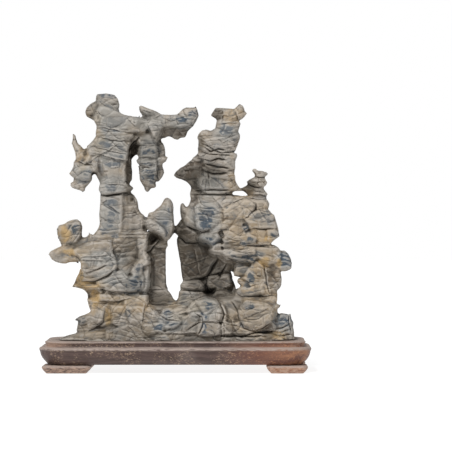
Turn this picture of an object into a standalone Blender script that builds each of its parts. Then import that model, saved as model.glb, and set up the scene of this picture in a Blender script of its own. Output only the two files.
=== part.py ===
"""A small scholar's rock of two ledged towers, standing in the socket of a two-tier carved wood stand.

Units are metres, +Z up, the viewer is towards -Y. The origin is on the surface under the middle of the
stand. The rock is drawn as blocks: each is an outline in the X-Z plane, in millimetres, with the depth of its
face and of its back. The blocks overlap, and one voxel remesh joins them in a single stone.
"""

import math

import bmesh
import bpy
from mathutils import Vector, noise

MM = 0.001

# Stand
STAND_LENGTH = 118.2 * MM
STAND_DEPTH = 52.0 * MM
STAND_TOP = 13.7 * MM
CORNER_RADIUS = 13.0 * MM
CORNER_STEPS = 7
SHARPEST = 0.2 * MM
# Height of each ring of the moulding above the surface, and how far it lies inside the longest ring, in mm
MOULDING = [
    (3.7, 3.7),
    (4.7, 2.7),
    (6.4, 1.2),
    (8.4, 0.3),
    (10.1, 0.0),
    (10.8, 0.25),
    (11.1, 0.8),
    (11.1, 2.5),
    (13.2, 2.5),
    (13.6, 2.8),
    (13.7, 3.4),
]
# Height of each ring of a foot, and how far it lies inside the foot's outline, in mm
FOOT_PROFILE = [(0.0, 2.1), (0.4, 1.6), (1.6, 0.5), (2.6, 0.0), (3.1, 0.2), (3.4, 0.7)]
FOOT_LENGTHS = {"left": 21.2 * MM, "right": 17.8 * MM}
FOOT_DEPTH = 18.0 * MM
FOOT_INSET = 1.8 * MM
FOOT_CORNER_RADIUS = 3.0 * MM
FOOT_CORNER_STEPS = 3

# Socket in the stand, as seen from above, in mm
SOCKET_OUTLINE = [
    (-51.0, -4), (-48.5, -10), (-42, -14.5), (-31, -17), (-15, -18.6), (0, -19), (15, -19.2), (29, -18.6),
    (41, -16.6), (50, -12), (52.6, -4), (51, 5), (45, 11.5), (32, 14.8), (15, 16.2), (0, 15.8), (-15, 15.6),
    (-30, 13.8), (-43, 10.6), (-50, 4),
]
SOCKET_FLOOR = 11.3 * MM
# How far the rock's root stays clear of the socket's walls and floor and of the stand's top
SEAT_GAP = 0.35 * MM

# The outlines were drawn as they look from this far in front of the middle of the rock.
EYE_DISTANCE = 950.0
EYE_X = 22.0
EYE_Z = 63.4

# Big outlines that fill the rock behind its blocks: face depth, back depth, outline in mm
CORES = {
    "trunk_core": (4.5, 4.5, [
        (-34, 120.3), (-27, 120.2), (-25.9, 115.5), (-24, 112.3), (-13, 110.3), (-12, 104),
        (-16.8, 103), (-19.5, 98), (-20.4, 91), (-20.4, 84), (-20.8, 79), (-18, 76), (-17.4, 70.5),
        (-14.5, 68), (-12.8, 66), (-13, 57), (-37, 58.6), (-34.2, 62), (-33, 64), (-32.8, 80),
        (-33, 83), (-34.5, 87.5), (-36.5, 92), (-37.5, 97.5), (-34.4, 101.8), (-34, 106.5),
        (-36.3, 110.7), (-38.6, 113.3), (-36, 116.4), (-34.3, 118),
    ]),
    "arm_core": (2.5, 3.5, [
        (-14, 111), (-6, 111.5), (1.5, 112), (4.5, 114.6), (8.6, 114.6), (9, 111.5), (4.5, 106),
        (3, 103.2), (-3, 103.8), (-6.5, 102.3), (-14, 103),
    ]),
    "pendant_core": (3.2, 3.5, [
        (-15.5, 104), (-7, 103.5), (-6.2, 98), (-6, 88), (-8.2, 84), (-9.6, 82), (-13, 80.4),
        (-15.2, 84.5), (-15.7, 92), (-16.2, 97),
    ]),
    "lobe_core": (3.2, 3.0, [
        (-44, 91), (-36, 92.5), (-33, 89.5), (-36, 86.5), (-38, 84), (-40.7, 80.6), (-45, 81.5),
        (-43.8, 84), (-45.8, 86.5),
    ]),
    "left_core": (7.0, 9.0, [
        (-41, 54.8), (-36, 58), (-13, 60), (-12.7, 29), (-37.5, 29), (-38, 34), (-43.8, 37.4),
        (-41.2, 43.5), (-41.2, 48.3),
    ]),
    "column_core": (0.5, 9.0, [
        (-14, 60), (-3, 61.5), (-2.2, 59.5), (-4.8, 56.5), (-4.9, 52), (-5, 37.4), (-4.3, 35.6),
        (-1.8, 31.8), (0.5, 29.4), (0.5, 26), (-14, 26),
    ]),
    "shelf_core": (3.5, 4.5, [
        (-54.2, 51), (-50, 53.6), (-42, 56.2), (-38, 58.2), (-34, 57.5), (-36, 48.5), (-41.5, 48.4),
        (-48, 48.4), (-53.5, 49.2),
    ]),
    "base_core": (11.0, 14.5, [
        (-42.7, 16.6), (-42.3, 21.2), (-37.3, 25), (-37.6, 30), (-14, 33), (-12, 28.5), (-4, 28.2),
        (2, 29.2), (6, 30.6), (25, 32.6), (43, 32), (43.4, 25), (43.2, 21.6), (49.8, 21), (51, 14),
        (-48.5, 14),
    ]),
    "wall_core": (0.8, 8.0, [
        (1.4, 58), (4, 62.5), (9, 61), (24, 58), (24.4, 48), (23.8, 42), (25, 37), (26, 31),
        (2.0, 29.6), (2.2, 34.5), (3.4, 39.7), (2.9, 44), (2.4, 50), (1.4, 55),
    ]),
    "body_core": (6.0, 9.0, [
        (8, 72.4), (11, 76.2), (24, 76.2), (33, 74.8), (39.6, 74), (40, 71.5), (41, 69), (43, 64),
        (44.3, 60), (42.3, 57.6), (41.5, 55.2), (44.5, 52.4), (49.3, 49), (49.3, 45), (45.6, 44.8),
        (45.3, 42), (45.5, 38), (43.5, 35), (43.6, 30.5), (28, 30.5), (27.4, 34.2), (30.3, 36.8),
        (31.6, 40.6), (29.5, 42.2), (26.5, 43), (26.3, 46), (24.8, 50), (20, 52), (17, 57), (11.4, 60),
        (9.4, 64), (8.6, 68),
    ]),
    "head_core": (4.8, 6.5, [
        (6.8, 74), (7, 76.5), (7.3, 80), (5.5, 83), (1.2, 85.8), (4.6, 89), (10.4, 93.8), (10.7, 100),
        (10.3, 102.4), (12, 104.7), (15.8, 104.4), (18.5, 107), (18.6, 110.4), (17, 112), (18, 114.2),
        (26.4, 114), (27.8, 115.6), (28.8, 113), (27.5, 109.5), (26.4, 104), (26.8, 101.5), (25, 96.2),
        (25, 87), (26.6, 80.2), (25, 79), (24, 75.6),
    ]),
    "pagoda_core": (2.6, 2.6, [
        (29, 79.7), (31.6, 80.4), (32.6, 83), (35.3, 84.4), (35.6, 86.9), (38.6, 86.4), (38.3, 84),
        (39, 82.5), (37.4, 80.3), (38.6, 77.5), (38.6, 74.4), (33.5, 74.6), (32.7, 77), (30.9, 78.8),
    ]),
}

# The stone's visible blocks: face depth, back depth, how far the face is domed, how fast the face recedes
# upwards and to the right, and the outline in mm
BLOCKS = {
    # Left tower, head and trunk
    "crown": (7, 6, 3, 0.1, 0, [
        (-34.7, 121.2), (-30.5, 121.6), (-27, 120.9), (-25.7, 119.3), (-25, 116.8), (-25.3, 114.9),
        (-28, 113.5), (-32, 114.5), (-35, 117.6), (-35.1, 119.8),
    ]),
    "beak": (4.5, 4.5, 2, -0.1, -0.3, [
        (-35.3, 118.2), (-37.5, 117), (-39.2, 115.2), (-39.8, 113.4), (-39.2, 111.6), (-37.8, 110.9),
        (-35.6, 109.6), (-32.5, 110.5), (-31, 114), (-33, 118),
    ]),
    "neck": (8.2, 7, 2, 0.05, 0.05, [
        (-34, 116), (-29, 116), (-25.7, 114.2), (-24.5, 113), (-22, 112), (-18, 111.4), (-15, 111),
        (-12, 109), (-13, 105.5), (-17, 104.8), (-21, 105.1), (-27, 105.9), (-31, 106.7),
        (-34.7, 107.4), (-36.4, 110.4),
    ]),
    "band_a": (8.7, 6, 1.2, -0.05, 0.05, [
        (-34.8, 106.9), (-31, 106.4), (-25, 105.5), (-19, 104.8), (-18.5, 102.5), (-21, 101),
        (-27, 101.2), (-32, 101.9), (-35, 102.6), (-35.2, 104.5),
    ]),
    "band_b": (8.2, 6, 1.2, 0.05, 0.1, [
        (-35.2, 102.6), (-30, 101.7), (-23, 101.2), (-19.5, 100.4), (-20.5, 97.5), (-21, 95.5),
        (-28, 96.8), (-31, 97.4), (-36, 98.1), (-38.4, 98.9), (-37, 100.2),
    ]),
    "band_c": (8.8, 6.5, 1.2, 0, 0.05, [
        (-38.8, 98.7), (-33, 97.7), (-29.5, 96.9), (-24, 95.6), (-20.8, 95.4), (-21, 92.3), (-26, 92.4),
        (-30, 93.3), (-34, 94.5), (-38.6, 95), (-39.4, 96.6),
    ]),
    "trunk_mid": (8, 7, 1.6, 0.05, 0.1, [
        (-36.8, 94), (-33.5, 94.8), (-29, 93.5), (-25, 92.4), (-21.8, 92.1), (-22.2, 88), (-21.8, 84),
        (-22, 82.3), (-27, 81.9), (-33.2, 82.2), (-34, 84), (-35.2, 86), (-36.5, 88), (-37.2, 91),
    ]),
    "trunk_flank": (4.5, 6, 1.2, 0, 0.3, [
        (-23.5, 94), (-20.1, 93.2), (-19.6, 92), (-19.7, 89.5), (-19.4, 87.5), (-19.5, 83.8),
        (-20.7, 82.2), (-23.5, 82),
    ]),
    "collar": (8.4, 6.5, 1.5, -0.05, 0.05, [
        (-33.3, 82), (-27, 81.8), (-21.5, 81.9), (-19.8, 81), (-18.8, 80), (-19.7, 79), (-20.5, 78.4),
        (-26, 77.8), (-31, 77.2), (-33, 77.7), (-33.9, 79.4),
    ]),
    "trunk_low": (7.6, 8, 2.2, 0, 0, [
        (-33.1, 77), (-29, 76.9), (-23.5, 77.6), (-23.2, 70), (-23.6, 63), (-24.5, 58.3), (-29, 57.2),
        (-34, 57.4), (-37, 58.8), (-35.5, 60.1), (-34.2, 62), (-33.4, 64), (-33.6, 69), (-33.1, 74),
    ]),
    "trunk_rib": (6.6, 7, 2.4, 0, 0.12, [
        (-21.8, 77.5), (-20.4, 78.3), (-18.5, 76.8), (-17.2, 74.8), (-16.8, 72.5), (-16.6, 70.8),
        (-15.5, 69), (-14.4, 68.1), (-14.5, 65), (-16.5, 61), (-21.4, 60.2), (-21.2, 68),
    ]),
    # Shoulder, horn and the arm that reaches right
    "shoulder": (8.4, 6, 1.2, 0.1, 0, [
        (-21.5, 110), (-15, 110.5), (-12.8, 109.6), (-11.8, 107), (-14, 105), (-18, 104.6),
        (-20.5, 105), (-22, 107.5),
    ]),
    "shoulder_under": (5.8, 5, 1.2, -0.3, 0, [
        (-24, 104), (-19, 105), (-13.5, 105), (-14, 102.8), (-17.5, 100.8), (-21, 100.5),
    ]),
    "recess_link": (0.5, 5, 1, 0, 0, [
        (-21, 103), (-13, 104), (-14.5, 98), (-16.6, 96), (-17.1, 95), (-18.4, 94.4), (-19.6, 92.8),
        (-21, 92.5),
    ]),
    "horn": (3.6, 3.4, 1.4, 0.1, 0, [
        (-16.2, 116.0), (-15.4, 116.3), (-12, 115), (-8.5, 113.6), (-6.4, 112.3), (-8, 110.5),
        (-12, 109.8), (-14.9, 110), (-14.7, 112.2), (-15.9, 113.8),
    ]),
    "arm_root": (8, 4.5, 2, 0.1, 0.1, [
        (-12.3, 109.6), (-10, 110.6), (-6.5, 109.5), (-5.7, 107), (-6.3, 104), (-7.2, 101.8),
        (-8.6, 100.2), (-9.8, 101.8), (-11, 104.5), (-12.6, 107),
    ]),
    "arm_bar": (6.2, 5, 1.6, 0.35, 0, [
        (-13, 110.9), (-6, 112.3), (-2, 112.1), (1, 112.4), (4, 113), (6.2, 110.4), (6.2, 107.6),
        (2, 106.6), (-3, 106.8), (-8, 107),
    ]),
    "arm_tip": (7.2, 5.5, 2, 0.05, 0.1, [
        (1.3, 113), (3.0, 114.8), (4.6, 115.5), (9.1, 115.3), (9.9, 112), (8.9, 109.8), (7.2, 107),
        (5.4, 107.3), (4.6, 110.6), (2.5, 111.8),
    ]),
    "arm_belly": (3.8, 4.5, 1.8, -0.55, 0, [
        (-6.2, 107.5), (0, 107), (6.2, 108.3), (7, 107), (5, 105.1), (4.3, 103.1), (3.7, 102.4),
        (2, 102.4), (0.8, 101.4), (-0.8, 101.8), (-2, 102.7), (-3.6, 103), (-5, 102.2), (-7, 102),
    ]),
    # Hanging lobe under the shoulder
    "pendant_neck": (6.4, 4, 1.4, 0.1, 0, [
        (-16.5, 103.4), (-12, 104.5), (-9.3, 102.4), (-8.4, 100.2), (-8.5, 98), (-15.5, 98),
        (-17.3, 100.5),
    ]),
    "pendant_head": (8.8, 5, 2.6, 0, 0, [
        (-16.2, 98.2), (-13, 99.3), (-9, 99.1), (-7.8, 97.5), (-7.9, 94.6), (-9, 93), (-13, 92.8),
        (-16, 93), (-16.9, 95),
    ]),
    "pendant_side": (5, 5, 1.2, 0, 0.15, [
        (-8.8, 101), (-5.9, 99.9), (-5.1, 98), (-4.8, 95.5), (-5, 94), (-3.7, 93.6), (-4.4, 92.2),
        (-6, 91.1), (-6.4, 90), (-5.7, 88.6), (-5.3, 87), (-6, 85.3), (-7, 83.9), (-7.9, 82.9),
        (-8.9, 83.5), (-9.3, 90),
    ]),
    "pendant_stub": (7, 3, 1.2, 0, 0.1, [
        (-8.7, 93.6), (-5.6, 93.7), (-4.1, 93.2), (-4.5, 91.9), (-6, 91), (-7.2, 90), (-8.5, 90.8),
    ]),
    "pendant_ledge_1": (8.8, 5, 1, 0, 0, [
        (-17.5, 92), (-16.5, 92.9), (-12, 92.7), (-8.7, 92.2), (-8.6, 90.4), (-13, 89.9), (-16.1, 90.3),
    ]),
    "pendant_ledge_2": (8.4, 5, 1, 0.05, 0, [
        (-16, 89.4), (-12, 89.2), (-8.3, 89.8), (-7.8, 87.8), (-8.3, 86.2), (-12, 86), (-16, 86.2),
        (-16.4, 87.4),
    ]),
    "pendant_tip": (7, 4.5, 1.6, -0.2, 0, [
        (-16, 86.8), (-12, 86.2), (-8.8, 86.8), (-8.6, 84), (-9.2, 82.3), (-8.8, 80.9), (-9.4, 80.3),
        (-11.3, 80.1), (-11.9, 78.9), (-12.6, 78.4), (-13.5, 79), (-13.8, 80.4), (-14.9, 82),
        (-15.9, 83.8),
    ]),
    # Spike and hand on the left
    "spike": (3, 3, 1.6, 0.05, -0.1, [
        (-45.2, 103.7), (-44.6, 103.7), (-43.9, 101.5), (-43.4, 99.8), (-41.9, 98.6), (-40.8, 97.2),
        (-39.8, 96.8), (-38.6, 96.5), (-39.5, 93), (-41.5, 90.5), (-44, 91.2), (-43.9, 94), (-44.3, 96),
        (-45.1, 98.2), (-45.7, 99.4), (-45.3, 101.2),
    ]),
    "spike_web": (2, 4, 0.8, 0, 0, [
        (-41, 97), (-38.5, 97.5), (-36, 95.5), (-36.5, 90), (-40.5, 90), (-42.5, 92),
    ]),
    "thumb": (7.4, 5, 1.2, -0.15, 0.1, [
        (-38.8, 95.2), (-35.5, 95), (-33.5, 94.6), (-36, 92.4), (-38.5, 90.8), (-40.3, 91.2),
        (-39.6, 93.4),
    ]),
    "lobe": (7, 5.5, 2.4, 0.05, -0.1, [
        (-44.6, 92), (-43, 91.1), (-40, 90.6), (-37, 90.6), (-34, 91.3), (-33.4, 89), (-35.8, 87.4),
        (-37, 85.8), (-37.1, 84), (-39, 82.9), (-41, 83.2), (-44.5, 84.4), (-46, 85.4), (-46.8, 86.4),
        (-46, 87.7), (-45.2, 89), (-44.9, 90.6),
    ]),
    "hand": (5.4, 4.5, 1.6, 0.1, -0.05, [
        (-44.8, 84.7), (-41, 84), (-37.1, 84.8), (-37.1, 83.7), (-38.4, 82), (-39.5, 80.9), (-40.2, 80),
        (-40.2, 79), (-41, 78.6), (-42.5, 79.3), (-44, 79.7), (-45.5, 80.2), (-46.5, 81.3), (-46, 82.3),
        (-45, 83),
    ]),
    # Wing that stands between the towers
    "wing": (8, 4.5, 2.2, 0.05, 0.05, [
        (-4.9, 75.4), (-3.8, 75.9), (-2.3, 74.9), (-1.5, 73.4), (-1.2, 71.5), (-1.3, 69.5),
        (-1.1, 66.5), (-0.9, 64), (-0.7, 62.3), (-1.2, 60.8), (-1.4, 59.2), (-2.5, 58), (-4, 56.9),
        (-5.4, 57.4), (-6, 59), (-9, 61), (-12, 63.6), (-13.4, 65), (-12.5, 67.3), (-11.8, 69.1),
        (-9.8, 69.6), (-8.3, 71), (-6.8, 72.1), (-5.6, 74),
    ]),
    "wing_slab": (10.6, 2, 1.2, 0.1, -0.1, [
        (-13.4, 65.6), (-11.8, 66.4), (-9.5, 65.4), (-5.3, 62), (-4.4, 60), (-5.4, 58.3), (-8, 59.8),
        (-11.5, 61.5), (-13.2, 63.8),
    ]),
    # Boulder and shelf on the left
    "shelf_boulder": (5.4, 5, 2.6, 0.05, -0.05, [
        (-51.3, 63.8), (-49.3, 64.1), (-47.5, 65.4), (-45.5, 66.1), (-43.6, 66.3), (-42, 65.1),
        (-41.3, 63), (-41.6, 60.5), (-41.5, 58.8), (-42.8, 56.6), (-44, 55), (-47, 54), (-49.6, 54.2),
        (-51, 56.5), (-51.9, 58.6), (-52.3, 61), (-52, 62.8),
    ]),
    "shelf": (6.8, 6, 2.2, 0.35, -0.1, [
        (-55.9, 51), (-55.1, 52.2), (-53, 53.3), (-50, 54.6), (-45, 55.6), (-41.5, 57.2), (-39.5, 58.2),
        (-38.6, 59), (-38, 60.2), (-37.3, 59.6), (-35, 58.6), (-33, 55), (-34, 49.6), (-41.8, 47.9),
        (-44, 47.6), (-47, 47.6), (-48.5, 46.9), (-50.5, 47), (-53, 47.7), (-54.7, 48.8), (-55.3, 50),
    ]),
    "shelf_crumb": (4, 4, 1, 0, 0, [
        (-42.8, 57), (-41.5, 58.3), (-39.8, 58.3), (-38.7, 59), (-38, 60.2), (-37.3, 59.2),
        (-36.5, 57.4), (-40, 56),
    ]),
    # Slabs and folds of the left mass
    "slab_1": (10, 9, 1.2, 0.25, -0.05, [
        (-43, 54.4), (-40, 55.8), (-36, 56.6), (-28.5, 57.2), (-28, 54), (-27.7, 51.1), (-34, 50.6),
        (-40, 50.3), (-45, 50.6), (-45.4, 52.5),
    ]),
    "slab_2": (11.2, 9, 1, 0.1, -0.05, [
        (-42.5, 50), (-36, 50.4), (-27, 51), (-26.3, 48.4), (-32, 47.6), (-38, 46.9), (-41.8, 46.9),
    ]),
    "slab_3": (11.6, 9, 1, 0.1, -0.1, [
        (-41.8, 46.6), (-37, 46.9), (-32, 47.5), (-26.3, 48.2), (-25.9, 45.2), (-30, 43.7), (-35, 42.6),
        (-39.8, 42.2), (-41.6, 43.5),
    ]),
    "slab_4": (12, 9, 1.2, -0.05, -0.1, [
        (-41.5, 42.6), (-38.5, 42.5), (-33, 44), (-26.3, 45.9), (-26.8, 43.3), (-31, 41), (-35, 39.3),
        (-38, 38.8), (-41.3, 39),
    ]),
    "flank": (6, 8, 2, 0, -0.4, [
        (-41.9, 47.6), (-41.7, 45), (-42.4, 43), (-43.7, 40.5), (-44.4, 38.5), (-45.2, 36.8),
        (-41.5, 35.9), (-39, 38), (-39.8, 46),
    ]),
    "ochre_wedge": (10.4, 8, 1.4, 0.3, -0.1, [
        (-45.2, 36.9), (-43.5, 38.3), (-40, 38.7), (-36, 38.4), (-31.5, 39.2), (-30, 37), (-33, 35.4),
        (-38, 35.5), (-42, 36),
    ]),
    "fold_1": (12.2, 8, 1.4, 0.25, 0, [
        (-35, 38.8), (-31, 41.1), (-27, 43.6), (-24.5, 44), (-22.6, 42.6), (-21, 41), (-22, 39),
        (-25, 37), (-30, 36.2), (-33.5, 36.8),
    ]),
    "fold_2": (13.2, 8, 1.6, 0.3, 0, [
        (-31, 36.6), (-26, 37.8), (-22, 39.8), (-20, 41.2), (-17.5, 41.6), (-15.6, 39), (-15.8, 36),
        (-18, 34.5), (-24, 34.2), (-31, 34.7),
    ]),
    "ochre_neck": (6.5, 8, 1.4, -0.1, -0.2, [
        (-40.4, 35.7), (-36, 36.2), (-31, 35.5), (-31, 33.3), (-33.5, 30.9), (-38.5, 31), (-38.7, 33.6),
    ]),
    "strip_1": (11.8, 8, 1, 0.1, 0, [
        (-34.5, 33.4), (-28, 34), (-20, 34), (-16.3, 33.8), (-17, 32), (-22, 30.9), (-29, 30.2),
        (-34, 31),
    ]),
    "strip_2": (10.4, 9, 1, 0.15, -0.1, [
        (-38.9, 31.2), (-33, 31), (-28, 30.6), (-22, 31), (-22.5, 29.4), (-28, 28.8), (-34, 28.8),
        (-38.4, 29.2),
    ]),
    "left_waist": (9, 9, 1.4, 0.1, -0.2, [
        (-38.8, 30.4), (-34, 30.2), (-31, 28.6), (-31.4, 26), (-35, 24.6), (-37.3, 25.8), (-38.2, 28),
    ]),
    "niche_wall": (7.8, 8, 1, 0, 0.05, [
        (-28.6, 57.3), (-21, 58.8), (-20.3, 55), (-20.8, 51), (-24, 48.3), (-27.2, 48.8), (-28, 53),
    ]),
    "band_under_rib": (9, 8, 1, 0.1, 0, [
        (-25, 60.4), (-20, 60.6), (-14, 61), (-11.5, 60.4), (-12.3, 57.8), (-17, 57.6), (-25, 58.3),
    ]),
    "pale_block": (11, 8, 1.2, 0.15, 0, [
        (-16.7, 57.6), (-12.4, 57.8), (-12.4, 54), (-14, 51.8), (-16, 51.8), (-16.9, 54.5),
    ]),
    "brown_block": (9, 8, 1, 0.1, 0, [
        (-21.3, 58), (-16.4, 57.6), (-16.4, 52), (-18, 49.8), (-21.3, 50.3),
    ]),
    "lean_fold": (10, 8, 1.2, 0.1, 0.1, [
        (-24.5, 49.2), (-20, 50), (-16.6, 48.4), (-17.6, 46.6), (-19.4, 44), (-21, 41.6), (-24.4, 43.8),
        (-26.6, 46),
    ]),
    "pale_ridge": (12.4, 6, 1.4, 0.2, -0.1, [
        (-16.3, 52.3), (-13.8, 51.8), (-12.2, 49.8), (-12, 47), (-14.5, 45.4), (-17.5, 44),
        (-19.4, 44.2), (-18.2, 46.8), (-16.5, 48.2),
    ]),
    "post": (10.4, 8, 1.4, 0, 0.05, [
        (-15.2, 47.2), (-12.1, 47.8), (-11.9, 44), (-12.2, 38), (-12.6, 34.6), (-16, 34.4), (-15.6, 40),
    ]),
    "blue_knob": (12.6, 6, 1.4, 0.1, 0, [
        (-19.5, 44.2), (-16, 46.2), (-14.6, 46), (-14.8, 43), (-16.5, 41.2), (-19, 41.5), (-19.9, 43),
    ]),
    "knuckle": (11.8, 6, 1, 0, 0, [
        (-17, 41.4), (-14.8, 42.8), (-14.2, 40), (-14.6, 36), (-16.4, 34.8), (-17.2, 38),
    ]),
    # Smooth column behind the left mass
    "column": (2.4, 10, 1.4, 0, 0.1, [
        (-13.5, 55), (-8, 55.2), (-4, 54.6), (-4.7, 52.8), (-4.3, 50), (-4.4, 46), (-4.7, 42.5),
        (-4.3, 41), (-4.3, 37), (-3.7, 36), (-5, 35), (-13.5, 35),
    ]),
    "column_cap": (4.2, 8, 1, 0.3, 0, [
        (-9, 57.2), (-5, 57.5), (-3.9, 56.2), (-3.6, 54.6), (-5, 54), (-9.5, 54),
    ]),
    "column_foot": (4.6, 10, 1.4, 0.2, 0, [
        (-13, 35.2), (-4.2, 35.6), (-2.4, 33.6), (-1.2, 31.2), (0.4, 30.2), (1.2, 28.5), (-1, 26.5),
        (-8, 25.5), (-13, 28),
    ]),
    # Base, left to right
    "base_knob": (11, 13, 2.4, 0.1, -0.2, [
        (-44, 22.4), (-42.6, 23.5), (-40, 24.3), (-38, 25.3), (-35, 26.6), (-31.6, 27), (-31.6, 23),
        (-33, 20.3), (-35.5, 18.4), (-38, 17), (-40.2, 16), (-43, 16.3), (-43.7, 17.5), (-43.2, 20),
        (-43, 21.6),
    ]),
    "base_niche": (9.6, 12, 1, 0.1, 0, [
        (-32.4, 28.4), (-29.5, 28.8), (-27.2, 27.8), (-27.6, 22), (-28.6, 18.6), (-34, 18.8),
        (-32.4, 23),
    ]),
    "base_block_1": (13.4, 13, 1.6, 0.15, -0.05, [
        (-28.6, 28.4), (-24, 28.6), (-21.8, 28.1), (-20.8, 23), (-19.3, 20.2), (-24, 18.6),
        (-28.2, 20.2), (-28.8, 24),
    ]),
    "base_block_2": (15, 13, 1.4, 0.15, 0, [
        (-22.2, 28), (-16, 28.2), (-13.7, 27.6), (-13.3, 25), (-14, 21.5), (-14.8, 19.8), (-18.5, 20),
        (-20.7, 20.6),
    ]),
    "base_block_3": (14.2, 13, 1.4, 0.15, 0.1, [
        (-13.5, 26.8), (-11.5, 28), (-8, 25.2), (-6.6, 23), (-7.3, 21.6), (-11, 21), (-14.5, 20.8),
        (-13.8, 24),
    ]),
    "pale_step": (12.4, 10, 1.2, 0.3, 0, [
        (-22.5, 31.4), (-18, 33.2), (-12.2, 33), (-11.9, 29.5), (-13.5, 27.8), (-19, 27.8), (-22.8, 28),
    ]),
    "apron": (14, 12, 1.6, 0.9, 0, [
        (-50.8, 14), (-48, 15.1), (-44, 16.1), (-41, 16.4), (-36, 17.2), (-31, 17.8), (-28.5, 15.2),
        (-28.5, 12), (-51.8, 12),
    ]),
    "rubble_left": (16, 13, 1.2, 0.25, 0, [
        (-31, 17.6), (-26, 18.4), (-22, 19.8), (-17, 20.4), (-14, 19.6), (-13.5, 17), (-14.5, 12),
        (-31, 12),
    ]),
    "pebble_1": (17.2, 4, 1.2, 0.2, 0, [
        (-22.8, 12), (-21.9, 15.8), (-19.5, 16.3), (-18.1, 14), (-18, 12),
    ]),
    "pebble_2": (17.8, 4, 1.4, 0.2, 0, [
        (-9.7, 12), (-9.4, 14.4), (-7.8, 15.5), (-4.5, 15.3), (-2.9, 14), (-2.4, 12),
    ]),
    "toe_left": (16, 13, 1.2, 0.2, 0, [
        (-15, 20), (-9, 20.8), (-6.4, 20.4), (-5.5, 18.5), (-5.3, 16.6), (-9, 16.4), (-14.5, 16.6),
    ]),
    "saddle": (15.4, 12, 1.4, 0.3, 0, [
        (-7.6, 21.8), (-3.5, 23.6), (0, 25), (3.8, 25.3), (4.3, 23.5), (2.5, 21.3), (-1, 18.3),
        (-4.6, 17.6), (-6.5, 19.5),
    ]),
    "blue_oval": (17.4, 6, 1.4, 0.15, 0, [
        (-5, 19.2), (-2.6, 21.4), (1, 22.4), (2.5, 21.6), (1.6, 19.9), (-1.5, 18.1), (-4.2, 18),
    ]),
    "blue_pair_1": (13.6, 10, 1.2, 0.15, 0, [
        (-5.8, 26.8), (-3.5, 27.6), (-1, 26.8), (-0.5, 24.6), (-4, 24.2), (-6, 25.2),
    ]),
    "blue_pair_2": (14.6, 10, 1.2, 0.15, 0, [
        (-6.8, 24.4), (-4, 24.6), (-1.6, 23.6), (-3.5, 22), (-6.4, 22.2),
    ]),
    "saddle_top": (13.6, 11, 1.4, 0.45, 0, [
        (-1, 27), (3, 28.8), (6, 30), (8.4, 29.6), (7, 25.6), (3, 24.3), (-1, 24.6),
    ]),
    "toe_mid": (16.2, 12, 1.2, 0.1, 0, [
        (-4.2, 18), (-1.5, 18.9), (2.9, 21.8), (3.6, 19), (3.2, 15.9), (-1, 15.6), (-4.6, 16),
    ]),
    "tooth": (16.8, 12, 1.4, 0.15, 0, [
        (2.9, 23.4), (6, 24.4), (9.7, 22.8), (10, 19), (9.2, 15.6), (3, 15.8), (2.9, 19.5),
    ]),
    "brow": (16, 12, 1.6, 0.3, 0, [
        (4.2, 25.6), (7.3, 30.1), (10.5, 32), (14.8, 32), (15, 29.5), (12.4, 26), (11.6, 23.6), (7, 24),
    ]),
    "dome": (18, 13, 2.2, 0.1, 0.05, [
        (8.4, 30.8), (12, 32.3), (15, 32.2), (18.1, 30.9), (18.9, 29), (18.2, 26.8), (13, 23.8),
        (11.6, 25.4), (10, 28),
    ]),
    "block_r1": (18, 13, 1.4, 0.1, 0, [
        (11.3, 23.9), (15, 25.5), (18.6, 27.4), (19.8, 26), (19.7, 22.3), (18, 20.8), (12, 20.8),
        (11.1, 22.3),
    ]),
    "block_r2": (18, 13, 1.4, 0.05, 0, [
        (9.6, 20.2), (11, 21.2), (18.5, 21), (19.8, 19.5), (19.5, 14.8), (12, 14.8), (9.3, 15.3),
        (9.2, 18),
    ]),
    "sliver": (16.4, 12, 1, 0, 0, [
        (19, 29.6), (20.8, 28.4), (22.3, 25.2), (22.3, 22.4), (20.5, 20.6), (19.6, 23),
    ]),
    "block_r3": (16.8, 12, 1.2, 0, 0, [
        (20.2, 21), (22, 21.3), (24.2, 20.2), (24.6, 17), (24.2, 14.8), (20.4, 14.8),
    ]),
    "footing": (16.4, 13.5, 0.8, 0.2, 0, [
        (-15, 16.8), (-3, 16.2), (8, 16), (15, 15.2), (25, 15), (36, 16), (44, 15.5), (48, 13.5),
        (47, 12), (-15, 12),
    ]),
    "wall_right": (13.6, 13, 2, 0.1, 0, [
        (18.8, 31.5), (24, 31.2), (26, 32.4), (32, 31.8), (36, 31.2), (40, 32.2), (43.8, 32.6),
        (44.4, 30.5), (44, 29.2), (45.6, 28.4), (45.3, 27.6), (44.3, 26.8), (44.7, 25.5), (43.5, 22.5),
        (42, 20.5), (38, 20), (30, 20), (25, 20), (22, 21.6), (19.4, 28),
    ]),
    "belly": (17.2, 12, 3, -0.1, 0, [
        (28.3, 22), (30.3, 24.9), (34, 25.8), (38, 25.7), (42.4, 24.2), (43, 21.3), (40.2, 18.8),
        (36, 16.8), (33, 16.8), (30.3, 18), (28.6, 20),
    ]),
    "chin": (15.8, 12, 1, -0.1, 0, [
        (24.3, 20.8), (27.5, 21), (29.5, 18.4), (32, 17.3), (35.5, 16.8), (34.8, 15.2), (27, 15),
        (24.4, 15.2),
    ]),
    "jowl": (14.2, 12, 1.2, -0.3, 0, [
        (34.5, 16.6), (38, 17.6), (43, 21.6), (44, 19.5), (43.6, 17.3), (39, 15.2), (35, 15.2),
    ]),
    "right_boulder": (11.6, 9, 2.2, 0.05, 0.1, [
        (43, 18.6), (42.9, 21.8), (44.5, 24.3), (46.5, 25), (48.8, 24.6), (49.6, 24.1), (50.3, 24.8),
        (50.7, 22.3), (51.6, 21), (51.4, 19), (51.9, 17), (51.9, 15), (52.2, 13.3), (51.8, 12),
        (44, 12),
    ]),
    "ochre_toe": (14, 8, 1.2, 0.25, 0.1, [
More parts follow.
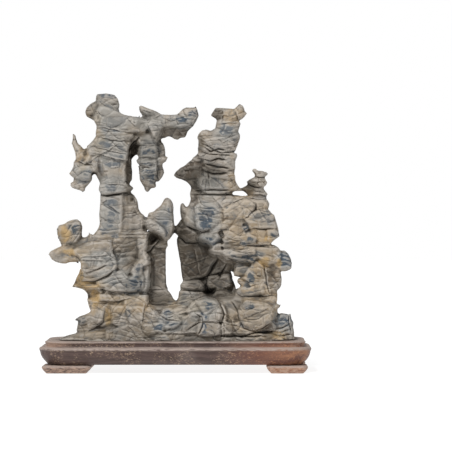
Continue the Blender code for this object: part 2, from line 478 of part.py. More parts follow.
        (38, 14.7), (42, 16.2), (44, 18), (46.7, 18), (48.2, 16), (48.8, 13.5), (47.4, 12), (39, 12),
    ]),
    # Shaded wall of the right tower
    "wall_panel": (3.6, 9, 1.2, 0, -0.05, [
        (0.5, 57.8), (1.2, 58.9), (5, 57.2), (8, 56.2), (12, 56.6), (17, 55.4), (18.5, 52), (17.5, 49),
        (13, 41), (10, 40.3), (4, 39.7), (3, 40), (2.8, 41), (2.4, 44), (2, 48), (1.2, 51.5),
        (0.6, 54.5),
    ]),
    "wall_wedge": (3.2, 8, 1, 0, 0, [
        (14, 41.9), (16, 45.3), (18.6, 49.4), (22, 49), (24.8, 47), (24.9, 45.5), (24.2, 43),
        (22, 42.7), (19, 42.5), (15.5, 41.9),
    ]),
    "wall_shoulder": (5.6, 8, 1, 0, 0, [
        (17, 52.6), (19.4, 53), (23, 50.8), (25.5, 49), (24.8, 46.6), (21, 47.6), (18.6, 49.6),
    ]),
    "wall_block_a": (6.4, 9, 1.4, 0, 0, [
        (2, 37.6), (3.2, 39), (6, 39.7), (10.5, 39.5), (12.5, 37.4), (12.8, 35.5), (11.5, 35),
        (5, 35.4), (2, 36.2),
    ]),
    "wall_block_b": (6.6, 10, 1.4, 0.2, 0, [
        (1.4, 34.5), (2.4, 35.4), (6, 35.3), (11.5, 34.8), (13.4, 33), (14.2, 31.4), (8.5, 30.4),
        (5, 29), (0.8, 29.6), (0.8, 31.5), (1.3, 33),
    ]),
    "wall_block_c": (5, 8, 1, 0, 0, [
        (13.4, 40.8), (15.5, 41.6), (18.8, 41.6), (19.4, 40), (18.4, 38.3), (15, 37.4), (13.3, 38.8),
    ]),
    "wall_block_d": (5, 8, 1, 0, 0, [
        (13.5, 38.2), (15, 37.9), (18.7, 39), (17.9, 36.7), (15.2, 35), (13.8, 35.4),
    ]),
    "wall_block_e": (5.2, 8, 1, 0, 0, [
        (17.7, 37.2), (19.4, 40.8), (20.5, 42.3), (23.6, 42.4), (24.2, 39), (24.4, 37), (20.5, 35.7),
        (18, 35.5),
    ]),
    "wall_edge": (2.4, 8, 1, 0, 0.3, [
        (23.4, 46), (24.8, 46.4), (24.6, 44), (24, 42.8), (24.8, 40), (26, 37), (26.4, 34), (23, 34.5),
        (23.4, 40),
    ]),
    "wall_lens": (8.4, 10, 1.2, 0.2, 0, [
        (15.7, 33.8), (17.5, 34.9), (21, 34.8), (23.5, 34.1), (26.2, 32.4), (24.3, 31), (21, 30),
        (18, 30), (16.8, 32),
    ]),
    "cheek": (5.6, 6.5, 2, -0.15, -0.1, [
        (-0.4, 62.9), (0.5, 63.7), (2, 65.8), (4, 64.2), (7, 62.6), (9.6, 60.8), (10.5, 58), (10, 56.6),
        (8.5, 55.9), (6.2, 55.9), (4, 57.2), (1.2, 59.2), (-0.1, 60.1), (-0.7, 61.8),
    ]),
    "fin": (7.4, 6, 1.6, 0, -0.15, [
        (2.1, 72.9), (2.8, 73.5), (3.4, 73.1), (4, 71.9), (4.8, 71.6), (5.4, 72), (6.1, 73.5), (8, 74),
        (10, 74), (10.2, 66), (10.6, 61), (8, 62.2), (4.1, 63.8), (2.5, 66.5), (2, 69), (1.9, 71),
    ]),
    # Front of the right tower
    "slate_panel": (10.6, 7, 2, 0.05, 0.05, [
        (8.2, 71.8), (9.5, 73.2), (12, 73.8), (16, 73.7), (19, 72.2), (20.7, 70), (21.2, 67),
        (20, 64.8), (17, 62.5), (14.9, 61.1), (12, 60.9), (10, 61.2), (8.8, 64), (8.4, 68),
    ]),
    "crest": (8.8, 8, 1.4, 0.15, 0, [
        (9.6, 76.9), (15, 77.4), (24, 77), (30, 76.6), (33.5, 76), (30, 72), (24, 72), (18, 72.6),
        (10, 73),
    ]),
    "hood": (11.2, 8, 2, 0.25, 0, [
        (23, 72), (28, 75), (34.6, 75.6), (34.9, 70.7), (31.7, 67.8), (29.2, 66), (25, 66.2),
        (21, 66.8), (20.8, 70.3),
    ]),
    "hood_right": (10.4, 8, 1.8, 0.1, 0.1, [
        (34.4, 75.3), (38.5, 75.4), (40.2, 74.7), (41, 73.3), (40.7, 71.6), (39.4, 70.7), (36, 70.6),
        (34.6, 71.6),
    ]),
    "brace": (12.2, 7, 1, 0.2, 0.1, [
        (15, 60.6), (17, 60.2), (21, 62.2), (25, 65), (28.8, 66), (26, 68.2), (23.2, 67), (19, 63.9),
    ]),
    "pleat_1": (12.2, 8, 1, 0.1, 0.05, [
        (30.8, 67.6), (34, 69.4), (36, 70.2), (39, 70.7), (41, 70.2), (41.9, 69), (41, 67.8),
        (37.5, 66.6), (33, 66.4),
    ]),
    "pleat_2": (13, 8, 1, 0.05, 0.05, [
        (30.2, 66.6), (37, 67), (42, 68.3), (43, 68.2), (43.2, 66.2), (40.5, 65.2), (36, 64.3),
        (33, 64), (31, 65),
    ]),
    "pleat_3": (12.6, 8, 1, 0.05, 0.05, [
        (31.6, 64), (36, 64.8), (41, 65.4), (43.8, 65.2), (44.3, 63), (43.8, 62.2), (36, 62.2),
        (32.6, 62.4),
    ]),
    "pleat_edge": (9, 8, 1.4, 0, 0.2, [
        (41.6, 68.4), (43, 68.4), (44, 65.2), (44.8, 62.4), (45.1, 60.8), (42.6, 60.8), (41.6, 64),
    ]),
    "fold_r1": (11.4, 8, 1.2, 0.15, 0, [
        (20.6, 62.4), (24, 63.4), (25, 65.2), (29, 66.2), (31.3, 64.6), (32.2, 62.4), (30, 60),
        (26, 59.8), (20.6, 60.6),
    ]),
    "fold_r2": (12, 8, 1.6, 0.05, 0.05, [
        (32.4, 62.4), (38, 62.4), (41.4, 62), (41, 57), (41.5, 55.2), (36.5, 55.2), (35.8, 58),
        (33.4, 60.3),
    ]),
    "fold_r3": (13, 8, 1.6, 0, 0.1, [
        (40.3, 62), (43, 61.9), (45, 61), (45.4, 58.9), (43.1, 57.3), (41.6, 55.8), (40.2, 57.5),
    ]),
    "fold_r4": (12.2, 8, 1.2, 0.15, 0, [
        (20.6, 60.8), (27, 61.4), (31, 61), (34, 60.2), (35.8, 58), (34.8, 55.8), (31, 56.2),
        (26, 57.4), (21.6, 58.1),
    ]),
    "fold_r5": (11.6, 8, 1, 0.15, 0, [
        (20, 58.2), (24, 58.2), (30, 57.1), (31.8, 56), (30, 54.9), (25, 54.8), (21, 55.8),
    ]),
    "tongue_1": (14, 6, 1.4, 0.05, 0, [
        (10.4, 59.2), (13, 60.1), (18.8, 60), (19.8, 58.6), (18.4, 56.9), (16.5, 55.9), (13, 55.7),
        (10.5, 56.9), (10.1, 58),
    ]),
    "tongue_2": (12.4, 6, 0.8, 0.05, 0, [
        (14.3, 55.2), (19.4, 56), (20, 54.8), (18, 53.7), (15.8, 53.9),
    ]),
    "tongue_3": (12.4, 6, 1, 0.05, 0, [
        (14, 53.2), (17, 53.9), (19.8, 53.6), (19.6, 51.2), (16.5, 50.8), (14.8, 51.8),
    ]),
    "rib_1": (12.2, 8, 0.8, 0.1, 0, [
        (19.6, 55.2), (26, 55.4), (30, 54.8), (34.8, 54.5), (34.8, 52.7), (28, 52.7), (21.6, 53.3),
    ]),
    "rib_2": (12.8, 8, 0.8, 0.05, 0, [
        (19, 52.8), (24, 53.4), (30, 52.7), (34.8, 52.7), (34.8, 51.1), (29, 50.7), (22, 50.4),
        (19, 50.8),
    ]),
    "rib_3": (11.2, 8, 0.9, -0.1, 0, [
        (20.4, 50.9), (26, 51), (31, 50.8), (35, 51), (35.4, 49), (33.5, 47.4), (28, 47.8),
        (24.3, 48.8), (22, 48.8),
    ]),
    "right_block": (11.4, 8, 1.6, 0.1, 0.05, [
        (34.9, 54.8), (40, 54.8), (43, 55), (44.8, 54), (46, 52.4), (46.2, 50), (45.2, 47.6),
        (41, 46.6), (38, 47.6), (36, 49.6), (34.7, 52),
    ]),
    "ear": (7.6, 6.5, 2.6, 0, 0.05, [
        (44.6, 52.1), (47.8, 52.6), (49.4, 51), (50.4, 49), (50.9, 47), (50.7, 44.7), (49.9, 44.2),
        (48.5, 43.6), (46.8, 43.5), (45.5, 44.2), (43.6, 45.6), (42, 48), (43, 51),
    ]),
    # Right leg
    "leg_blue": (8.2, 7, 1.4, 0.05, 0, [
        (25.5, 45.9), (27, 47.2), (33, 47.4), (34.4, 46.6), (32.2, 43.6), (30, 41.8), (28.6, 41.4),
        (27, 40.8), (25.7, 41), (25, 42), (25.2, 43.4),
    ]),
    "leg_fan": (9.6, 8, 1.2, 0, 0, [
        (34, 48.4), (37.6, 48.4), (38.8, 45), (39.3, 42), (39.6, 38.8), (36, 40.8), (31, 41.1),
        (30.2, 42.4), (33, 46),
    ]),
    "leg_mid": (9.8, 8, 1.2, 0.1, 0, [
        (28.8, 40.5), (31, 41.4), (36, 41.5), (39.6, 41.6), (39.8, 38.3), (38.2, 36.6), (33, 36.6),
        (32, 38.5), (30, 40),
    ]),
    "leg_knob": (8.4, 7, 1.4, 0, 0, [
        (26.8, 39.4), (28.2, 40.4), (30.5, 40), (33.2, 38.7), (32.8, 37.2), (31.7, 36.2), (29.8, 36.2),
        (28.4, 37.3), (27, 38.6),
    ]),
    "leg_back": (6.4, 8, 1.8, 0, 0.15, [
        (38, 47), (41, 47.4), (44, 45.6), (45.4, 44.2), (46.1, 42.5), (46.4, 40), (46.3, 37.5),
        (45.6, 36.2), (44.4, 35.1), (43, 34), (41, 35), (39.6, 38), (39, 42),
    ]),
    "leg_low": (10.4, 9, 1.4, 0.1, 0, [
        (25.9, 35), (27.5, 36.1), (29.5, 36.8), (32.5, 36.5), (34, 37.4), (37.6, 37.2), (39, 35.6),
        (38.8, 33.4), (37, 32.2), (33, 31.5), (29, 32.1), (26.4, 33.4),
    ]),
    "leg_toe": (9.4, 9, 1.2, 0, 0.05, [
        (38.3, 37.2), (40.4, 37.4), (41.4, 35), (41.6, 32.8), (40, 32), (38.3, 32.8),
    ]),
    "leg_heel": (7.8, 9, 1.4, 0, 0.1, [
        (41, 36), (43.6, 35.2), (44.5, 34), (44.4, 30.6), (41.8, 30.6), (40.8, 33),
    ]),
    # Right tower, waist to head
    "waist": (4.6, 7, 1, 0, -0.1, [
        (6.7, 79.6), (11, 78.8), (11.6, 76), (10, 73), (7.5, 72.2), (6.2, 73.3), (6.6, 75.4),
        (6.2, 77.5),
    ]),
    "sheet": (9.4, 2, 0.4, 0, 0, [
        (11.2, 79.1), (15.5, 78.8), (20, 78.9), (24.4, 78.5), (20, 77.9), (15, 78), (12, 78.3),
    ]),
    "head_foot": (9.8, 7, 1.6, 0.15, 0.05, [
        (10, 84.4), (12, 85.2), (15, 85.2), (22, 84.8), (25.6, 84.2), (26.6, 82), (27.8, 80.2),
        (29.4, 79), (24, 78.8), (18, 79.7), (12, 79.7), (9.3, 81),
    ]),
    "snout": (5.4, 6.5, 1.2, -0.25, -0.1, [
        (-0.9, 85.7), (0.1, 87.3), (2, 88.9), (4.2, 90), (8, 90.6), (11.5, 89), (12, 85), (10.8, 80.2),
        (7, 79.7), (6.3, 81.4), (4.7, 83), (2.5, 84), (0.4, 84.6),
    ]),
    "step_1": (7.2, 6, 1, 0.1, -0.1, [
        (4.2, 90.1), (6, 91.8), (8, 93), (12.6, 92.8), (13, 90), (8, 88.9), (5, 89),
    ]),
    "step_2": (8.6, 7, 1, 0.1, -0.05, [
        (7.3, 93.2), (9.6, 95), (14, 95), (14, 92.6), (9, 91.8),
    ]),
    "ledge_1": (10.2, 7, 0.9, 0.1, 0, [
        (12.6, 87), (20, 87.1), (24.6, 87.3), (25.4, 86.5), (26, 85), (25.9, 84.1), (20, 84.5),
        (14.5, 84.8), (12.2, 85.6),
    ]),
    "ledge_2": (9.2, 7, 0.9, 0.1, 0, [
        (11.6, 89.2), (18, 88.5), (24, 88.6), (25.7, 88.1), (25.6, 86.7), (20, 86.5), (13.6, 86.8),
    ]),
    "ledge_3": (10.8, 7, 0.9, 0.05, 0, [
        (11.8, 91.1), (17, 91.5), (22, 91), (25.8, 90.5), (26, 88.7), (21, 88), (15, 88.5),
    ]),
    "ledge_4": (11.2, 7, 0.9, 0.1, 0, [
        (12.2, 92.8), (16, 92), (20, 92.2), (24, 92.8), (26, 92.1), (25.9, 90), (22, 89.9), (17, 90.5),
        (12.8, 91.3),
    ]),
    "ledge_5": (10.6, 7.5, 0.9, 0, 0, [
        (9.8, 95.2), (14, 95.6), (20, 95.4), (25, 95.7), (26.9, 94.7), (26.6, 93.4), (25.9, 92.1),
        (21, 92.8), (16, 92.8), (10.6, 93.3),
    ]),
    "ledge_6": (9.6, 7, 0.9, 0.1, 0, [
        (9.7, 97.5), (14, 97.2), (20, 96.5), (25, 96.6), (25.4, 95.8), (24, 94.8), (16, 94.8),
        (9.9, 95),
    ]),
    "ledge_7": (10.4, 7, 1, 0.1, 0, [
        (10, 101), (13, 99.8), (17, 98.4), (21, 97.4), (25, 97.6), (26.5, 98), (26.2, 96.6), (20, 95.9),
        (13, 96.6), (9.9, 97.8),
    ]),
    "jaw": (9.6, 8, 2, 0.1, 0.1, [
        (9.4, 102.3), (10.2, 104.1), (11.5, 105.4), (13.5, 105.7), (15.4, 105.1), (18, 106.6),
        (20, 108.4), (26, 108.6), (27.5, 107), (27.1, 105), (28.1, 103.4), (28, 101.8), (27.3, 100),
        (26.8, 98.3), (25, 97.2), (21, 97.8), (16, 98.6), (12.5, 100.1), (10.1, 101),
    ]),
    "lip": (11.6, 6, 1.6, -0.1, 0, [
        (11.6, 101.4), (17, 102.6), (23, 102.4), (25.8, 100.5), (25.3, 98), (19, 97.5), (14, 99.2),
    ]),
    "brow_right": (8.6, 7.5, 1.6, 0.1, 0.05, [
        (17.4, 106.6), (17.7, 108), (18.1, 109.9), (20, 110.4), (27.4, 110), (28.3, 108.4),
        (27.2, 104.8), (20, 103.6),
    ]),
    "head_top": (7.6, 7, 1.6, 0.05, 0, [
        (15.4, 112), (16.6, 113.9), (17.5, 115.2), (21, 115.1), (25.7, 114.7), (26.6, 113), (27.8, 109),
        (22, 108.5), (19.4, 108.9), (18.4, 110), (17.5, 110.8), (16.5, 111.4),
    ]),
    "head_knob": (8, 6, 1.8, 0, 0.1, [
        (25.6, 114.6), (26.6, 115.6), (27.8, 116.8), (29.3, 116.3), (30, 114.9), (29.9, 114.1),
        (31.1, 113), (30, 111.5), (28.7, 110.3), (27.3, 110.6), (26.4, 112.6),
    ]),
    # Little stack on the right shoulder
    "stack_foot": (5, 4, 1.2, 0.1, 0, [
        (28.2, 79.7), (29.7, 80.3), (31.6, 81.4), (32, 82.2), (35, 82.2), (38.2, 80.6), (38.6, 79.5),
        (39.6, 78.2), (40.4, 77.4), (39.6, 76.9), (39.7, 75.2), (36, 75), (32.6, 76.4), (30.9, 78),
        (29.6, 79),
    ]),
    "stack_mid": (5.6, 4, 1.2, 0, 0, [
        (31.2, 82.8), (32.3, 83.7), (34.8, 84.9), (38.8, 84.7), (39.4, 83.6), (40.1, 82.5),
        (39.4, 81.3), (38, 80.3), (34, 80.8), (32, 81.6),
    ]),
    "stack_neck": (4.2, 3.4, 0.6, 0, 0, [
        (34.9, 85.7), (38.9, 85.8), (38.9, 84.2), (34.9, 84.3),
    ]),
    "stack_head": (5, 3.6, 1, 0.05, 0, [
        (33.5, 87.8), (34.3, 88.6), (35.2, 88.3), (35.6, 87.7), (38, 87.5), (39.8, 86.9), (40.4, 86.2),
        (39.3, 85.3), (36, 85.1), (34.9, 85.5), (34.7, 86.4),
    ]),
}

# Openings that go right through the stone: outlines in mm, drawn as the blocks are
OPENINGS = {
    "slot": [
        (-1.6, 59.3), (-2.8, 57.6), (-3.8, 56.3), (-3.6, 54.6), (-4.5, 52), (-4.5, 45), (-4.3, 38),
        (-3.6, 35.8), (-2, 33.3), (-0.6, 31.2), (0.4, 30.9), (1, 32), (1.3, 35.5), (2.6, 39.5), (2, 46),
        (1.2, 51.5), (0.4, 56), (0.3, 58.6), (-0.8, 60.2),
    ],
    "upper_slot": [
        (-1.2, 74.4), (-0.8, 72), (-0.7, 68), (-0.5, 63.5), (0.2, 63.7), (1.5, 66.2), (1.5, 70),
        (1.7, 73), (1.2, 74.8),
    ],
    "lobe_gap": [
        (-17.2, 94.6), (-18.6, 92.6), (-19.1, 90), (-19.1, 84), (-20, 82.2), (-19, 81), (-15, 81),
        (-16, 83.8), (-16.3, 87), (-15.9, 88.5), (-16.5, 90), (-17.4, 92), (-16.9, 93.4),
    ],
    "tower_hole": [
        (24.1, 43.6), (24.9, 41), (25.9, 38), (26.4, 35.7), (27.9, 36.4), (28.3, 37.3), (27, 38.6),
        (26.9, 40), (28.3, 40.8), (25.6, 41.4), (25.2, 43),
    ],
    "stack_slit": [
        (25.9, 78), (27.4, 78.7), (30.1, 78.3), (31.6, 76.9), (29, 76.6), (27.3, 76.9),
    ],
}
OPENING_REACH = 25

# The towers lean forwards and back a little, and the stone's thickness swells and thins, in mm
SWAY = 5.0
SWAY_SPAN = 42.0
SWAY_FOOT = (20.0, 50.0)
SWELL = 0.5
SWELL_SPAN = 15.0

VOXEL = 0.9 * MM
CORE_ROUNDING = 1.5
WELD = 0.01 * MM
# How far each outline is widened, in mm, to make up for the weathering
GROWTH = 0.35
ROCK_TRIANGLES = 8000

# Weathering: how deep and how large each kind of relief is
STRATA_HEIGHT = 3.2 * MM
STRATA_DEPTH = 0.45 * MM
BLOCK_SIZE = 7.5 * MM
BLOCK_FLATNESS = 1.7
BLOCK_BEND = 0.5
BLOCK_BEND_SPAN = 2.2
FAR_OFF = Vector((17, 31, 47))
BLOCK_DEPTH = {"front": 0.35 * MM, "back": 1.9 * MM}
CRACK_WIDTH = 0.16
CRACK_DEPTH = {"front": 0.25 * MM, "back": 0.9 * MM}
LUMP_SIZE = 13.0 * MM
LUMP_DEPTH = {"front": 0.25 * MM, "back": 1.6 * MM}

STONE_COLOUR = (0.29, 0.25, 0.21, 1.0)
WOOD_COLOUR = (0.075, 0.045, 0.037, 1.0)


def clear_scene():
    for item in list(bpy.data.objects):
        bpy.data.objects.remove(item, do_unlink=True)


def collection(name):
    group = bpy.data.collections.new(name)
    bpy.context.scene.collection.children.link(group)
    return group


def material(name, colour, roughness):
    result = bpy.data.materials.new(name)
    result.use_nodes = True
    shader = result.node_tree.nodes["Principled BSDF"]
    shader.inputs["Base Color"].default_value = colour
    shader.inputs["Roughness"].default_value = roughness
    shader.inputs["Metallic"].default_value = 0.0
    return result


def mesh_object(name, bm, group, finish=None):
    """A new object that holds the bmesh, in one collection and with one material."""
    bmesh.ops.recalc_face_normals(bm, faces=bm.faces)
    mesh = bpy.data.meshes.new(name)
    bm.to_mesh(mesh)
    bm.free()
    result = bpy.data.objects.new(name, mesh)
    group.objects.link(result)
    if finish:
        mesh.materials.append(finish)
    return result


def apply_modifiers(item):
    """Turn the object's evaluated shape into its own mesh."""
    depsgraph = bpy.context.evaluated_depsgraph_get()
    mesh = bpy.data.meshes.new_from_object(item.evaluated_get(depsgraph))
    item.modifiers.clear()
    item.data = mesh


def boolean(item, cutter, operation):
    cut = item.modifiers.new(operation.title(), "BOOLEAN")
    cut.operation = operation
    cut.solver = "EXACT"
    cut.object = cutter


def prism(name, outline, low, high, group):
    """An upright solid on an outline of (x, y) points, from one height to another."""
    bm = bmesh.new()
    floor = bm.faces.new([bm.verts.new((x, y, low)) for x, y in outline])
    raised = bmesh.ops.extrude_face_region(bm, geom=[floor], use_keep_orig=True)
    corners = [part for part in raised["geom"] if isinstance(part, bmesh.types.BMVert)]
    bmesh.ops.translate(bm, verts=corners, vec=(0, 0, high - low))
    return mesh_object(name, bm, group)


def shrunk(outline, inset):
    """An outline of (x, y) points, listed anticlockwise, moved inwards along its corners' bisectors."""
    points = [Vector(point) for point in outline]
    result = []
    for index, point in enumerate(points):
        back = (point - points[index - 1]).normalized()
        ahead = (points[(index + 1) % len(points)] - point).normalized()
        bisector = (Vector((-back.y, back.x)) + Vector((-ahead.y, ahead.x))).normalized()
        result.append(point + bisector * inset)
    return [tuple(point) for point in result]


def rounded_rectangle(length, depth, radius, steps):
    """The (x, y) points of a rectangle about the origin, with each corner an arc."""
    points = []
    for quarter, (side, face) in enumerate(((1, 1), (-1, 1), (-1, -1), (1, -1))):
        centre = (side * (length / 2 - radius), face * (depth / 2 - radius))
        for step in range(steps + 1):
            angle = math.radians(90 * (quarter + step / steps))
            points.append((centre[0] + radius * math.cos(angle), centre[1] + radius * math.sin(angle)))
    return points


def moulding(name, length, depth, radius, steps, profile, group, finish):
    """A loft through rounded rectangles, each at a height and an inset that the profile gives in mm."""
    bm = bmesh.new()
    rings = []
    for height, inset in profile:
        inward = inset * MM
        arc = max(radius - inward, SHARPEST)
        ring = rounded_rectangle(length - 2 * inward, depth - 2 * inward, arc, steps)
        rings.append([bm.verts.new((x, y, height * MM)) for x, y in ring])
    bm.faces.new(reversed(rings[0]))
    bm.faces.new(rings[-1])
    for low, high in zip(rings, rings[1:]):
        for index in range(len(low)):
            bm.faces.new((low[index - 1], low[index], high[index], high[index - 1]))
    return mesh_object(name, bm, group, finish)


def build_stand(parts, cutters, wood):
    body = moulding("stand_body", STAND_LENGTH, STAND_DEPTH, CORNER_RADIUS, CORNER_STEPS, MOULDING,
                    parts, wood)
    outline = [(x * MM, y * MM) for x, y in SOCKET_OUTLINE]
    socket = prism("socket_cutter", outline, SOCKET_FLOOR, STAND_TOP + 5 * MM, cutters)
    boolean(body, socket, "DIFFERENCE")


def build_feet(parts, wood):
    """Four pads under the corners, wider on the left than on the right."""
    for row, front in (("front", -1), ("back", 1)):
        for side, outward in (("left", -1), ("right", 1)):
            length = FOOT_LENGTHS[side]
            foot = moulding(f"foot_{row}_{side}", length, FOOT_DEPTH, FOOT_CORNER_RADIUS, FOOT_CORNER_STEPS,
                            FOOT_PROFILE, parts, wood)
            foot.location.x = outward * (STAND_LENGTH / 2 - FOOT_INSET - length / 2)
            foot.location.y = front * (STAND_DEPTH / 2 - FOOT_INSET - FOOT_DEPTH / 2)


def seen_at(x, z, y):
    """The place, in metres, of a point drawn at (x, z) mm that lies y mm behind the middle plane."""
    scale = (EYE_DISTANCE + y) / EYE_DISTANCE
    return Vector((EYE_X + (x - EYE_X) * scale, y, EYE_Z + (z - EYE_Z) * scale)) * MM


def mix(low, high, share):
    return low + (high - low) * share


def sway(x, z):
    """How far back the stone leans at a place: nothing at its foot, more towards its heads."""
    low, high = SWAY_FOOT
    share = min(max((z - low) / (high - low), 0), 1)
    return SWAY * share * noise.noise(Vector((x, 0, z)) / SWAY_SPAN)


def swell(x, z):
    """How much thicker than drawn the stone's back is at a place."""
    return 1 + SWELL * noise.noise(Vector((x, SWELL_SPAN, z)) / SWELL_SPAN)


def polygon_size(outline):
    """Area and perimeter of a closed outline."""
    area = 0
    perimeter = 0
    for (x1, z1), (x2, z2) in zip(outline, outline[1:] + outline[:1]):
        area += (x1 * z2 - x2 * z1) / 2
        perimeter += math.hypot(x2 - x1, z2 - z1)
    return abs(area), perimeter


def slab(outline, face, back, dome=0, lean_up=0, lean_right=0, growth=GROWTH):
    """The mesh of one block: its outline extruded from back to face, with rounded edges."""
    area, perimeter = polygon_size(outline)
    rounding = min(dome, area / perimeter, (face + back) / 2.5)
    curve = bpy.data.curves.new("slab", "CURVE")
    curve.dimensions = "2D"
    curve.fill_mode = "BOTH"
    curve.extrude = (face + back) / 2 - rounding
    curve.bevel_depth = rounding
    curve.bevel_resolution = 1
    curve.offset = growth - rounding
    spline = curve.splines.new("POLY")
    spline.points.add(len(outline) - 1)
    for point, (x, z) in zip(spline.points, outline):
        point.co = (x, z, 0, 1)
    spline.use_cyclic_u = True
    holder = bpy.data.objects.new("slab", curve)
    mesh = bpy.data.meshes.new_from_object(holder)
    bpy.data.objects.remove(holder)
    bpy.data.curves.remove(curve)
    centre_x = sum(x for x, z in outline) / len(outline)
    centre_z = sum(z for x, z in outline) / len(outline)
    for corner in mesh.vertices:
        x, z, height = corner.co
        ahead = height / (face + back) + 0.5
        front_y = lean_up * (z - centre_z) + lean_right * (x - centre_x) - face
        corner.co = seen_at(x, z, mix(back * swell(x, z), front_y, ahead) + sway(x, z))
    return mesh


def joined(name, meshes, group):
    """One object that holds all the meshes, each with its own corners welded."""
    bm = bmesh.new()
    for mesh in meshes:
        bm.from_mesh(mesh)
    bmesh.ops.remove_doubles(bm, verts=bm.verts, dist=WELD)
    return mesh_object(name, bm, group)


def keep_largest(item):
    """Leave only the island with the most faces, without crumbs or sealed bubbles."""
    bm = bmesh.new()
    bm.from_mesh(item.data)
    unseen = set(bm.verts)
    islands = []
    while unseen:
        pending = [unseen.pop()]
        island = list(pending)
        while pending:
            for edge in pending.pop().link_edges:
                for vertex in edge.verts:
                    if vertex in unseen:
                        unseen.remove(vertex)
                        island.append(vertex)
                        pending.append(vertex)
        islands.append(island)
    islands.sort(key=len)
    for island in islands[:-1]:
        bmesh.ops.delete(bm, geom=island, context="VERTS")
    bm.to_mesh(item.data)
    bm.free()


def relief(place, normal):
    """How far the surface stands out at a place: lumps, jointed blocks with cracks between, and strata."""
    rear = min(max(normal.y * 1.6 + 0.35, 0), 1)
    lump = noise.noise(place / LUMP_SIZE) * mix(LUMP_DEPTH["front"], LUMP_DEPTH["back"], rear)
    far = place / (BLOCK_BEND_SPAN * BLOCK_SIZE)
    bend = Vector((noise.noise(far), noise.noise(far + FAR_OFF), noise.noise(far - FAR_OFF)))
    spot = place / BLOCK_SIZE + bend * BLOCK_BEND
    spot.z *= BLOCK_FLATNESS
    gaps, cells = noise.voronoi(spot)
    block = noise.cell(cells[0] * 37.0) - 0.5
    block *= mix(BLOCK_DEPTH["front"], BLOCK_DEPTH["back"], rear)
    crack = max(0, 1 - (gaps[1] - gaps[0]) / CRACK_WIDTH)
    crack *= mix(CRACK_DEPTH["front"], CRACK_DEPTH["back"], rear)
    level = place.z / STRATA_HEIGHT + noise.noise(place / (3 * STRATA_HEIGHT)) * 1.6
    strata = abs(level % 1 - 0.5) * 2
    return lump + block - crack - strata * strata * STRATA_DEPTH


def fuse(item):
    """Make one closed skin of everything in the object."""
    remesh = item.modifiers.new("Fuse", "REMESH")
    remesh.mode = "VOXEL"
    remesh.voxel_size = VOXEL
    apply_modifiers(item)
    keep_largest(item)


def build_openings(cutters):
    meshes = [slab(outline, OPENING_REACH, OPENING_REACH, growth=0) for outline in OPENINGS.values()]
    return joined("openings_cutter", meshes, cutters)


def build_seat(cutters):
    """What the rock may not reach: the stand and all below it, apart from the socket's inside."""
    margin = 40 * MM
    outline = rounded_rectangle(STAND_LENGTH + margin, STAND_DEPTH + margin, SHARPEST, 1)
    seat = prism("seat_cutter", outline, -margin, STAND_TOP + SEAT_GAP, cutters)
    root = [(x * MM, y * MM) for x, y in SOCKET_OUTLINE]
    plug = prism("plug_cutter", shrunk(root, SEAT_GAP), SOCKET_FLOOR + SEAT_GAP, STAND_TOP + margin, cutters)
    boolean(seat, plug, "DIFFERENCE")
    apply_modifiers(seat)
    return seat


def build_rock(parts, cutters, stone):
    blocks = [slab(outline, face, back, CORE_ROUNDING) for face, back, outline in CORES.values()]
    blocks += [slab(block[-1], *block[:-1]) for block in BLOCKS.values()]
    rock = joined("rock", blocks, parts)
    fuse(rock)
    boolean(rock, build_openings(cutters), "DIFFERENCE")
    apply_modifiers(rock)
    surface = [(vertex.co.copy(), vertex.normal.copy()) for vertex in rock.data.vertices]
    for vertex, (place, normal) in zip(rock.data.vertices, surface):
        vertex.co = place + normal * relief(place, normal)
    fuse(rock)
    boolean(rock, build_seat(cutters), "DIFFERENCE")
    apply_modifiers(rock)
    thin = rock.modifiers.new("Thin", "DECIMATE")
    thin.ratio = ROCK_TRIANGLES / sum(len(face.vertices) - 2 for face in rock.data.polygons)
    apply_modifiers(rock)
    rock.data.materials.append(stone)


def main():
    clear_scene()
    parts = collection("Scholars rock")
    cutters = collection("Cutters")
    stone = material("stone", STONE_COLOUR, 0.75)
    wood = material("wood", WOOD_COLOUR, 0.5)
    build_stand(parts, cutters, wood)
    build_feet(parts, wood)
    build_rock(parts, cutters, stone)
    for cutter in cutters.objects:
        cutter.hide_render = True
        cutter.display_type = "WIRE"


main()
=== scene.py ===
"""The looks of a small scholar's rock that stands in the socket of a two-tier wooden stand.

The stone is drawn as blocks, as in the part's source: each is an outline in the X-Z plane, in millimetres,
with the depth of its face and of its back. They are fused in one skin, which is then weathered, cracked along
drawn strokes and thinned. Its colours come from where a place lies: how deep in the stone, which gives it
painted shade in recesses, how sharp its edge, which gives it a worn rim with a painted highlight or painted
shade in a crease, and which drawn patches of warm, cool, slate, ochre, brown and pale stone and of painted shade
reach it. The brown patches are partly painted shade and the pale ones partly painted light, and facets are
painted paler as they lean towards the key light.
"""

import math

import bmesh
import bpy
import numpy as np
from mathutils import Matrix, Vector, noise
from mathutils.bvhtree import BVHTree


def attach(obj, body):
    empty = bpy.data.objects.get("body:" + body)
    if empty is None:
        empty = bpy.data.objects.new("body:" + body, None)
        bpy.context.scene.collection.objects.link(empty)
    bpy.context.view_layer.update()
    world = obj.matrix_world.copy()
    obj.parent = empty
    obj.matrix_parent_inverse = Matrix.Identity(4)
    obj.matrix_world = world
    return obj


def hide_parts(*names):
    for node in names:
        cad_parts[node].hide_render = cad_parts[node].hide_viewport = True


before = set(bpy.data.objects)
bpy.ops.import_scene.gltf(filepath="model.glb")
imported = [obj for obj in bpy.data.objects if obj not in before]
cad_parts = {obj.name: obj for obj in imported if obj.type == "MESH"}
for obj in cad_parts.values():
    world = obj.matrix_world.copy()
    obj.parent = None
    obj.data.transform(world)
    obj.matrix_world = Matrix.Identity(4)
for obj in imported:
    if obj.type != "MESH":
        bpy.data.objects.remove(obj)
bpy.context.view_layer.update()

MM = 0.001

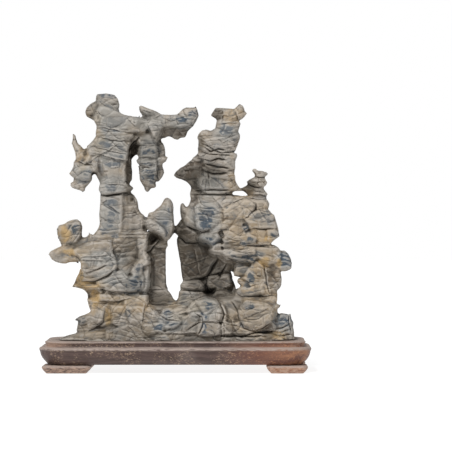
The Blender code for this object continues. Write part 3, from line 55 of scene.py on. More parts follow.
# The photograph's view: the camera is level, and its frame is 198.9 mm wide at the middle of the stone
CAMERA_PLACE = (0.022, -0.950, 0.0634)
CAMERA_LENS = 171.96
SENSOR_WIDTH = 36.0

# Stand
STAND_LENGTH = 118.2 * MM
STAND_DEPTH = 52.0 * MM
STAND_TOP = 13.7 * MM
CORNER_RADIUS = 13.0 * MM
CORNER_STEPS = 14
SIDE_STEPS = {"long": 90, "short": 26}
SHARPEST = 0.2 * MM
# How far the hand-planed stand and its edges waver, and over what length
STAND_WOBBLE = 0.28 * MM
WAVE_SPAN = 14.0 * MM
NICK_DEPTH = 0.12 * MM
NICK_SPAN = 2.4 * MM
# Height of each ring of the moulding above the surface, and how far it lies inside the longest ring, in mm
MOULDING = [
    (3.7, 3.8), (4.0, 3.45), (4.7, 2.8), (5.5, 2.05), (6.4, 1.35), (7.4, 0.85), (8.4, 0.5), (9.0, 0.42),
    (9.4, 0.3), (9.8, 0.08), (10.2, 0.0), (10.6, 0.1), (10.95, 0.45), (11.1, 0.9), (11.1, 1.7), (11.1, 2.4),
    (11.3, 2.75), (11.8, 2.95), (12.4, 2.9), (12.9, 2.65), (13.2, 2.5), (13.5, 2.65), (13.65, 2.95),
    (13.7, 3.4),
]
# Height of each ring of a foot, and how far it lies inside the foot's outline, in mm
FOOT_PROFILE = [
    (0.0, 2.1), (0.2, 1.75), (0.5, 1.5), (1.0, 0.95), (1.6, 0.5), (2.1, 0.15), (2.6, 0.0), (2.9, 0.05),
    (3.15, 0.25), (3.35, 0.6), (3.4, 0.8),
]
FOOT_LENGTHS = {"left": 21.2 * MM, "right": 17.8 * MM}
FOOT_DEPTH = 18.0 * MM
FOOT_INSET = 1.8 * MM
FOOT_CORNER_RADIUS = 3.0 * MM

# Socket in the stand, as seen from above, in mm
SOCKET_OUTLINE = [
    (-51.0, -4), (-48.5, -10), (-42, -14.5), (-31, -17), (-15, -18.6), (0, -19), (15, -19.2), (29, -18.6),
    (41, -16.6), (50, -12), (52.6, -4), (51, 5), (45, 11.5), (32, 14.8), (15, 16.2), (0, 15.8), (-15, 15.6),
    (-30, 13.8), (-43, 10.6), (-50, 4),
]
SOCKET_FLOOR = 11.3 * MM
# How far the rock's root stays clear of the socket's walls and floor and of the stand's top
SEAT_GAP = 0.35 * MM

# The outlines were drawn as they look from this far in front of this point of the rock's middle plane, in mm
EYE_DISTANCE = 950.0
EYE_X = 22.0
EYE_Z = 63.4

# Big outlines that fill the rock behind its blocks: face depth, back depth, outline in mm
CORES = {
    "trunk_core": (4.5, 4.5, [
        (-34, 120.3), (-27, 120.2), (-25.9, 115.5), (-24, 112.3), (-13, 110.3), (-12, 104),
        (-16.8, 103), (-19.5, 98), (-20.4, 91), (-20.4, 84), (-20.8, 79), (-18, 76), (-17.4, 70.5),
        (-14.5, 68), (-12.8, 66), (-13, 57), (-37, 58.6), (-34.2, 62), (-33, 64), (-32.8, 80),
        (-33, 83), (-34.5, 87.5), (-36.5, 92), (-37.5, 97.5), (-34.4, 101.8), (-34, 106.5),
        (-36.3, 110.7), (-38.6, 113.3), (-36, 116.4), (-34.3, 118),
    ]),
    "arm_core": (2.5, 3.5, [
        (-14, 111), (-6, 111.5), (1.5, 112), (4.5, 114.6), (8.6, 114.6), (9, 111.5), (4.5, 106),
        (3, 103.2), (-3, 103.8), (-6.5, 102.3), (-14, 103),
    ]),
    "pendant_core": (3.2, 3.5, [
        (-15.5, 104), (-7, 103.5), (-6.2, 98), (-6, 88), (-8.2, 84), (-9.6, 82), (-13, 80.4),
        (-15.2, 84.5), (-15.7, 92), (-16.2, 97),
    ]),
    "lobe_core": (3.2, 3.0, [
        (-44, 91), (-36, 92.5), (-33, 89.5), (-36, 86.5), (-38, 84), (-40.7, 80.6), (-45, 81.5),
        (-43.8, 84), (-45.8, 86.5),
    ]),
    "left_core": (7.0, 9.0, [
        (-41, 54.8), (-36, 58), (-13, 60), (-12.7, 29), (-37.5, 29), (-38, 34), (-43.8, 37.4),
        (-41.2, 43.5), (-41.2, 48.3),
    ]),
    "column_core": (0.5, 9.0, [
        (-14, 60), (-3, 61.5), (-2.2, 59.5), (-4.8, 56.5), (-4.9, 52), (-5, 37.4), (-4.3, 35.6),
        (-1.8, 31.8), (0.5, 29.4), (0.5, 26), (-14, 26),
    ]),
    "shelf_core": (3.5, 4.5, [
        (-54.2, 51), (-50, 53.6), (-42, 56.2), (-38, 58.2), (-34, 57.5), (-36, 48.5), (-41.5, 48.4),
        (-48, 48.4), (-53.5, 49.2),
    ]),
    "base_core": (11.0, 14.5, [
        (-42.7, 16.6), (-42.3, 21.2), (-37.3, 25), (-37.6, 30), (-14, 33), (-12, 28.5), (-4, 28.2),
        (2, 29.2), (6, 30.6), (25, 32.6), (43, 32), (43.4, 25), (43.2, 21.6), (49.8, 21), (51, 14),
        (-48.5, 14),
    ]),
    "wall_core": (0.8, 8.0, [
        (1.4, 58), (4, 62.5), (9, 61), (24, 58), (24.4, 48), (23.8, 42), (25, 37), (26, 31),
        (2.0, 29.6), (2.2, 34.5), (3.4, 39.7), (2.9, 44), (2.4, 50), (1.4, 55),
    ]),
    "body_core": (6.0, 9.0, [
        (8, 72.4), (11, 76.2), (24, 76.2), (33, 74.8), (39.6, 74), (40, 71.5), (41, 69), (43, 64),
        (44.3, 60), (42.3, 57.6), (41.5, 55.2), (44.5, 52.4), (49.3, 49), (49.3, 45), (45.6, 44.8),
        (45.3, 42), (45.5, 38), (43.5, 35), (43.6, 30.5), (28, 30.5), (27.4, 34.2), (30.3, 36.8),
        (31.6, 40.6), (29.5, 42.2), (26.5, 43), (26.3, 46), (24.8, 50), (20, 52), (17, 57), (11.4, 60),
        (9.4, 64), (8.6, 68),
    ]),
    "head_core": (4.8, 6.5, [
        (6.8, 74), (7, 76.5), (7.3, 80), (5.5, 83), (1.2, 85.8), (4.6, 89), (10.4, 93.8), (10.7, 100),
        (10.3, 102.4), (12, 104.7), (15.8, 104.4), (18.5, 107), (18.6, 110.4), (17, 112), (18, 114.2),
        (26.4, 114), (27.8, 115.6), (28.8, 113), (27.5, 109.5), (26.4, 104), (26.8, 101.5), (25, 96.2),
        (25, 87), (26.6, 80.2), (25, 79), (24, 75.6),
    ]),
    "pagoda_core": (2.6, 2.6, [
        (29, 79.7), (31.6, 80.4), (32.6, 83), (35.3, 84.4), (35.6, 86.9), (38.6, 86.4), (38.3, 84),
        (39, 82.5), (37.4, 80.3), (38.6, 77.5), (38.6, 74.4), (33.5, 74.6), (32.7, 77), (30.9, 78.8),
    ]),
}

# The stone's visible blocks: face depth, back depth, how far the face is domed, how fast the face recedes
# upwards and to the right, and the outline in mm
BLOCKS = {
    # Left tower, head and trunk
    "crown": (7, 6, 3, 0.1, 0, [
        (-34.7, 121.2), (-30.5, 121.6), (-27, 120.9), (-25.7, 119.3), (-25, 116.8), (-25.3, 114.9),
        (-28, 113.5), (-32, 114.5), (-35, 117.6), (-35.1, 119.8),
    ]),
    "beak": (4.5, 4.5, 2, -0.1, -0.3, [
        (-35.3, 118.2), (-37.5, 117), (-39.2, 115.2), (-39.8, 113.4), (-39.2, 111.6), (-37.8, 110.9),
        (-35.6, 109.6), (-32.5, 110.5), (-31, 114), (-33, 118),
    ]),
    "neck": (8.2, 7, 2, 0.05, 0.05, [
        (-34, 116), (-29, 116), (-25.7, 114.2), (-24.5, 113), (-22, 112), (-18, 111.4), (-15, 111),
        (-12, 109), (-13, 105.5), (-17, 104.8), (-21, 105.1), (-27, 105.9), (-31, 106.7),
        (-34.7, 107.4), (-36.4, 110.4),
    ]),
    "band_a": (8.7, 6, 1.2, -0.05, 0.05, [
        (-34.8, 106.9), (-31, 106.4), (-25, 105.5), (-19, 104.8), (-18.5, 102.5), (-21, 101),
        (-27, 101.2), (-32, 101.9), (-35, 102.6), (-35.2, 104.5),
    ]),
    "band_b": (8.2, 6, 1.2, 0.05, 0.1, [
        (-35.2, 102.6), (-30, 101.7), (-23, 101.2), (-19.5, 100.4), (-20.5, 97.5), (-21, 95.5),
        (-28, 96.8), (-31, 97.4), (-36, 98.1), (-38.4, 98.9), (-37, 100.2),
    ]),
    "band_c": (8.8, 6.5, 1.2, 0, 0.05, [
        (-38.8, 98.7), (-33, 97.7), (-29.5, 96.9), (-24, 95.6), (-20.8, 95.4), (-21, 92.3), (-26, 92.4),
        (-30, 93.3), (-34, 94.5), (-38.6, 95), (-39.4, 96.6),
    ]),
    "trunk_mid": (8, 7, 1.6, 0.05, 0.1, [
        (-36.8, 94), (-33.5, 94.8), (-29, 93.5), (-25, 92.4), (-21.8, 92.1), (-22.2, 88), (-21.8, 84),
        (-22, 82.3), (-27, 81.9), (-33.2, 82.2), (-34, 84), (-35.2, 86), (-36.5, 88), (-37.2, 91),
    ]),
    "trunk_flank": (4.5, 6, 1.2, 0, 0.3, [
        (-23.5, 94), (-20.1, 93.2), (-19.6, 92), (-19.7, 89.5), (-19.4, 87.5), (-19.5, 83.8),
        (-20.7, 82.2), (-23.5, 82),
    ]),
    "collar": (8.4, 6.5, 1.5, -0.05, 0.05, [
        (-33.3, 82), (-27, 81.8), (-21.5, 81.9), (-19.8, 81), (-18.8, 80), (-19.7, 79), (-20.5, 78.4),
        (-26, 77.8), (-31, 77.2), (-33, 77.7), (-33.9, 79.4),
    ]),
    "trunk_fill": (
        6.2, 7, 1.2, 0, 0,
        [(-24.6, 77.2), (-24.8, 66), (-24.2, 58.5), (-20.6, 59), (-20.4, 68), (-20.2, 77.6)],
    ),
    "trunk_low": (7.6, 8, 2.2, 0, 0, [
        (-33.1, 77), (-29, 76.9), (-23.5, 77.6), (-23.2, 70), (-23.6, 63), (-24.5, 58.3), (-29, 57.2),
        (-34, 57.4), (-37, 58.8), (-35.5, 60.1), (-34.2, 62), (-33.4, 64), (-33.6, 69), (-33.1, 74),
    ]),
    "trunk_rib": (6.6, 7, 2.4, 0, 0.12, [
        (-21.8, 77.5), (-20.4, 78.3), (-18.5, 76.8), (-17.2, 74.8), (-16.8, 72.5), (-16.6, 70.8),
        (-15.5, 69), (-14.2, 68.1), (-13.8, 65), (-14.4, 60.8), (-21.4, 60.2), (-21.2, 68),
    ]),
    # Shoulder, horn and the arm that reaches right
    "shoulder": (8.4, 6, 1.2, 0.1, 0, [
        (-21.5, 110), (-15, 110.5), (-12.8, 109.6), (-11.8, 107), (-14, 105), (-18, 104.6),
        (-20.5, 105), (-22, 107.5),
    ]),
    "shoulder_under": (5.8, 5, 1.2, -0.3, 0, [
        (-24, 104), (-19, 105), (-13.5, 105), (-14, 102.8), (-17.5, 100.8), (-21, 100.5),
    ]),
    "recess_link": (0.5, 5, 1, 0, 0, [
        (-21, 103), (-13, 104), (-14.5, 98), (-16.6, 96), (-17.1, 95), (-18.4, 94.4), (-19.6, 92.8),
        (-21, 92.5),
    ]),
    "horn": (3.6, 3.4, 1.4, 0.1, 0, [
        (-16.2, 116.0), (-15.4, 116.3), (-12, 115), (-8.5, 113.6), (-6.4, 112.3), (-8, 110.5),
        (-12, 109.8), (-14.9, 110), (-14.7, 112.2), (-15.9, 113.8),
    ]),
    "arm_root": (8, 4.5, 2, 0.1, 0.1, [
        (-12.3, 109.6), (-10, 110.6), (-6.5, 109.5), (-5.7, 107), (-6.3, 104), (-7.2, 101.8),
        (-8.6, 100.2), (-9.8, 101.8), (-11, 104.5), (-12.6, 107),
    ]),
    "arm_bar": (6.2, 5, 1.6, 0.35, 0, [
        (-13, 110.9), (-6, 112.3), (-2, 112.1), (1, 112.4), (4, 113), (6.2, 110.4), (6.2, 107.6),
        (2, 106.6), (-3, 106.8), (-8, 107),
    ]),
    "arm_tip": (7.2, 5.5, 2, 0.05, 0.1, [
        (1.3, 113), (3.0, 114.8), (4.6, 115.5), (9.1, 115.3), (9.9, 112), (8.9, 109.8), (7.2, 107),
        (5.4, 107.3), (4.6, 110.6), (2.5, 111.8),
    ]),
    "arm_belly": (3.8, 4.5, 1.8, -0.55, 0, [
        (-6.2, 107.5), (0, 107), (6.2, 108.3), (7, 107), (5, 105.1), (4.3, 103.1), (3.7, 102.4),
        (2, 102.4), (0.8, 101.4), (-0.8, 101.8), (-2, 102.7), (-3.6, 103), (-5, 102.2), (-7, 102),
    ]),
    # Hanging lobe under the shoulder
    "pendant_neck": (6.4, 4, 1.4, 0.1, 0, [
        (-16.5, 103.4), (-12, 104.5), (-9.3, 102.4), (-8.4, 100.2), (-8.5, 98), (-15.5, 98),
        (-17.3, 100.5),
    ]),
    "pendant_head": (8.8, 5, 2.6, 0, 0, [
        (-16.2, 98.2), (-13, 99.3), (-9, 99.1), (-7.8, 97.5), (-7.9, 94.6), (-9, 93), (-13, 92.8),
        (-16, 93), (-16.9, 95),
    ]),
    "pendant_side": (5, 5, 1.2, 0, 0.15, [
        (-8.8, 101), (-5.9, 99.9), (-5.1, 98), (-4.8, 95.5), (-5, 94), (-3.7, 93.6), (-4.4, 92.2),
        (-6, 91.1), (-6.4, 90), (-5.7, 88.6), (-5.3, 87), (-6, 85.3), (-7, 83.9), (-7.9, 82.9),
        (-8.9, 83.5), (-9.3, 90),
    ]),
    "pendant_stub": (7, 3, 1.2, 0, 0.1, [
        (-8.7, 93.6), (-5.6, 93.7), (-4.1, 93.2), (-4.5, 91.9), (-6, 91), (-7.2, 90), (-8.5, 90.8),
    ]),
    "pendant_ledge_1": (8.8, 5, 1, 0, 0, [
        (-17.5, 92), (-16.5, 92.9), (-12, 92.7), (-8.7, 92.2), (-8.6, 90.4), (-13, 89.9), (-16.1, 90.3),
    ]),
    "pendant_ledge_2": (8.4, 5, 1, 0.05, 0, [
        (-16, 89.4), (-12, 89.2), (-8.3, 89.8), (-7.8, 87.8), (-8.3, 86.2), (-12, 86), (-16, 86.2),
        (-16.4, 87.4),
    ]),
    "pendant_tip": (7, 4.5, 1.6, -0.2, 0, [
        (-16, 86.8), (-12, 86.2), (-8.8, 86.8), (-8.6, 84), (-9.2, 82.3), (-8.8, 80.9), (-9.4, 80.3),
        (-11.3, 80.1), (-11.9, 78.9), (-12.6, 78.4), (-13.5, 79), (-13.8, 80.4), (-14.9, 82),
        (-15.9, 83.8),
    ]),
    # Spike and hand on the left
    "spike": (3, 3, 1.6, 0.05, -0.1, [
        (-45.2, 103.7), (-44.6, 103.7), (-43.9, 101.5), (-43.4, 99.8), (-41.9, 98.6), (-40.8, 97.2),
        (-39.8, 96.8), (-38.6, 96.5), (-39.5, 93), (-41.5, 90.5), (-44, 91.2), (-43.9, 94), (-44.3, 96),
        (-45.1, 98.2), (-45.7, 99.4), (-45.3, 101.2),
    ]),
    "spike_web": (2, 4, 0.8, 0, 0, [
        (-41, 97), (-38.5, 97.5), (-36, 95.5), (-36.5, 90), (-40.5, 90), (-42.5, 92),
    ]),
    "thumb": (7.4, 5, 1.2, -0.15, 0.1, [
        (-38.8, 95.2), (-35.5, 95), (-33.5, 94.6), (-36, 92.4), (-38.5, 90.8), (-40.3, 91.2),
        (-39.6, 93.4),
    ]),
    "lobe": (7, 5.5, 2.4, 0.05, -0.1, [
        (-44.6, 92), (-43, 91.1), (-40, 90.6), (-37, 90.6), (-34, 91.3), (-33.4, 89), (-35.8, 87.4),
        (-37, 85.8), (-37.1, 84), (-39, 82.9), (-41, 83.2), (-44.5, 84.4), (-46, 85.4), (-46.8, 86.4),
        (-46, 87.7), (-45.2, 89), (-44.9, 90.6),
    ]),
    "hand": (5.4, 4.5, 1.6, 0.1, -0.05, [
        (-44.8, 84.7), (-41, 84), (-37.1, 84.8), (-37.1, 83.7), (-38.4, 82), (-39.5, 80.9), (-40.2, 80),
        (-40.2, 79), (-41, 78.6), (-42.5, 79.3), (-44, 79.7), (-45.5, 80.2), (-46.5, 81.3), (-46, 82.3),
        (-45, 83),
    ]),
    # Wing that stands between the towers
    "wing": (8, 4.5, 2.2, 0.05, 0.05, [
        (-4.9, 75.4), (-3.8, 75.9), (-2.3, 74.9), (-1.5, 73.4), (-1.2, 71.5), (-1.3, 69.5),
        (-1.1, 66.5), (-0.9, 64), (-0.7, 62.3), (-1.2, 60.8), (-1.4, 59.2), (-2.5, 58), (-4, 56.9),
        (-5.4, 57.4), (-6, 59), (-9, 61), (-12, 63.6), (-13.4, 65), (-12.5, 67.3), (-11.8, 69.1),
        (-9.8, 69.6), (-8.3, 71), (-6.8, 72.1), (-5.6, 74),
    ]),
    "wing_slab": (10.6, 2, 1.2, 0.1, -0.1, [
        (-13.4, 65.6), (-11.8, 66.4), (-9.5, 65.4), (-5.3, 62), (-4.4, 60), (-5.4, 58.3), (-8, 59.8),
        (-11.5, 61.5), (-13.2, 63.8),
    ]),
    # Boulder and shelf on the left
    "shelf_boulder": (5.4, 5, 2.6, 0.05, -0.05, [
        (-51.3, 63.8), (-49.3, 64.1), (-47.5, 65.4), (-45.5, 66.1), (-43.6, 66.3), (-42, 65.1),
        (-41.3, 63), (-41.6, 60.5), (-41.5, 58.8), (-42.8, 56.6), (-44, 55), (-47, 54), (-49.6, 54.2),
        (-51, 56.5), (-51.9, 58.6), (-52.3, 61), (-52, 62.8),
    ]),
    "shelf": (6.8, 6, 2.2, 0.35, -0.1, [
        (-55.9, 51), (-55.1, 52.2), (-53, 53.3), (-50, 54.6), (-45, 55.6), (-41.5, 57.2), (-39.5, 58.2),
        (-38.6, 59), (-38, 60.2), (-37.3, 59.6), (-35, 58.6), (-33, 55), (-34, 49.6), (-41.8, 47.9),
        (-44, 47.6), (-47, 47.6), (-48.5, 46.9), (-50.5, 47), (-53, 47.7), (-54.7, 48.8), (-55.3, 50),
    ]),
    "shelf_crumb": (4, 4, 1, 0, 0, [
        (-42.8, 57), (-41.5, 58.3), (-39.8, 58.3), (-38.7, 59), (-38, 60.2), (-37.3, 59.2),
        (-36.5, 57.4), (-40, 56),
    ]),
    # Slabs and folds of the left mass
    "slab_1": (10, 9, 1.2, 0.25, -0.05, [
        (-43, 54.4), (-40, 55.8), (-36, 56.6), (-28.5, 57.2), (-28, 54), (-27.7, 51.1), (-34, 50.6),
        (-40, 50.3), (-45, 50.6), (-45.4, 52.5),
    ]),
    "slab_2": (11.2, 9, 1, 0.1, -0.05, [
        (-42.5, 50), (-36, 50.4), (-27, 51), (-26.3, 48.4), (-32, 47.6), (-38, 46.9), (-41.8, 46.9),
    ]),
    "slab_3": (11.6, 9, 1, 0.1, -0.1, [
        (-41.8, 46.6), (-37, 46.9), (-32, 47.5), (-26.3, 48.2), (-25.9, 45.2), (-30, 43.7), (-35, 42.6),
        (-39.8, 42.2), (-41.6, 43.5),
    ]),
    "slab_4": (12, 9, 1.2, -0.05, -0.1, [
        (-41.5, 42.6), (-38.5, 42.5), (-33, 44), (-26.3, 45.9), (-26.8, 43.3), (-31, 41), (-35, 39.3),
        (-38, 38.8), (-41.3, 39),
    ]),
    "flank": (6, 8, 2, 0, -0.4, [
        (-41.9, 47.6), (-41.7, 45), (-42.4, 43), (-43.7, 40.5), (-44.4, 38.5), (-45.2, 36.8),
        (-41.5, 35.9), (-39, 38), (-39.8, 46),
    ]),
    "ochre_wedge": (10.4, 8, 1.4, 0.3, -0.1, [
        (-45.2, 36.9), (-43.5, 38.3), (-40, 38.7), (-36, 38.4), (-31.5, 39.2), (-30, 37), (-33, 35.4),
        (-38, 35.5), (-42, 36),
    ]),
    "fold_1": (12.2, 8, 1.4, 0.25, 0, [
        (-35, 38.8), (-31, 41.1), (-27, 43.6), (-24.5, 44), (-22.6, 42.6), (-21, 41), (-22, 39),
        (-25, 37), (-30, 36.2), (-33.5, 36.8),
    ]),
    "fold_2": (13.2, 8, 1.6, 0.3, 0, [
        (-31, 36.6), (-26, 37.8), (-22, 39.8), (-20, 41.2), (-17.5, 41.6), (-15.6, 39), (-15.8, 36),
        (-18, 34.5), (-24, 34.2), (-31, 34.7),
    ]),
    "ochre_neck": (6.5, 8, 1.4, -0.1, -0.2, [
        (-40.4, 35.7), (-36, 36.2), (-31, 35.5), (-31, 33.3), (-33.5, 30.9), (-38.5, 31), (-38.7, 33.6),
    ]),
    "strip_1": (11.8, 8, 1, 0.1, 0, [
        (-34.5, 33.4), (-28, 34), (-20, 34), (-16.3, 33.8), (-17, 32), (-22, 30.9), (-29, 30.2),
        (-34, 31),
    ]),
    "strip_2": (10.4, 9, 1, 0.15, -0.1, [
        (-38.9, 31.2), (-33, 31), (-28, 30.6), (-22, 31), (-22.5, 29.4), (-28, 28.8), (-34, 28.8),
        (-38.4, 29.2),
    ]),
    "left_waist": (9, 9, 1.4, 0.1, -0.2, [
        (-38.8, 30.4), (-34, 30.2), (-31, 28.6), (-31.4, 26), (-35, 24.6), (-37.3, 25.8), (-38.2, 28),
    ]),
    "niche_wall": (7.8, 8, 1, 0, 0.05, [
        (-28.6, 57.3), (-21, 58.8), (-20.3, 55), (-20.8, 51), (-24, 48.3), (-27.2, 48.8), (-28, 53),
    ]),
    "band_under_rib": (7.4, 8, 1, 0.1, 0, [
        (-25, 60.4), (-20, 60.6), (-14, 61), (-11.5, 60.4), (-12.3, 57.8), (-17, 57.6), (-25, 58.3),
    ]),
    "pale_block": (9.6, 8, 1.2, 0.15, 0, [
        (-16.7, 57.6), (-12.4, 57.8), (-12.4, 54), (-14, 51.8), (-16, 51.8), (-16.9, 54.5),
    ]),
    "brown_block": (7.8, 8, 1, 0.1, 0, [
        (-21.3, 58), (-16.4, 57.6), (-16.4, 52), (-18, 49.8), (-21.3, 50.3),
    ]),
    "lean_fold": (10, 8, 1.2, 0.1, 0.1, [
        (-24.5, 49.2), (-20, 50), (-16.6, 48.4), (-17.6, 46.6), (-19.4, 44), (-21, 41.6), (-24.4, 43.8),
        (-26.6, 46),
    ]),
    "pale_ridge": (12.4, 6, 1.4, 0.2, -0.1, [
        (-16.3, 52.3), (-13.4, 51.8), (-11.5, 49.8), (-11.2, 47), (-14.5, 45.4), (-17.5, 44),
        (-19.4, 44.2), (-18.2, 46.8), (-16.5, 48.2),
    ]),
    "post": (10.4, 8, 1.4, 0, 0.05, [
        (-15.2, 47.2), (-11.4, 47.8), (-11.1, 44), (-11.4, 38), (-12.2, 34.6), (-16, 34.4), (-15.6, 40),
    ]),
    "blue_knob": (12.6, 6, 1.4, 0.1, 0, [
        (-19.5, 44.2), (-16, 46.2), (-14.6, 46), (-14.8, 43), (-16.5, 41.2), (-19, 41.5), (-19.9, 43),
    ]),
    "knuckle": (11.8, 6, 1, 0, 0, [
        (-17, 41.4), (-14.8, 42.8), (-14.2, 40), (-14.6, 36), (-16.4, 34.8), (-17.2, 38),
    ]),
    # Smooth column behind the left mass
    "column": (2.4, 10, 1.4, 0, 0.1, [
        (-13.5, 55), (-8, 55.2), (-4, 54.6), (-4.7, 52.8), (-4.3, 50), (-4.4, 46), (-4.7, 42.5),
        (-4.3, 41), (-4.3, 37), (-3.7, 36), (-5, 35), (-13.5, 35),
    ]),
    "column_cap": (4.2, 8, 1, 0.3, 0, [
        (-9, 57.2), (-5, 57.5), (-3.9, 56.2), (-3.6, 54.6), (-5, 54), (-9.5, 54),
    ]),
    "column_foot": (4.6, 10, 1.4, 0.2, 0, [
        (-13, 35.2), (-4.2, 35.6), (-2.4, 33.6), (-1.2, 31.2), (0.4, 30.2), (1.2, 28.5), (-1, 26.5),
        (-8, 25.5), (-13, 28),
    ]),
    # Base, left to right
    "base_knob": (11, 13, 2.4, 0.1, -0.2, [
        (-44, 22.4), (-42.6, 23.5), (-40, 24.3), (-38, 25.3), (-35, 26.6), (-31.6, 27), (-31.6, 23),
        (-33, 20.3), (-35.5, 18.4), (-38, 17), (-40.2, 16), (-43, 16.3), (-43.7, 17.5), (-43.2, 20),
        (-43, 21.6),
    ]),
    "base_niche": (9.6, 12, 1, 0.1, 0, [
        (-32.4, 28.4), (-29.5, 28.8), (-27.2, 27.8), (-27.6, 22), (-28.6, 18.6), (-34, 18.8),
        (-32.4, 23),
    ]),
    "base_block_1": (13.4, 13, 1.6, 0.15, -0.05, [
        (-28.6, 28.4), (-24, 28.6), (-21.8, 28.1), (-20.8, 23), (-19.3, 20.2), (-24, 18.6),
        (-28.2, 20.2), (-28.8, 24),
    ]),
    "base_block_2": (15, 13, 1.4, 0.15, 0, [
        (-22.2, 28), (-16, 28.2), (-13.7, 27.6), (-13.3, 25), (-14, 21.5), (-14.8, 19.8), (-18.5, 20),
        (-20.7, 20.6),
    ]),
    "base_block_3": (14.2, 13, 1.4, 0.15, 0.1, [
        (-13.5, 26.8), (-11.5, 28), (-8, 25.2), (-6.6, 23), (-7.3, 21.6), (-11, 21), (-14.5, 20.8),
        (-13.8, 24),
    ]),
    "pale_step": (12.4, 10, 1.2, 0.3, 0, [
        (-22.5, 31.4), (-18, 33.2), (-12.2, 33), (-11.9, 29.5), (-13.5, 27.8), (-19, 27.8), (-22.8, 28),
    ]),
    "apron": (14, 12, 1.6, 0.9, 0, [
        (-50.8, 14), (-48, 15.1), (-44, 16.1), (-41, 16.4), (-36, 17.2), (-31, 17.8), (-28.5, 15.2),
        (-28.5, 12), (-51.8, 12),
    ]),
    "rubble_left": (16, 13, 1.2, 0.25, 0, [
        (-31, 17.6), (-26, 18.4), (-22, 19.8), (-17, 20.4), (-14, 19.6), (-13.5, 17), (-14.5, 12),
        (-31, 12),
    ]),
    "pebble_1": (17.2, 4, 1.2, 0.2, 0, [
        (-22.8, 12), (-21.9, 15.8), (-19.5, 16.3), (-18.1, 14), (-18, 12),
    ]),
    "pebble_2": (17.8, 4, 1.4, 0.2, 0, [
        (-9.7, 12), (-9.4, 14.4), (-7.8, 15.5), (-4.5, 15.3), (-2.9, 14), (-2.4, 12),
    ]),
    "toe_left": (16, 13, 1.2, 0.2, 0, [
        (-15, 20), (-9, 20.8), (-6.4, 20.4), (-5.5, 18.5), (-5.3, 16.6), (-9, 16.4), (-14.5, 16.6),
    ]),
    "saddle": (15.4, 12, 1.4, 0.3, 0, [
        (-7.6, 21.8), (-3.5, 23.6), (0, 25), (3.8, 25.3), (4.3, 23.5), (2.5, 21.3), (-1, 18.3),
        (-4.6, 17.6), (-6.5, 19.5),
    ]),
    "blue_oval": (17.4, 6, 1.4, 0.15, 0, [
        (-5, 19.2), (-2.6, 21.4), (1, 22.4), (2.5, 21.6), (1.6, 19.9), (-1.5, 18.1), (-4.2, 18),
    ]),
    "blue_pair_1": (13.6, 10, 1.2, 0.15, 0, [
        (-5.8, 26.8), (-3.5, 27.6), (-1, 26.8), (-0.5, 24.6), (-4, 24.2), (-6, 25.2),
    ]),
    "blue_pair_2": (14.6, 10, 1.2, 0.15, 0, [
        (-6.8, 24.4), (-4, 24.6), (-1.6, 23.6), (-3.5, 22), (-6.4, 22.2),
    ]),
    "saddle_top": (13.6, 11, 1.4, 0.45, 0, [
        (-1, 27), (3, 28.8), (6, 30), (8.4, 29.6), (7, 25.6), (3, 24.3), (-1, 24.6),
    ]),
    "toe_mid": (16.2, 12, 1.2, 0.1, 0, [
        (-4.2, 18), (-1.5, 18.9), (2.9, 21.8), (3.6, 19), (3.2, 15.9), (-1, 15.6), (-4.6, 16),
    ]),
    "tooth": (16.8, 12, 1.4, 0.15, 0, [
        (2.9, 23.4), (6, 24.4), (9.7, 22.8), (10, 19), (9.2, 15.6), (3, 15.8), (2.9, 19.5),
    ]),
    "tooth_fill": (
        15.8, 10, 1, 0, 0,
        [(8, 25), (12.4, 25.4), (12.6, 20.2), (9, 20), (8, 22)],
    ),
    "brow": (16, 12, 1.6, 0.3, 0, [
        (4.2, 25.6), (7.3, 30.1), (10.5, 32), (14.8, 32), (15, 29.5), (12.4, 26), (11.6, 23.6), (7, 24),
    ]),
    "dome": (18, 13, 2.2, 0.1, 0.05, [
        (8.4, 30.8), (12, 32.3), (15, 32.2), (18.1, 30.9), (18.9, 29), (18.2, 26.8), (13, 23.8),
        (11.6, 25.4), (10, 28),
    ]),
    "block_r1": (18, 13, 1.4, 0.1, 0, [
        (11.3, 23.9), (15, 25.5), (18.6, 27.4), (19.8, 26), (19.7, 22.3), (18, 20.8), (12, 20.8),
        (11.1, 22.3),
    ]),
    "block_r2": (18, 13, 1.4, 0.05, 0, [
        (9.6, 20.2), (11, 21.2), (18.5, 21), (19.8, 19.5), (19.5, 14.8), (12, 14.8), (9.3, 15.3),
        (9.2, 18),
    ]),
    "sliver": (16.4, 12, 1, 0, 0, [
        (19, 29.6), (20.8, 28.4), (22.3, 25.2), (22.3, 22.4), (20.5, 20.6), (19.6, 23),
    ]),
    "block_r3": (16.8, 12, 1.2, 0, 0, [
        (20.2, 21), (22, 21.3), (24.2, 20.2), (24.6, 17), (24.2, 14.8), (20.4, 14.8),
    ]),
    "footing": (16.4, 13.5, 0.8, 0.2, 0, [
        (-15, 16.8), (-3, 16.2), (8, 16), (15, 15.2), (25, 15), (36, 16), (44, 15.5), (48, 13.5),
        (47, 12), (-15, 12),
    ]),
    "wall_right": (13.6, 13, 2, 0.1, 0, [
        (18.8, 31.5), (24, 31.2), (26, 32.4), (32, 31.8), (36, 31.2), (40, 32.2), (43.8, 32.6),
        (44.4, 30.5), (44, 29.2), (45.6, 28.4), (45.3, 27.6), (44.3, 26.8), (44.7, 25.5), (43.5, 22.5),
        (42, 20.5), (38, 20), (30, 20), (25, 20), (22, 21.6), (19.4, 28),
    ]),
    "belly": (17.2, 12, 4, -0.12, 0, [
        (27.2, 25.5), (28.6, 28.8), (31, 30.8), (36, 30.4), (40.5, 29.2), (43, 27), (43.4, 24.2), (43, 21.3),
        (40.2, 18.8), (36, 16.8), (33, 16.8), (30.3, 18), (28, 20.6),
    ]),
    "chin": (15.8, 12, 1, -0.1, 0, [
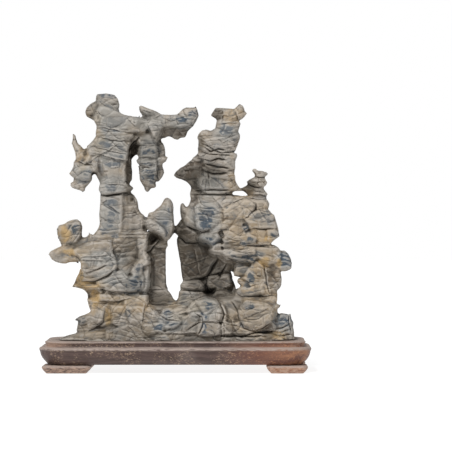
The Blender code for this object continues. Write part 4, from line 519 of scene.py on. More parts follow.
        (24.3, 20.8), (27.5, 21), (29.5, 18.4), (32, 17.3), (35.5, 16.8), (34.8, 15.2), (27, 15),
        (24.4, 15.2),
    ]),
    "jowl": (14.2, 12, 1.2, -0.3, 0, [
        (34.5, 16.6), (38, 17.6), (43, 21.6), (44, 19.5), (43.6, 17.3), (39, 15.2), (35, 15.2),
    ]),
    "right_boulder": (11.6, 9, 2.2, 0.05, 0.1, [
        (43, 18.6), (42.9, 21.8), (44.5, 24.3), (46.5, 25), (48.8, 24.6), (49.6, 24.1), (50.3, 24.8),
        (50.7, 22.3), (51.6, 21), (51.4, 19), (51.9, 17), (51.9, 15), (52.2, 13.3), (51.8, 12),
        (44, 12),
    ]),
    "ochre_toe": (14, 8, 1.2, 0.25, 0.1, [
        (38, 14.7), (42, 16.2), (44, 18), (46.7, 18), (48.2, 16), (48.8, 13.5), (47.4, 12), (39, 12),
    ]),
    # Shaded wall of the right tower
    "wall_panel": (3.6, 9, 1.2, 0, -0.05, [
        (0.5, 57.8), (1.2, 58.9), (5, 57.2), (8, 56.2), (12, 56.6), (17, 55.4), (18.5, 52), (17.5, 49),
        (13, 41), (10, 40.3), (4, 39.7), (3, 40), (2.8, 41), (2.4, 44), (2, 48), (1.2, 51.5),
        (0.6, 54.5),
    ]),
    "wall_wedge": (3.2, 8, 1, 0, 0, [
        (14, 41.9), (16, 45.3), (18.6, 49.4), (22, 49), (24.8, 47), (24.9, 45.5), (24.2, 43),
        (22, 42.7), (19, 42.5), (15.5, 41.9),
    ]),
    "wall_shoulder": (5.6, 8, 1, 0, 0, [
        (17, 52.6), (19.4, 53), (23, 50.8), (25.5, 49), (24.8, 46.6), (21, 47.6), (18.6, 49.6),
    ]),
    "wall_block_a": (6.4, 9, 1.4, 0, 0, [
        (2, 37.6), (3.2, 39), (6, 39.7), (10.5, 39.5), (12.5, 37.4), (12.8, 35.5), (11.5, 35),
        (5, 35.4), (2, 36.2),
    ]),
    "wall_block_b": (6.6, 10, 1.4, 0.2, 0, [
        (1.4, 34.5), (2.4, 35.4), (6, 35.3), (11.5, 34.8), (13.4, 33), (14.2, 31.4), (8.5, 30.4),
        (5, 29), (0.8, 29.6), (0.8, 31.5), (1.3, 33),
    ]),
    "wall_block_c": (5, 8, 1, 0, 0, [
        (13.4, 40.8), (15.5, 41.6), (18.8, 41.6), (19.4, 40), (18.4, 38.3), (15, 37.4), (13.3, 38.8),
    ]),
    "wall_block_d": (5, 8, 1, 0, 0, [
        (13.5, 38.2), (15, 37.9), (18.7, 39), (17.9, 36.7), (15.2, 35), (13.8, 35.4),
    ]),
    "wall_block_e": (5.2, 8, 1, 0, 0, [
        (17.7, 37.2), (19.4, 40.8), (20.5, 42.3), (23.6, 42.4), (24.2, 39), (24.4, 37), (20.5, 35.7),
        (18, 35.5),
    ]),
    "wall_edge": (2.4, 8, 1, 0, 0.3, [
        (23.4, 46), (24.8, 46.4), (24.6, 44), (24, 42.8), (24.8, 40), (26, 37), (26.4, 34), (23, 34.5),
        (23.4, 40),
    ]),
    "wall_lens": (8.4, 10, 1.2, 0.2, 0, [
        (15.7, 33.8), (17.5, 34.9), (21, 34.8), (23.5, 34.1), (26.2, 32.4), (24.3, 31), (21, 30),
        (18, 30), (16.8, 32),
    ]),
    "cheek": (5.6, 6.5, 2, -0.15, -0.1, [
        (-0.4, 62.9), (0.5, 63.7), (2, 65.8), (4, 64.2), (7, 62.6), (9.6, 60.8), (10.5, 58), (10, 56.6),
        (8.5, 55.9), (6.2, 55.9), (4, 57.2), (1.2, 59.2), (-0.1, 60.1), (-0.7, 61.8),
    ]),
    "fin": (7.4, 6, 1.6, 0, -0.15, [
        (2.1, 72.9), (2.8, 73.5), (3.4, 73.1), (4, 71.9), (4.8, 71.6), (5.4, 72), (6.1, 73.5), (8, 74),
        (10, 74), (10.2, 66), (10.6, 61), (8, 62.2), (4.1, 63.8), (2.5, 66.5), (2, 69), (1.9, 71),
    ]),
    # Front of the right tower
    "slate_panel": (10.6, 7, 2, 0.05, 0.05, [
        (8.2, 71.8), (9.5, 73.2), (12, 73.8), (16, 73.7), (19, 72.2), (20.7, 70), (21.2, 67),
        (20, 64.8), (17, 62.5), (14.9, 61.1), (12, 60.9), (10, 61.2), (8.8, 64), (8.4, 68),
    ]),
    "crest": (8.8, 8, 1.4, 0.15, 0, [
        (9.6, 76.9), (15, 77.4), (24, 77), (30, 76.6), (33.5, 76), (30, 72), (24, 72), (18, 72.6),
        (10, 73),
    ]),
    "hood": (11.2, 8, 2, 0.25, 0, [
        (23, 72), (28, 75), (34.6, 75.6), (34.9, 70.7), (31.7, 67.8), (29.2, 66), (25, 66.2),
        (21, 66.8), (20.8, 70.3),
    ]),
    "hood_left": (
        9.4, 7, 1.2, 0, 0,
        [(16.5, 73.6), (20, 75.2), (24.2, 75.2), (24.2, 70.5), (21.5, 68.5), (20.4, 70.3), (19, 72)],
    ),
    "hood_right": (10.4, 8, 1.8, 0.1, 0.1, [
        (34.4, 75.3), (38.5, 75.4), (40.2, 74.7), (41, 73.3), (40.7, 71.6), (39.4, 70.7), (36, 70.6),
        (34.6, 71.6),
    ]),
    "brace": (12.2, 7, 1, 0.2, 0.1, [
        (15, 60.6), (17, 60.2), (21, 62.2), (25, 65), (28.8, 66), (26, 68.2), (23.2, 67), (19, 63.9),
    ]),
    "pleat_1": (12.2, 8, 1, 0.1, 0.05, [
        (30.8, 67.6), (34, 69.4), (36, 70.2), (39, 70.7), (41, 70.2), (41.9, 69), (41, 67.8),
        (37.5, 66.6), (33, 66.4),
    ]),
    "pleat_2": (13, 8, 1, 0.05, 0.05, [
        (30.2, 66.6), (37, 67), (42, 68.3), (43, 68.2), (43.2, 66.2), (40.5, 65.2), (36, 64.3),
        (33, 64), (31, 65),
    ]),
    "pleat_3": (12.6, 8, 1, 0.05, 0.05, [
        (31.6, 64), (36, 64.8), (41, 65.4), (43.8, 65.2), (44.3, 63), (43.8, 62.2), (36, 62.2),
        (32.6, 62.4),
    ]),
    "pleat_edge": (9, 8, 1.4, 0, 0.2, [
        (41.6, 68.4), (43, 68.4), (44, 65.2), (44.8, 62.4), (45.1, 60.8), (42.6, 60.8), (41.6, 64),
    ]),
    "fold_r1": (11.4, 8, 1.2, 0.15, 0, [
        (20.6, 62.4), (24, 63.4), (25, 65.2), (29, 66.2), (31.3, 64.6), (32.2, 62.4), (30, 60),
        (26, 59.8), (20.6, 60.6),
    ]),
    "fold_r2": (12, 8, 1.6, 0.05, 0.05, [
        (32.4, 62.4), (38, 62.4), (41.4, 62), (41, 57), (41.5, 55.2), (36.5, 55.2), (35.8, 58),
        (33.4, 60.3),
    ]),
    "fold_r3": (13, 8, 1.6, 0, 0.1, [
        (40.3, 62), (43, 61.9), (45, 61), (45.4, 58.9), (43.1, 57.3), (41.6, 55.8), (40.2, 57.5),
    ]),
    "fold_r4": (12.2, 8, 1.2, 0.15, 0, [
        (20.6, 60.8), (27, 61.4), (31, 61), (34, 60.2), (35.8, 58), (34.8, 55.8), (31, 56.2),
        (26, 57.4), (21.6, 58.1),
    ]),
    "fold_fill": (
        10.8, 7, 1, 0, 0,
        [(29.5, 57.5), (36.5, 57.8), (37.2, 54), (29.5, 53.6)],
    ),
    "fold_r5": (11.6, 8, 1, 0.15, 0, [
        (20, 58.2), (24, 58.2), (30, 57.1), (31.8, 56), (30, 54.9), (25, 54.8), (21, 55.8),
    ]),
    "tongue_1": (14, 6, 1.4, 0.05, 0, [
        (10.4, 59.2), (13, 60.1), (18.8, 60), (19.8, 58.6), (18.4, 56.9), (16.5, 55.9), (13, 55.7),
        (10.5, 56.9), (10.1, 58),
    ]),
    "tongue_2": (12.4, 6, 0.8, 0.05, 0, [
        (14.3, 55.2), (19.4, 56), (20, 54.8), (18, 53.7), (15.8, 53.9),
    ]),
    "tongue_3": (12.4, 6, 1, 0.05, 0, [
        (14, 53.2), (17, 53.9), (19.8, 53.6), (19.6, 51.2), (16.5, 50.8), (14.8, 51.8),
    ]),
    "rib_1": (12.2, 8, 0.8, 0.1, 0, [
        (19.6, 55.2), (26, 55.4), (30, 54.8), (34.8, 54.5), (34.8, 52.7), (28, 52.7), (21.6, 53.3),
    ]),
    "rib_2": (12.8, 8, 0.8, 0.05, 0, [
        (19, 52.8), (24, 53.4), (30, 52.7), (34.8, 52.7), (34.8, 51.1), (29, 50.7), (22, 50.4),
        (19, 50.8),
    ]),
    "rib_3": (11.2, 8, 0.9, -0.1, 0, [
        (20.4, 50.9), (26, 51), (31, 50.8), (35, 51), (35.4, 49), (33.5, 47.4), (28, 47.8),
        (24.3, 48.8), (22, 48.8),
    ]),
    "right_block": (11.4, 8, 1.6, 0.1, 0.05, [
        (34.9, 54.8), (40, 54.8), (43, 55), (44.8, 54), (46, 52.4), (46.2, 50), (45.2, 47.6),
        (41, 46.6), (38, 47.6), (36, 49.6), (34.7, 52),
    ]),
    "ear": (9.6, 6.5, 2.6, 0, 0.05, [
        (44.6, 52.1), (47.8, 52.6), (49.4, 51), (50.4, 49), (50.9, 47), (50.7, 44.7), (49.9, 44.2),
        (48.5, 43.6), (46.8, 43.5), (45.5, 44.2), (43.6, 45.6), (42, 48), (43, 51),
    ]),
    # Right leg
    "leg_blue": (8.2, 7, 1.4, 0.05, 0, [
        (25.5, 45.9), (27, 47.2), (33, 47.4), (34.4, 46.6), (32.2, 43.6), (30, 41.8), (28.6, 41.4),
        (27, 40.8), (25.7, 41), (25, 42), (25.2, 43.4),
    ]),
    "leg_fan": (9.6, 8, 1.2, 0, 0, [
        (34, 48.4), (37.6, 48.4), (38.8, 45), (39.3, 42), (39.6, 38.8), (36, 40.8), (31, 41.1),
        (30.2, 42.4), (33, 46),
    ]),
    "leg_mid": (9.8, 8, 1.2, 0.1, 0, [
        (28.8, 40.5), (31, 41.4), (36, 41.5), (39.6, 41.6), (39.8, 38.3), (38.2, 36.6), (33, 36.6),
        (32, 38.5), (30, 40),
    ]),
    "leg_knob": (8.4, 7, 1.4, 0, 0, [
        (26.8, 39.4), (28.2, 40.4), (30.5, 40), (33.2, 38.7), (32.8, 37.2), (31.7, 36.2), (29.8, 36.2),
        (28.4, 37.3), (27, 38.6),
    ]),
    "leg_back": (8, 8, 1.8, 0, 0.15, [
        (38, 47), (41, 47.4), (44, 45.6), (45.4, 44.2), (46.1, 42.5), (46.4, 40), (46.3, 37.5),
        (45.6, 36.2), (44.4, 35.1), (43, 34), (41, 35), (39.6, 38), (39, 42),
    ]),
    "leg_low": (10.4, 9, 1.4, 0.1, 0, [
        (25.9, 35), (27.5, 36.1), (29.5, 36.8), (32.5, 36.5), (34, 37.4), (37.6, 37.2), (39, 35.6),
        (38.8, 33.4), (37, 32.2), (33, 31.5), (29, 32.1), (26.4, 33.4),
    ]),
    "leg_toe": (9.4, 9, 1.2, 0, 0.05, [
        (38.3, 37.2), (40.4, 37.4), (41.4, 35), (41.6, 32.8), (40, 32), (38.3, 32.8),
    ]),
    "leg_heel": (7.8, 9, 1.4, 0, 0.1, [
        (41, 36), (43.6, 35.2), (44.5, 34), (44.4, 30.6), (41.8, 30.6), (40.8, 33),
    ]),
    # Right tower, waist to head
    "waist": (4.6, 7, 1, 0, -0.1, [
        (6.7, 79.6), (11, 78.8), (11.6, 76), (10, 73), (7.5, 72.2), (6.2, 73.3), (6.6, 75.4),
        (6.2, 77.5),
    ]),
    "sheet": (9.4, 2, 0.4, 0, 0, [
        (11.2, 79.1), (15.5, 78.8), (20, 78.9), (24.4, 78.5), (20, 77.9), (15, 78), (12, 78.3),
    ]),
    "head_foot": (9.8, 7, 1.6, 0.15, 0.05, [
        (10, 84.4), (12, 85.2), (15, 85.2), (22, 84.8), (25.6, 84.2), (26.6, 82), (27.8, 80.2),
        (29.4, 79), (24, 78.8), (18, 79.7), (12, 79.7), (9.3, 81),
    ]),
    "snout": (5.4, 6.5, 1.2, -0.25, -0.1, [
        (-0.9, 85.7), (0.1, 87.3), (2, 88.9), (4.2, 90), (8, 90.6), (11.5, 89), (12, 85), (10.8, 80.2),
        (7, 79.7), (6.3, 81.4), (4.7, 83), (2.5, 84), (0.4, 84.6),
    ]),
    "step_1": (7.2, 6, 1, 0.1, -0.1, [
        (4.2, 90.1), (6, 91.8), (8, 93), (12.6, 92.8), (13, 90), (8, 88.9), (5, 89),
    ]),
    "step_2": (8.6, 7, 1, 0.1, -0.05, [
        (7.3, 93.2), (9.6, 95), (14, 95), (14, 92.6), (9, 91.8),
    ]),
    "ledge_1": (10.2, 7, 0.9, 0.1, 0, [
        (12.6, 87), (20, 87.1), (24.6, 87.3), (25.4, 86.5), (26, 85), (25.9, 84.1), (20, 84.5),
        (14.5, 84.8), (12.2, 85.6),
    ]),
    "ledge_2": (9.2, 7, 0.9, 0.1, 0, [
        (11.6, 89.2), (18, 88.5), (24, 88.6), (25.7, 88.1), (25.6, 86.7), (20, 86.5), (13.6, 86.8),
    ]),
    "ledge_3": (10.8, 7, 0.9, 0.05, 0, [
        (11.8, 91.1), (17, 91.5), (22, 91), (25.8, 90.5), (26, 88.7), (21, 88), (15, 88.5),
    ]),
    "ledge_4": (11.2, 7, 0.9, 0.1, 0, [
        (12.2, 92.8), (16, 92), (20, 92.2), (24, 92.8), (26, 92.1), (25.9, 90), (22, 89.9), (17, 90.5),
        (12.8, 91.3),
    ]),
    "ledge_5": (10.6, 7.5, 0.9, 0, 0, [
        (9.8, 95.2), (14, 95.6), (20, 95.4), (25, 95.7), (26.9, 94.7), (26.6, 93.4), (25.9, 92.1),
        (21, 92.8), (16, 92.8), (10.6, 93.3),
    ]),
    "ledge_6": (9.6, 7, 0.9, 0.1, 0, [
        (9.7, 97.5), (14, 97.2), (20, 96.5), (25, 96.6), (25.4, 95.8), (24, 94.8), (16, 94.8),
        (9.9, 95),
    ]),
    "ledge_7": (10.4, 7, 1, 0.1, 0, [
        (10, 101), (13, 99.8), (17, 98.4), (21, 97.4), (25, 97.6), (26.5, 98), (26.2, 96.6), (20, 95.9),
        (13, 96.6), (9.9, 97.8),
    ]),
    "jaw": (9.6, 8, 2, 0.1, 0.1, [
        (9.4, 102.3), (10.2, 104.1), (11.5, 105.4), (13.5, 105.7), (15.4, 105.1), (18, 106.6),
        (20, 108.4), (26, 108.6), (27.5, 107), (27.1, 105), (28.1, 103.4), (28, 101.8), (27.3, 100),
        (26.8, 98.3), (25, 97.2), (21, 97.8), (16, 98.6), (12.5, 100.1), (10.1, 101),
    ]),
    "lip": (11.6, 6, 1.6, -0.1, 0, [
        (11.6, 101.4), (17, 102.6), (23, 102.4), (25.8, 100.5), (25.3, 98), (19, 97.5), (14, 99.2),
    ]),
    "brow_right": (8.6, 7.5, 1.6, 0.1, 0.05, [
        (17.4, 106.6), (17.7, 108), (18.1, 109.9), (20, 110.4), (27.4, 110), (28.3, 108.4),
        (27.2, 104.8), (20, 103.6),
    ]),
    "head_top": (7.6, 7, 1.6, 0.05, 0, [
        (15.4, 112), (16.6, 113.9), (17.5, 115.2), (21, 115.1), (25.7, 114.7), (26.6, 113), (27.8, 109),
        (22, 108.5), (19.4, 108.9), (18.4, 110), (17.5, 110.8), (16.5, 111.4),
    ]),
    "head_knob": (8, 6, 1.8, 0, 0.1, [
        (25.6, 114.6), (26.6, 115.6), (27.8, 116.8), (29.3, 116.3), (30, 114.9), (29.9, 114.1),
        (31.1, 113), (30, 111.5), (28.7, 110.3), (27.3, 110.6), (26.4, 112.6),
    ]),
    # Little stack on the right shoulder
    "stack_foot": (5, 4, 1.2, 0.1, 0, [
        (28.2, 79.7), (29.7, 80.3), (31.6, 81.4), (32, 82.2), (35, 82.2), (38.2, 80.6), (38.6, 79.5),
        (39.6, 78.2), (40.4, 77.4), (39.6, 76.9), (39.7, 75.2), (36, 75), (32.6, 76.4), (30.9, 78),
        (29.6, 79),
    ]),
    "stack_mid": (5.6, 4, 1.2, 0, 0, [
        (31.2, 82.8), (32.3, 83.7), (34.8, 84.9), (38.8, 84.7), (39.4, 83.6), (40.1, 82.5),
        (39.4, 81.3), (38, 80.3), (34, 80.8), (32, 81.6),
    ]),
    "stack_neck": (4.2, 3.4, 0.6, 0, 0, [
        (34.9, 85.7), (38.9, 85.8), (38.9, 84.2), (34.9, 84.3),
    ]),
    "stack_head": (5, 3.6, 1, 0.05, 0, [
        (33.5, 87.8), (34.3, 88.6), (35.2, 88.3), (35.6, 87.7), (38, 87.5), (39.8, 86.9), (40.4, 86.2),
        (39.3, 85.3), (36, 85.1), (34.9, 85.5), (34.7, 86.4),
    ]),
}

# Openings that go right through the stone: outlines in mm, drawn as the blocks are
OPENINGS = {
    "slot": [
        (-1.6, 59.3), (-2.8, 57.6), (-3.8, 56.3), (-3.6, 54.6), (-4.5, 52), (-4.5, 45), (-4.3, 38),
        (-3.6, 35.8), (-2, 33.3), (-0.6, 31.2), (0.4, 30.9), (1, 32), (1.3, 35.5), (2.6, 39.5), (2, 46),
        (1.2, 51.5), (0.4, 56), (0.3, 58.6), (-0.8, 60.2),
    ],
    "upper_slot": [
        (-1.2, 74.4), (-0.8, 72), (-0.7, 68), (-0.5, 63.5), (0.2, 63.7), (1.5, 66.2), (1.5, 70),
        (1.7, 73), (1.2, 74.8),
    ],
    "lobe_gap": [
        (-17.2, 94.6), (-18.6, 92.6), (-19.1, 90), (-19.1, 84), (-20, 82.2), (-19, 81), (-15, 81),
        (-16, 83.8), (-16.3, 87), (-15.9, 88.5), (-16.5, 90), (-17.4, 92), (-16.9, 93.4),
    ],
    "tower_hole": [
        (24.1, 43.6), (24.9, 41), (25.9, 38), (26.4, 35.7), (27.9, 36.4), (28.3, 37.3), (27, 38.6),
        (26.9, 40), (28.3, 40.8), (25.6, 41.4), (25.2, 43),
    ],
    "stack_slit": [
        (25.9, 78), (27.4, 78.7), (30.1, 78.3), (31.6, 76.9), (29, 76.6), (27.3, 76.9),
    ],
}
OPENING_REACH = 25

# The towers lean forwards and back a little, and the stone's thickness swells and thins, in mm
SWAY = 5.0
SWAY_SPAN = 42.0
SWAY_FOOT = (20.0, 50.0)
SWELL = 0.5
SWELL_SPAN = 15.0

# Cracks drawn on the stone's front: half width, depth and points, in mm
CRACKS = [
    (0.6, 1.0, ((-35, 107.2), (-28, 105.9), (-21.5, 104.8), (-18, 104.3))),
    (0.6, 0.8, ((-35, 102.5), (-28, 101.3), (-23, 101), (-20, 100.9))),
    (0.5, 0.7, ((-24.5, 100.5), (-29.5, 96.7), (-33.5, 94.5), (-36, 93), (-39.5, 90.7))),
    (0.6, 0.9, ((-36.5, 98.3), (-30, 96.8), (-24.5, 95.3), (-21, 95.2))),
    (0.6, 0.9, ((-38, 95.8), (-33.5, 94.9), (-28, 93.3), (-26, 92.6), (-20, 92.2))),
    (0.7, 1.0, ((-43, 92), (-40, 90.4), (-36, 90.5))),
    (0.5, 0.6, ((-29.5, 89), (-24.5, 89))),
    (0.6, 0.9, ((-31, 81.5), (-26, 81.8), (-21.5, 81.4))),
    (0.9, 1.6, ((-33, 77.2), (-30.5, 77), (-26, 77.6), (-20.5, 78.5))),
    (0.6, 0.8, ((-33, 73), (-30.5, 75))),
    (0.6, 0.8, ((-30, 72.5), (-24.5, 69))),
    (0.5, 0.6, ((-24, 59.8), (-9, 59.8))),
    (0.5, 0.6, ((-24, 58.3), (-12, 58.3))),
    (0.5, 0.6, ((-36, 56.8), (-28, 56.8))),
    (0.9, 1.8, ((-7, 57.5), (-11, 53), (-13.5, 51))),
    (1.0, 2.0, ((-16, 103), (-17.5, 101.3), (-19.5, 99.5), (-21, 95))),
    (0.5, 0.6, ((-19, 98.9), (-9, 98.9))),
    (0.5, 0.7, ((-17, 93.8), (-10, 93.7))),
    (0.5, 0.7, ((-16, 91.2), (-10, 91.3))),
    (0.6, 1.2, ((-15.5, 89.3), (-11.5, 89.3))),
    (0.5, 0.7, ((-15, 87), (-9.5, 87.2))),
    (0.5, 0.8, ((-8.5, 89), (-7.5, 83.3))),
    (0.5, 0.6, ((-13, 109), (-10, 103))),
    (0.6, 1.0, ((-9, 111.2), (-7, 112))),
    (0.5, 0.8, ((-15, 114.8), (-10.5, 113.2))),
    (0.5, 0.7, ((-22, 111.5), (-17.5, 107))),
    (0.6, 0.9, ((26.3, 114), (27, 112), (27.3, 109))),
    (0.6, 0.9, ((20, 108.8), (27, 108.8))),
    (0.5, 0.5, ((17, 101), (24, 103))),
    (0.5, 0.5, ((20, 100), (25, 102))),
    (0.7, 1.4, ((10.6, 100.5), (17.2, 96.9), (20.1, 95.8), (25.2, 96.1))),
    (0.8, 1.6, ((12, 98.6), (15.5, 96.4), (18.5, 97.6), (22.5, 96.9))),
    (0.7, 1.5, ((10.9, 96.1), (15, 95.2), (20, 94.9), (25.2, 94.3))),
    (0.8, 1.7, ((10.6, 92.9), (15, 92.1), (18.6, 93.1), (23, 92.6))),
    (0.9, 2.2, ((11.5, 91.2), (15, 90.4), (19.4, 89.4), (24.2, 88.9))),
    (1.1, 2.6, ((11.8, 87.6), (14.5, 87), (17.2, 86.5), (23, 86.8))),
    (0.7, 1.2, ((14, 84), (14, 87.5))),
    (0.6, 1.0, ((3.5, 88), (6, 88))),
    (0.6, 1.0, ((4.2, 90), (6, 90))),
    (0.6, 1.0, ((6, 91.5), (8.2, 91.5))),
    (0.8, 1.4, ((6.8, 79.0), (12, 79.3), (16.5, 79.4), (25, 79.2))),
    (0.7, 1.1, ((6.8, 77.2), (15, 77.6), (25, 77.4))),
    (0.5, 0.5, ((10.5, 79.5), (11.8, 84))),
    (0.5, 0.5, ((12.5, 79.5), (13, 84))),
    (0.5, 0.5, ((14.8, 79.5), (14.4, 84))),
    (0.9, 1.8, ((4, 63.8), (9.5, 61.5), (11.5, 60.5), (15, 60.7))),
    (0.8, 1.6, ((1.5, 58.5), (4.5, 56), (10.5, 56.3))),
    (0.5, 0.8, ((8, 54), (9, 48), (10.8, 41))),
    (0.5, 0.6, ((4, 46.3), (9, 47.6), (15.5, 50))),
    (1.1, 2.8, ((18.5, 49.5), (16.5, 46), (13.8, 41), (13, 37.5), (14.8, 34))),
    (0.9, 2.2, ((3, 39.5), (11, 40.2), (14, 41.5), (20, 43), (22.5, 47))),
    (0.8, 2.0, ((2, 35.4), (12, 34.6))),
    (0.6, 1.0, ((24, 73.3), (30, 75.7))),
    (0.5, 0.5, ((15.5, 77), (22, 69.5))),
    (0.8, 1.3, ((35, 74), (35, 71), (31.5, 67.5), (29.5, 66.5))),
    (0.7, 1.1, ((33, 62.3), (43, 62.3))),
    (0.9, 1.8, ((30, 54.8), (35, 54.6), (40, 54.8))),
    (0.9, 1.8, ((22.5, 49.5), (25, 48.6), (27.5, 48.3))),
    (0.8, 1.2, ((38.5, 47), (39.5, 42), (40, 38), (41.3, 33))),
    (0.6, 1.2, ((35.5, 41.6), (37.5, 41.6))),
    (0.8, 1.4, ((27.5, 32.5), (36, 32.4), (43, 32.7))),
    (0.7, 1.2, ((28.5, 22), (30, 18.6), (32.5, 17.2), (35, 17), (37.5, 18.2), (42, 21.5))),
    (0.6, 1.2, ((24, 30.5), (27, 27), (27.4, 23.5), (28.6, 20.4))),
    (0.6, 1.2, ((4.2, 17.5), (10.1, 20.9), (16, 21.3), (18.2, 20.8))),
    (0.6, 1.1, ((-8, 24.5), (-3, 22.1), (2.2, 21.7))),
    (0.6, 1.3, ((8.4, 25.1), (11.4, 23.4), (11.9, 20.9), (9.7, 15))),
    (0.8, 2.0, ((26, 15.4), (29, 14.8), (35, 16.4), (42, 17))),
    (0.5, 0.8, ((28.5, 22.3), (30.4, 23.1), (38, 26), (41.4, 27.9))),
    (0.5, 1.2, ((43.4, 18), (46.5, 18.6), (49.5, 20.2))),
    (0.5, 1.1, ((43.8, 16.6), (46.5, 16.9), (50, 18))),
    (0.5, 1.1, ((44, 15.3), (46.5, 15.2), (50.5, 15.9))),
    (0.5, 1.1, ((49.6, 24.2), (49.8, 21), (50.8, 17))),
    (0.5, 0.9, ((20.6, 114.8), (20.9, 112.5), (19.9, 109.5))),
    (0.9, 2.0, ((19, 30), (20.2, 27.5), (21.3, 24.7), (20.2, 21.3))),
    (0.6, 0.9, ((12.5, 21), (20, 21.2), (26, 20), (30, 18.3))),
    (0.6, 0.9, ((20, 21), (20.2, 14))),
    (0.5, 0.7, ((21.3, 21), (21.4, 14))),
    (0.6, 0.9, ((24, 22.5), (27, 16))),
    (0.9, 1.6, ((15, 15.1), (27.5, 15), (30.5, 14.8), (41, 15))),
    (0.9, 1.6, ((38, 16.2), (43, 17.3))),
    (0.6, 1.0, ((-13, 35.6), (-4.3, 35.6))),
    (0.6, 0.9, ((-12, 29.2), (0, 29))),
    (0.6, 1.0, ((-13.5, 30), (-15, 20.3))),
    (0.6, 0.8, ((-43, 49.5), (-28, 50.8))),
    (0.6, 0.9, ((-43, 48.5), (-31, 48))),
    (0.7, 1.1, ((-40, 42.5), (-29.5, 46.5))),
    (1.1, 2.2, ((-42, 39), (-36, 38.8), (-30.5, 41.3), (-26, 44.5))),
    (0.7, 1.1, ((-34.5, 36), (-28, 34.5), (-16, 34))),
    (0.7, 1.0, ((-35, 30.5), (-26, 30.2), (-19, 32))),
    (0.6, 0.9, ((-38, 29.3), (-28, 29.9))),
    (0.5, 0.8, ((-31.5, 27), (-32, 21), (-37, 17.8), (-40, 16))),
    (0.5, 0.6, ((-8, 22), (0, 24.1), (10, 26.5))),
    (0.6, 0.8, ((-12, 16), (10, 16.1))),
    (0.6, 1.3, ((34.6, 85.1), (37, 84.8), (39.6, 85.2))),
    (0.6, 1.3, ((31.6, 81.6), (34.5, 80.5), (38.6, 80.6))),
    (0.5, 0.9, ((36.3, 84.8), (36.0, 82.5), (36.8, 80.5))),
    (0.5, 0.9, ((33, 83.2), (36, 82.9), (39.8, 83.2))),
    (0.5, 1.0, ((34, 78.9), (39, 78.5))),
    (0.5, 1.0, ((33.5, 77.3), (40, 76.9))),
    (0.6, 1.2, ((31.5, 76), (36, 75.2), (40, 75.4))),
]

# Hollows drawn on the stone's front: depth, and an oval as (x, z, half length, half height, turn), in mm
HOLLOWS = [
    (1.6, (-27.2, 117.0, 1.8, 0.7, 0)), (1.4, (-37.2, 112.2, 1.3, 0.9, 0)), (1.4, (-34.5, 112.0, 1.1, 2.2, 0)),
    (1.6, (-40.0, 95.2, 1.3, 1.5, 0)), (1.6, (-39.0, 90.8, 1.2, 0.7, 0)), (1.0, (-30.9, 87.5, 1.2, 0.6, 0)),
    (1.2, (-33.8, 90.0, 0.9, 3.2, 0)), (1.6, (-35.5, 86.2, 1.7, 1.6, 0)), (2.0, (-20.0, 94.5, 1.6, 1.9, 0)),
    (0.4, (-22.5, 68.0, 1.2, 8.5, 0)), (1.6, (-19.5, 75.0, 1.2, 1.4, 0)), (1.4, (-24.8, 52.2, 1.5, 1.2, 0)),
    (1.6, (-10.0, 58.0, 2.6, 1.8, -15)), (1.2, (-6.0, 101.8, 1.2, 0.8, 0)), (1.4, (-9.7, 102.0, 0.8, 0.8, 0)),
    (1.2, (-18.0, 97.5, 1.6, 2.2, 0)), (1.0, (-20.0, 109.8, 0.6, 0.6, 0)), (1.0, (-18.5, 109.0, 0.6, 0.6, 0)),
    (3.2, (14.8, 34.3, 2.9, 1.9, 0)), (0.8, (20.0, 62.0, 1.3, 1.0, 0)), (1.0, (22.3, 67.0, 1.3, 1.6, 0)),
    (0.8, (26.2, 70.7, 1.4, 0.7, 0)), (1.8, (30.0, 64.0, 1.1, 0.9, 0)), (1.6, (31.0, 61.0, 1.0, 0.8, 0)),
    (1.0, (22.0, 55.7, 1.6, 0.7, 0)), (0.8, (23.0, 53.7, 1.5, 0.6, 0)), (2.0, (37.0, 32.4, 1.5, 0.9, 0)),
    (1.6, (41.7, 42.5, 2.6, 4.0, 0)), (1.2, (26.2, 22.5, 1.2, 1.9, 0)), (2.0, (29.0, 14.6, 1.8, 1.0, 0)),
    (1.8, (40.5, 16.7, 2.4, 0.9, 15)), (1.8, (50.0, 12.6, 2.2, 0.9, 0)), (1.0, (-19.5, 41.7, 1.0, 0.9, 0)),
    (1.0, (-4.8, 17.3, 1.0, 0.7, 0)), (0.9, (-8.0, 16.3, 1.0, 0.6, 0)), (0.9, (3.0, 16.1, 1.1, 0.6, 0)),
    (1.4, (-33.0, 18.7, 3.8, 0.9, 0)), (1.2, (-40.0, 20.2, 1.6, 1.9, 0)), (1.2, (-38.3, 58.8, 0.9, 1.2, 0)),
]

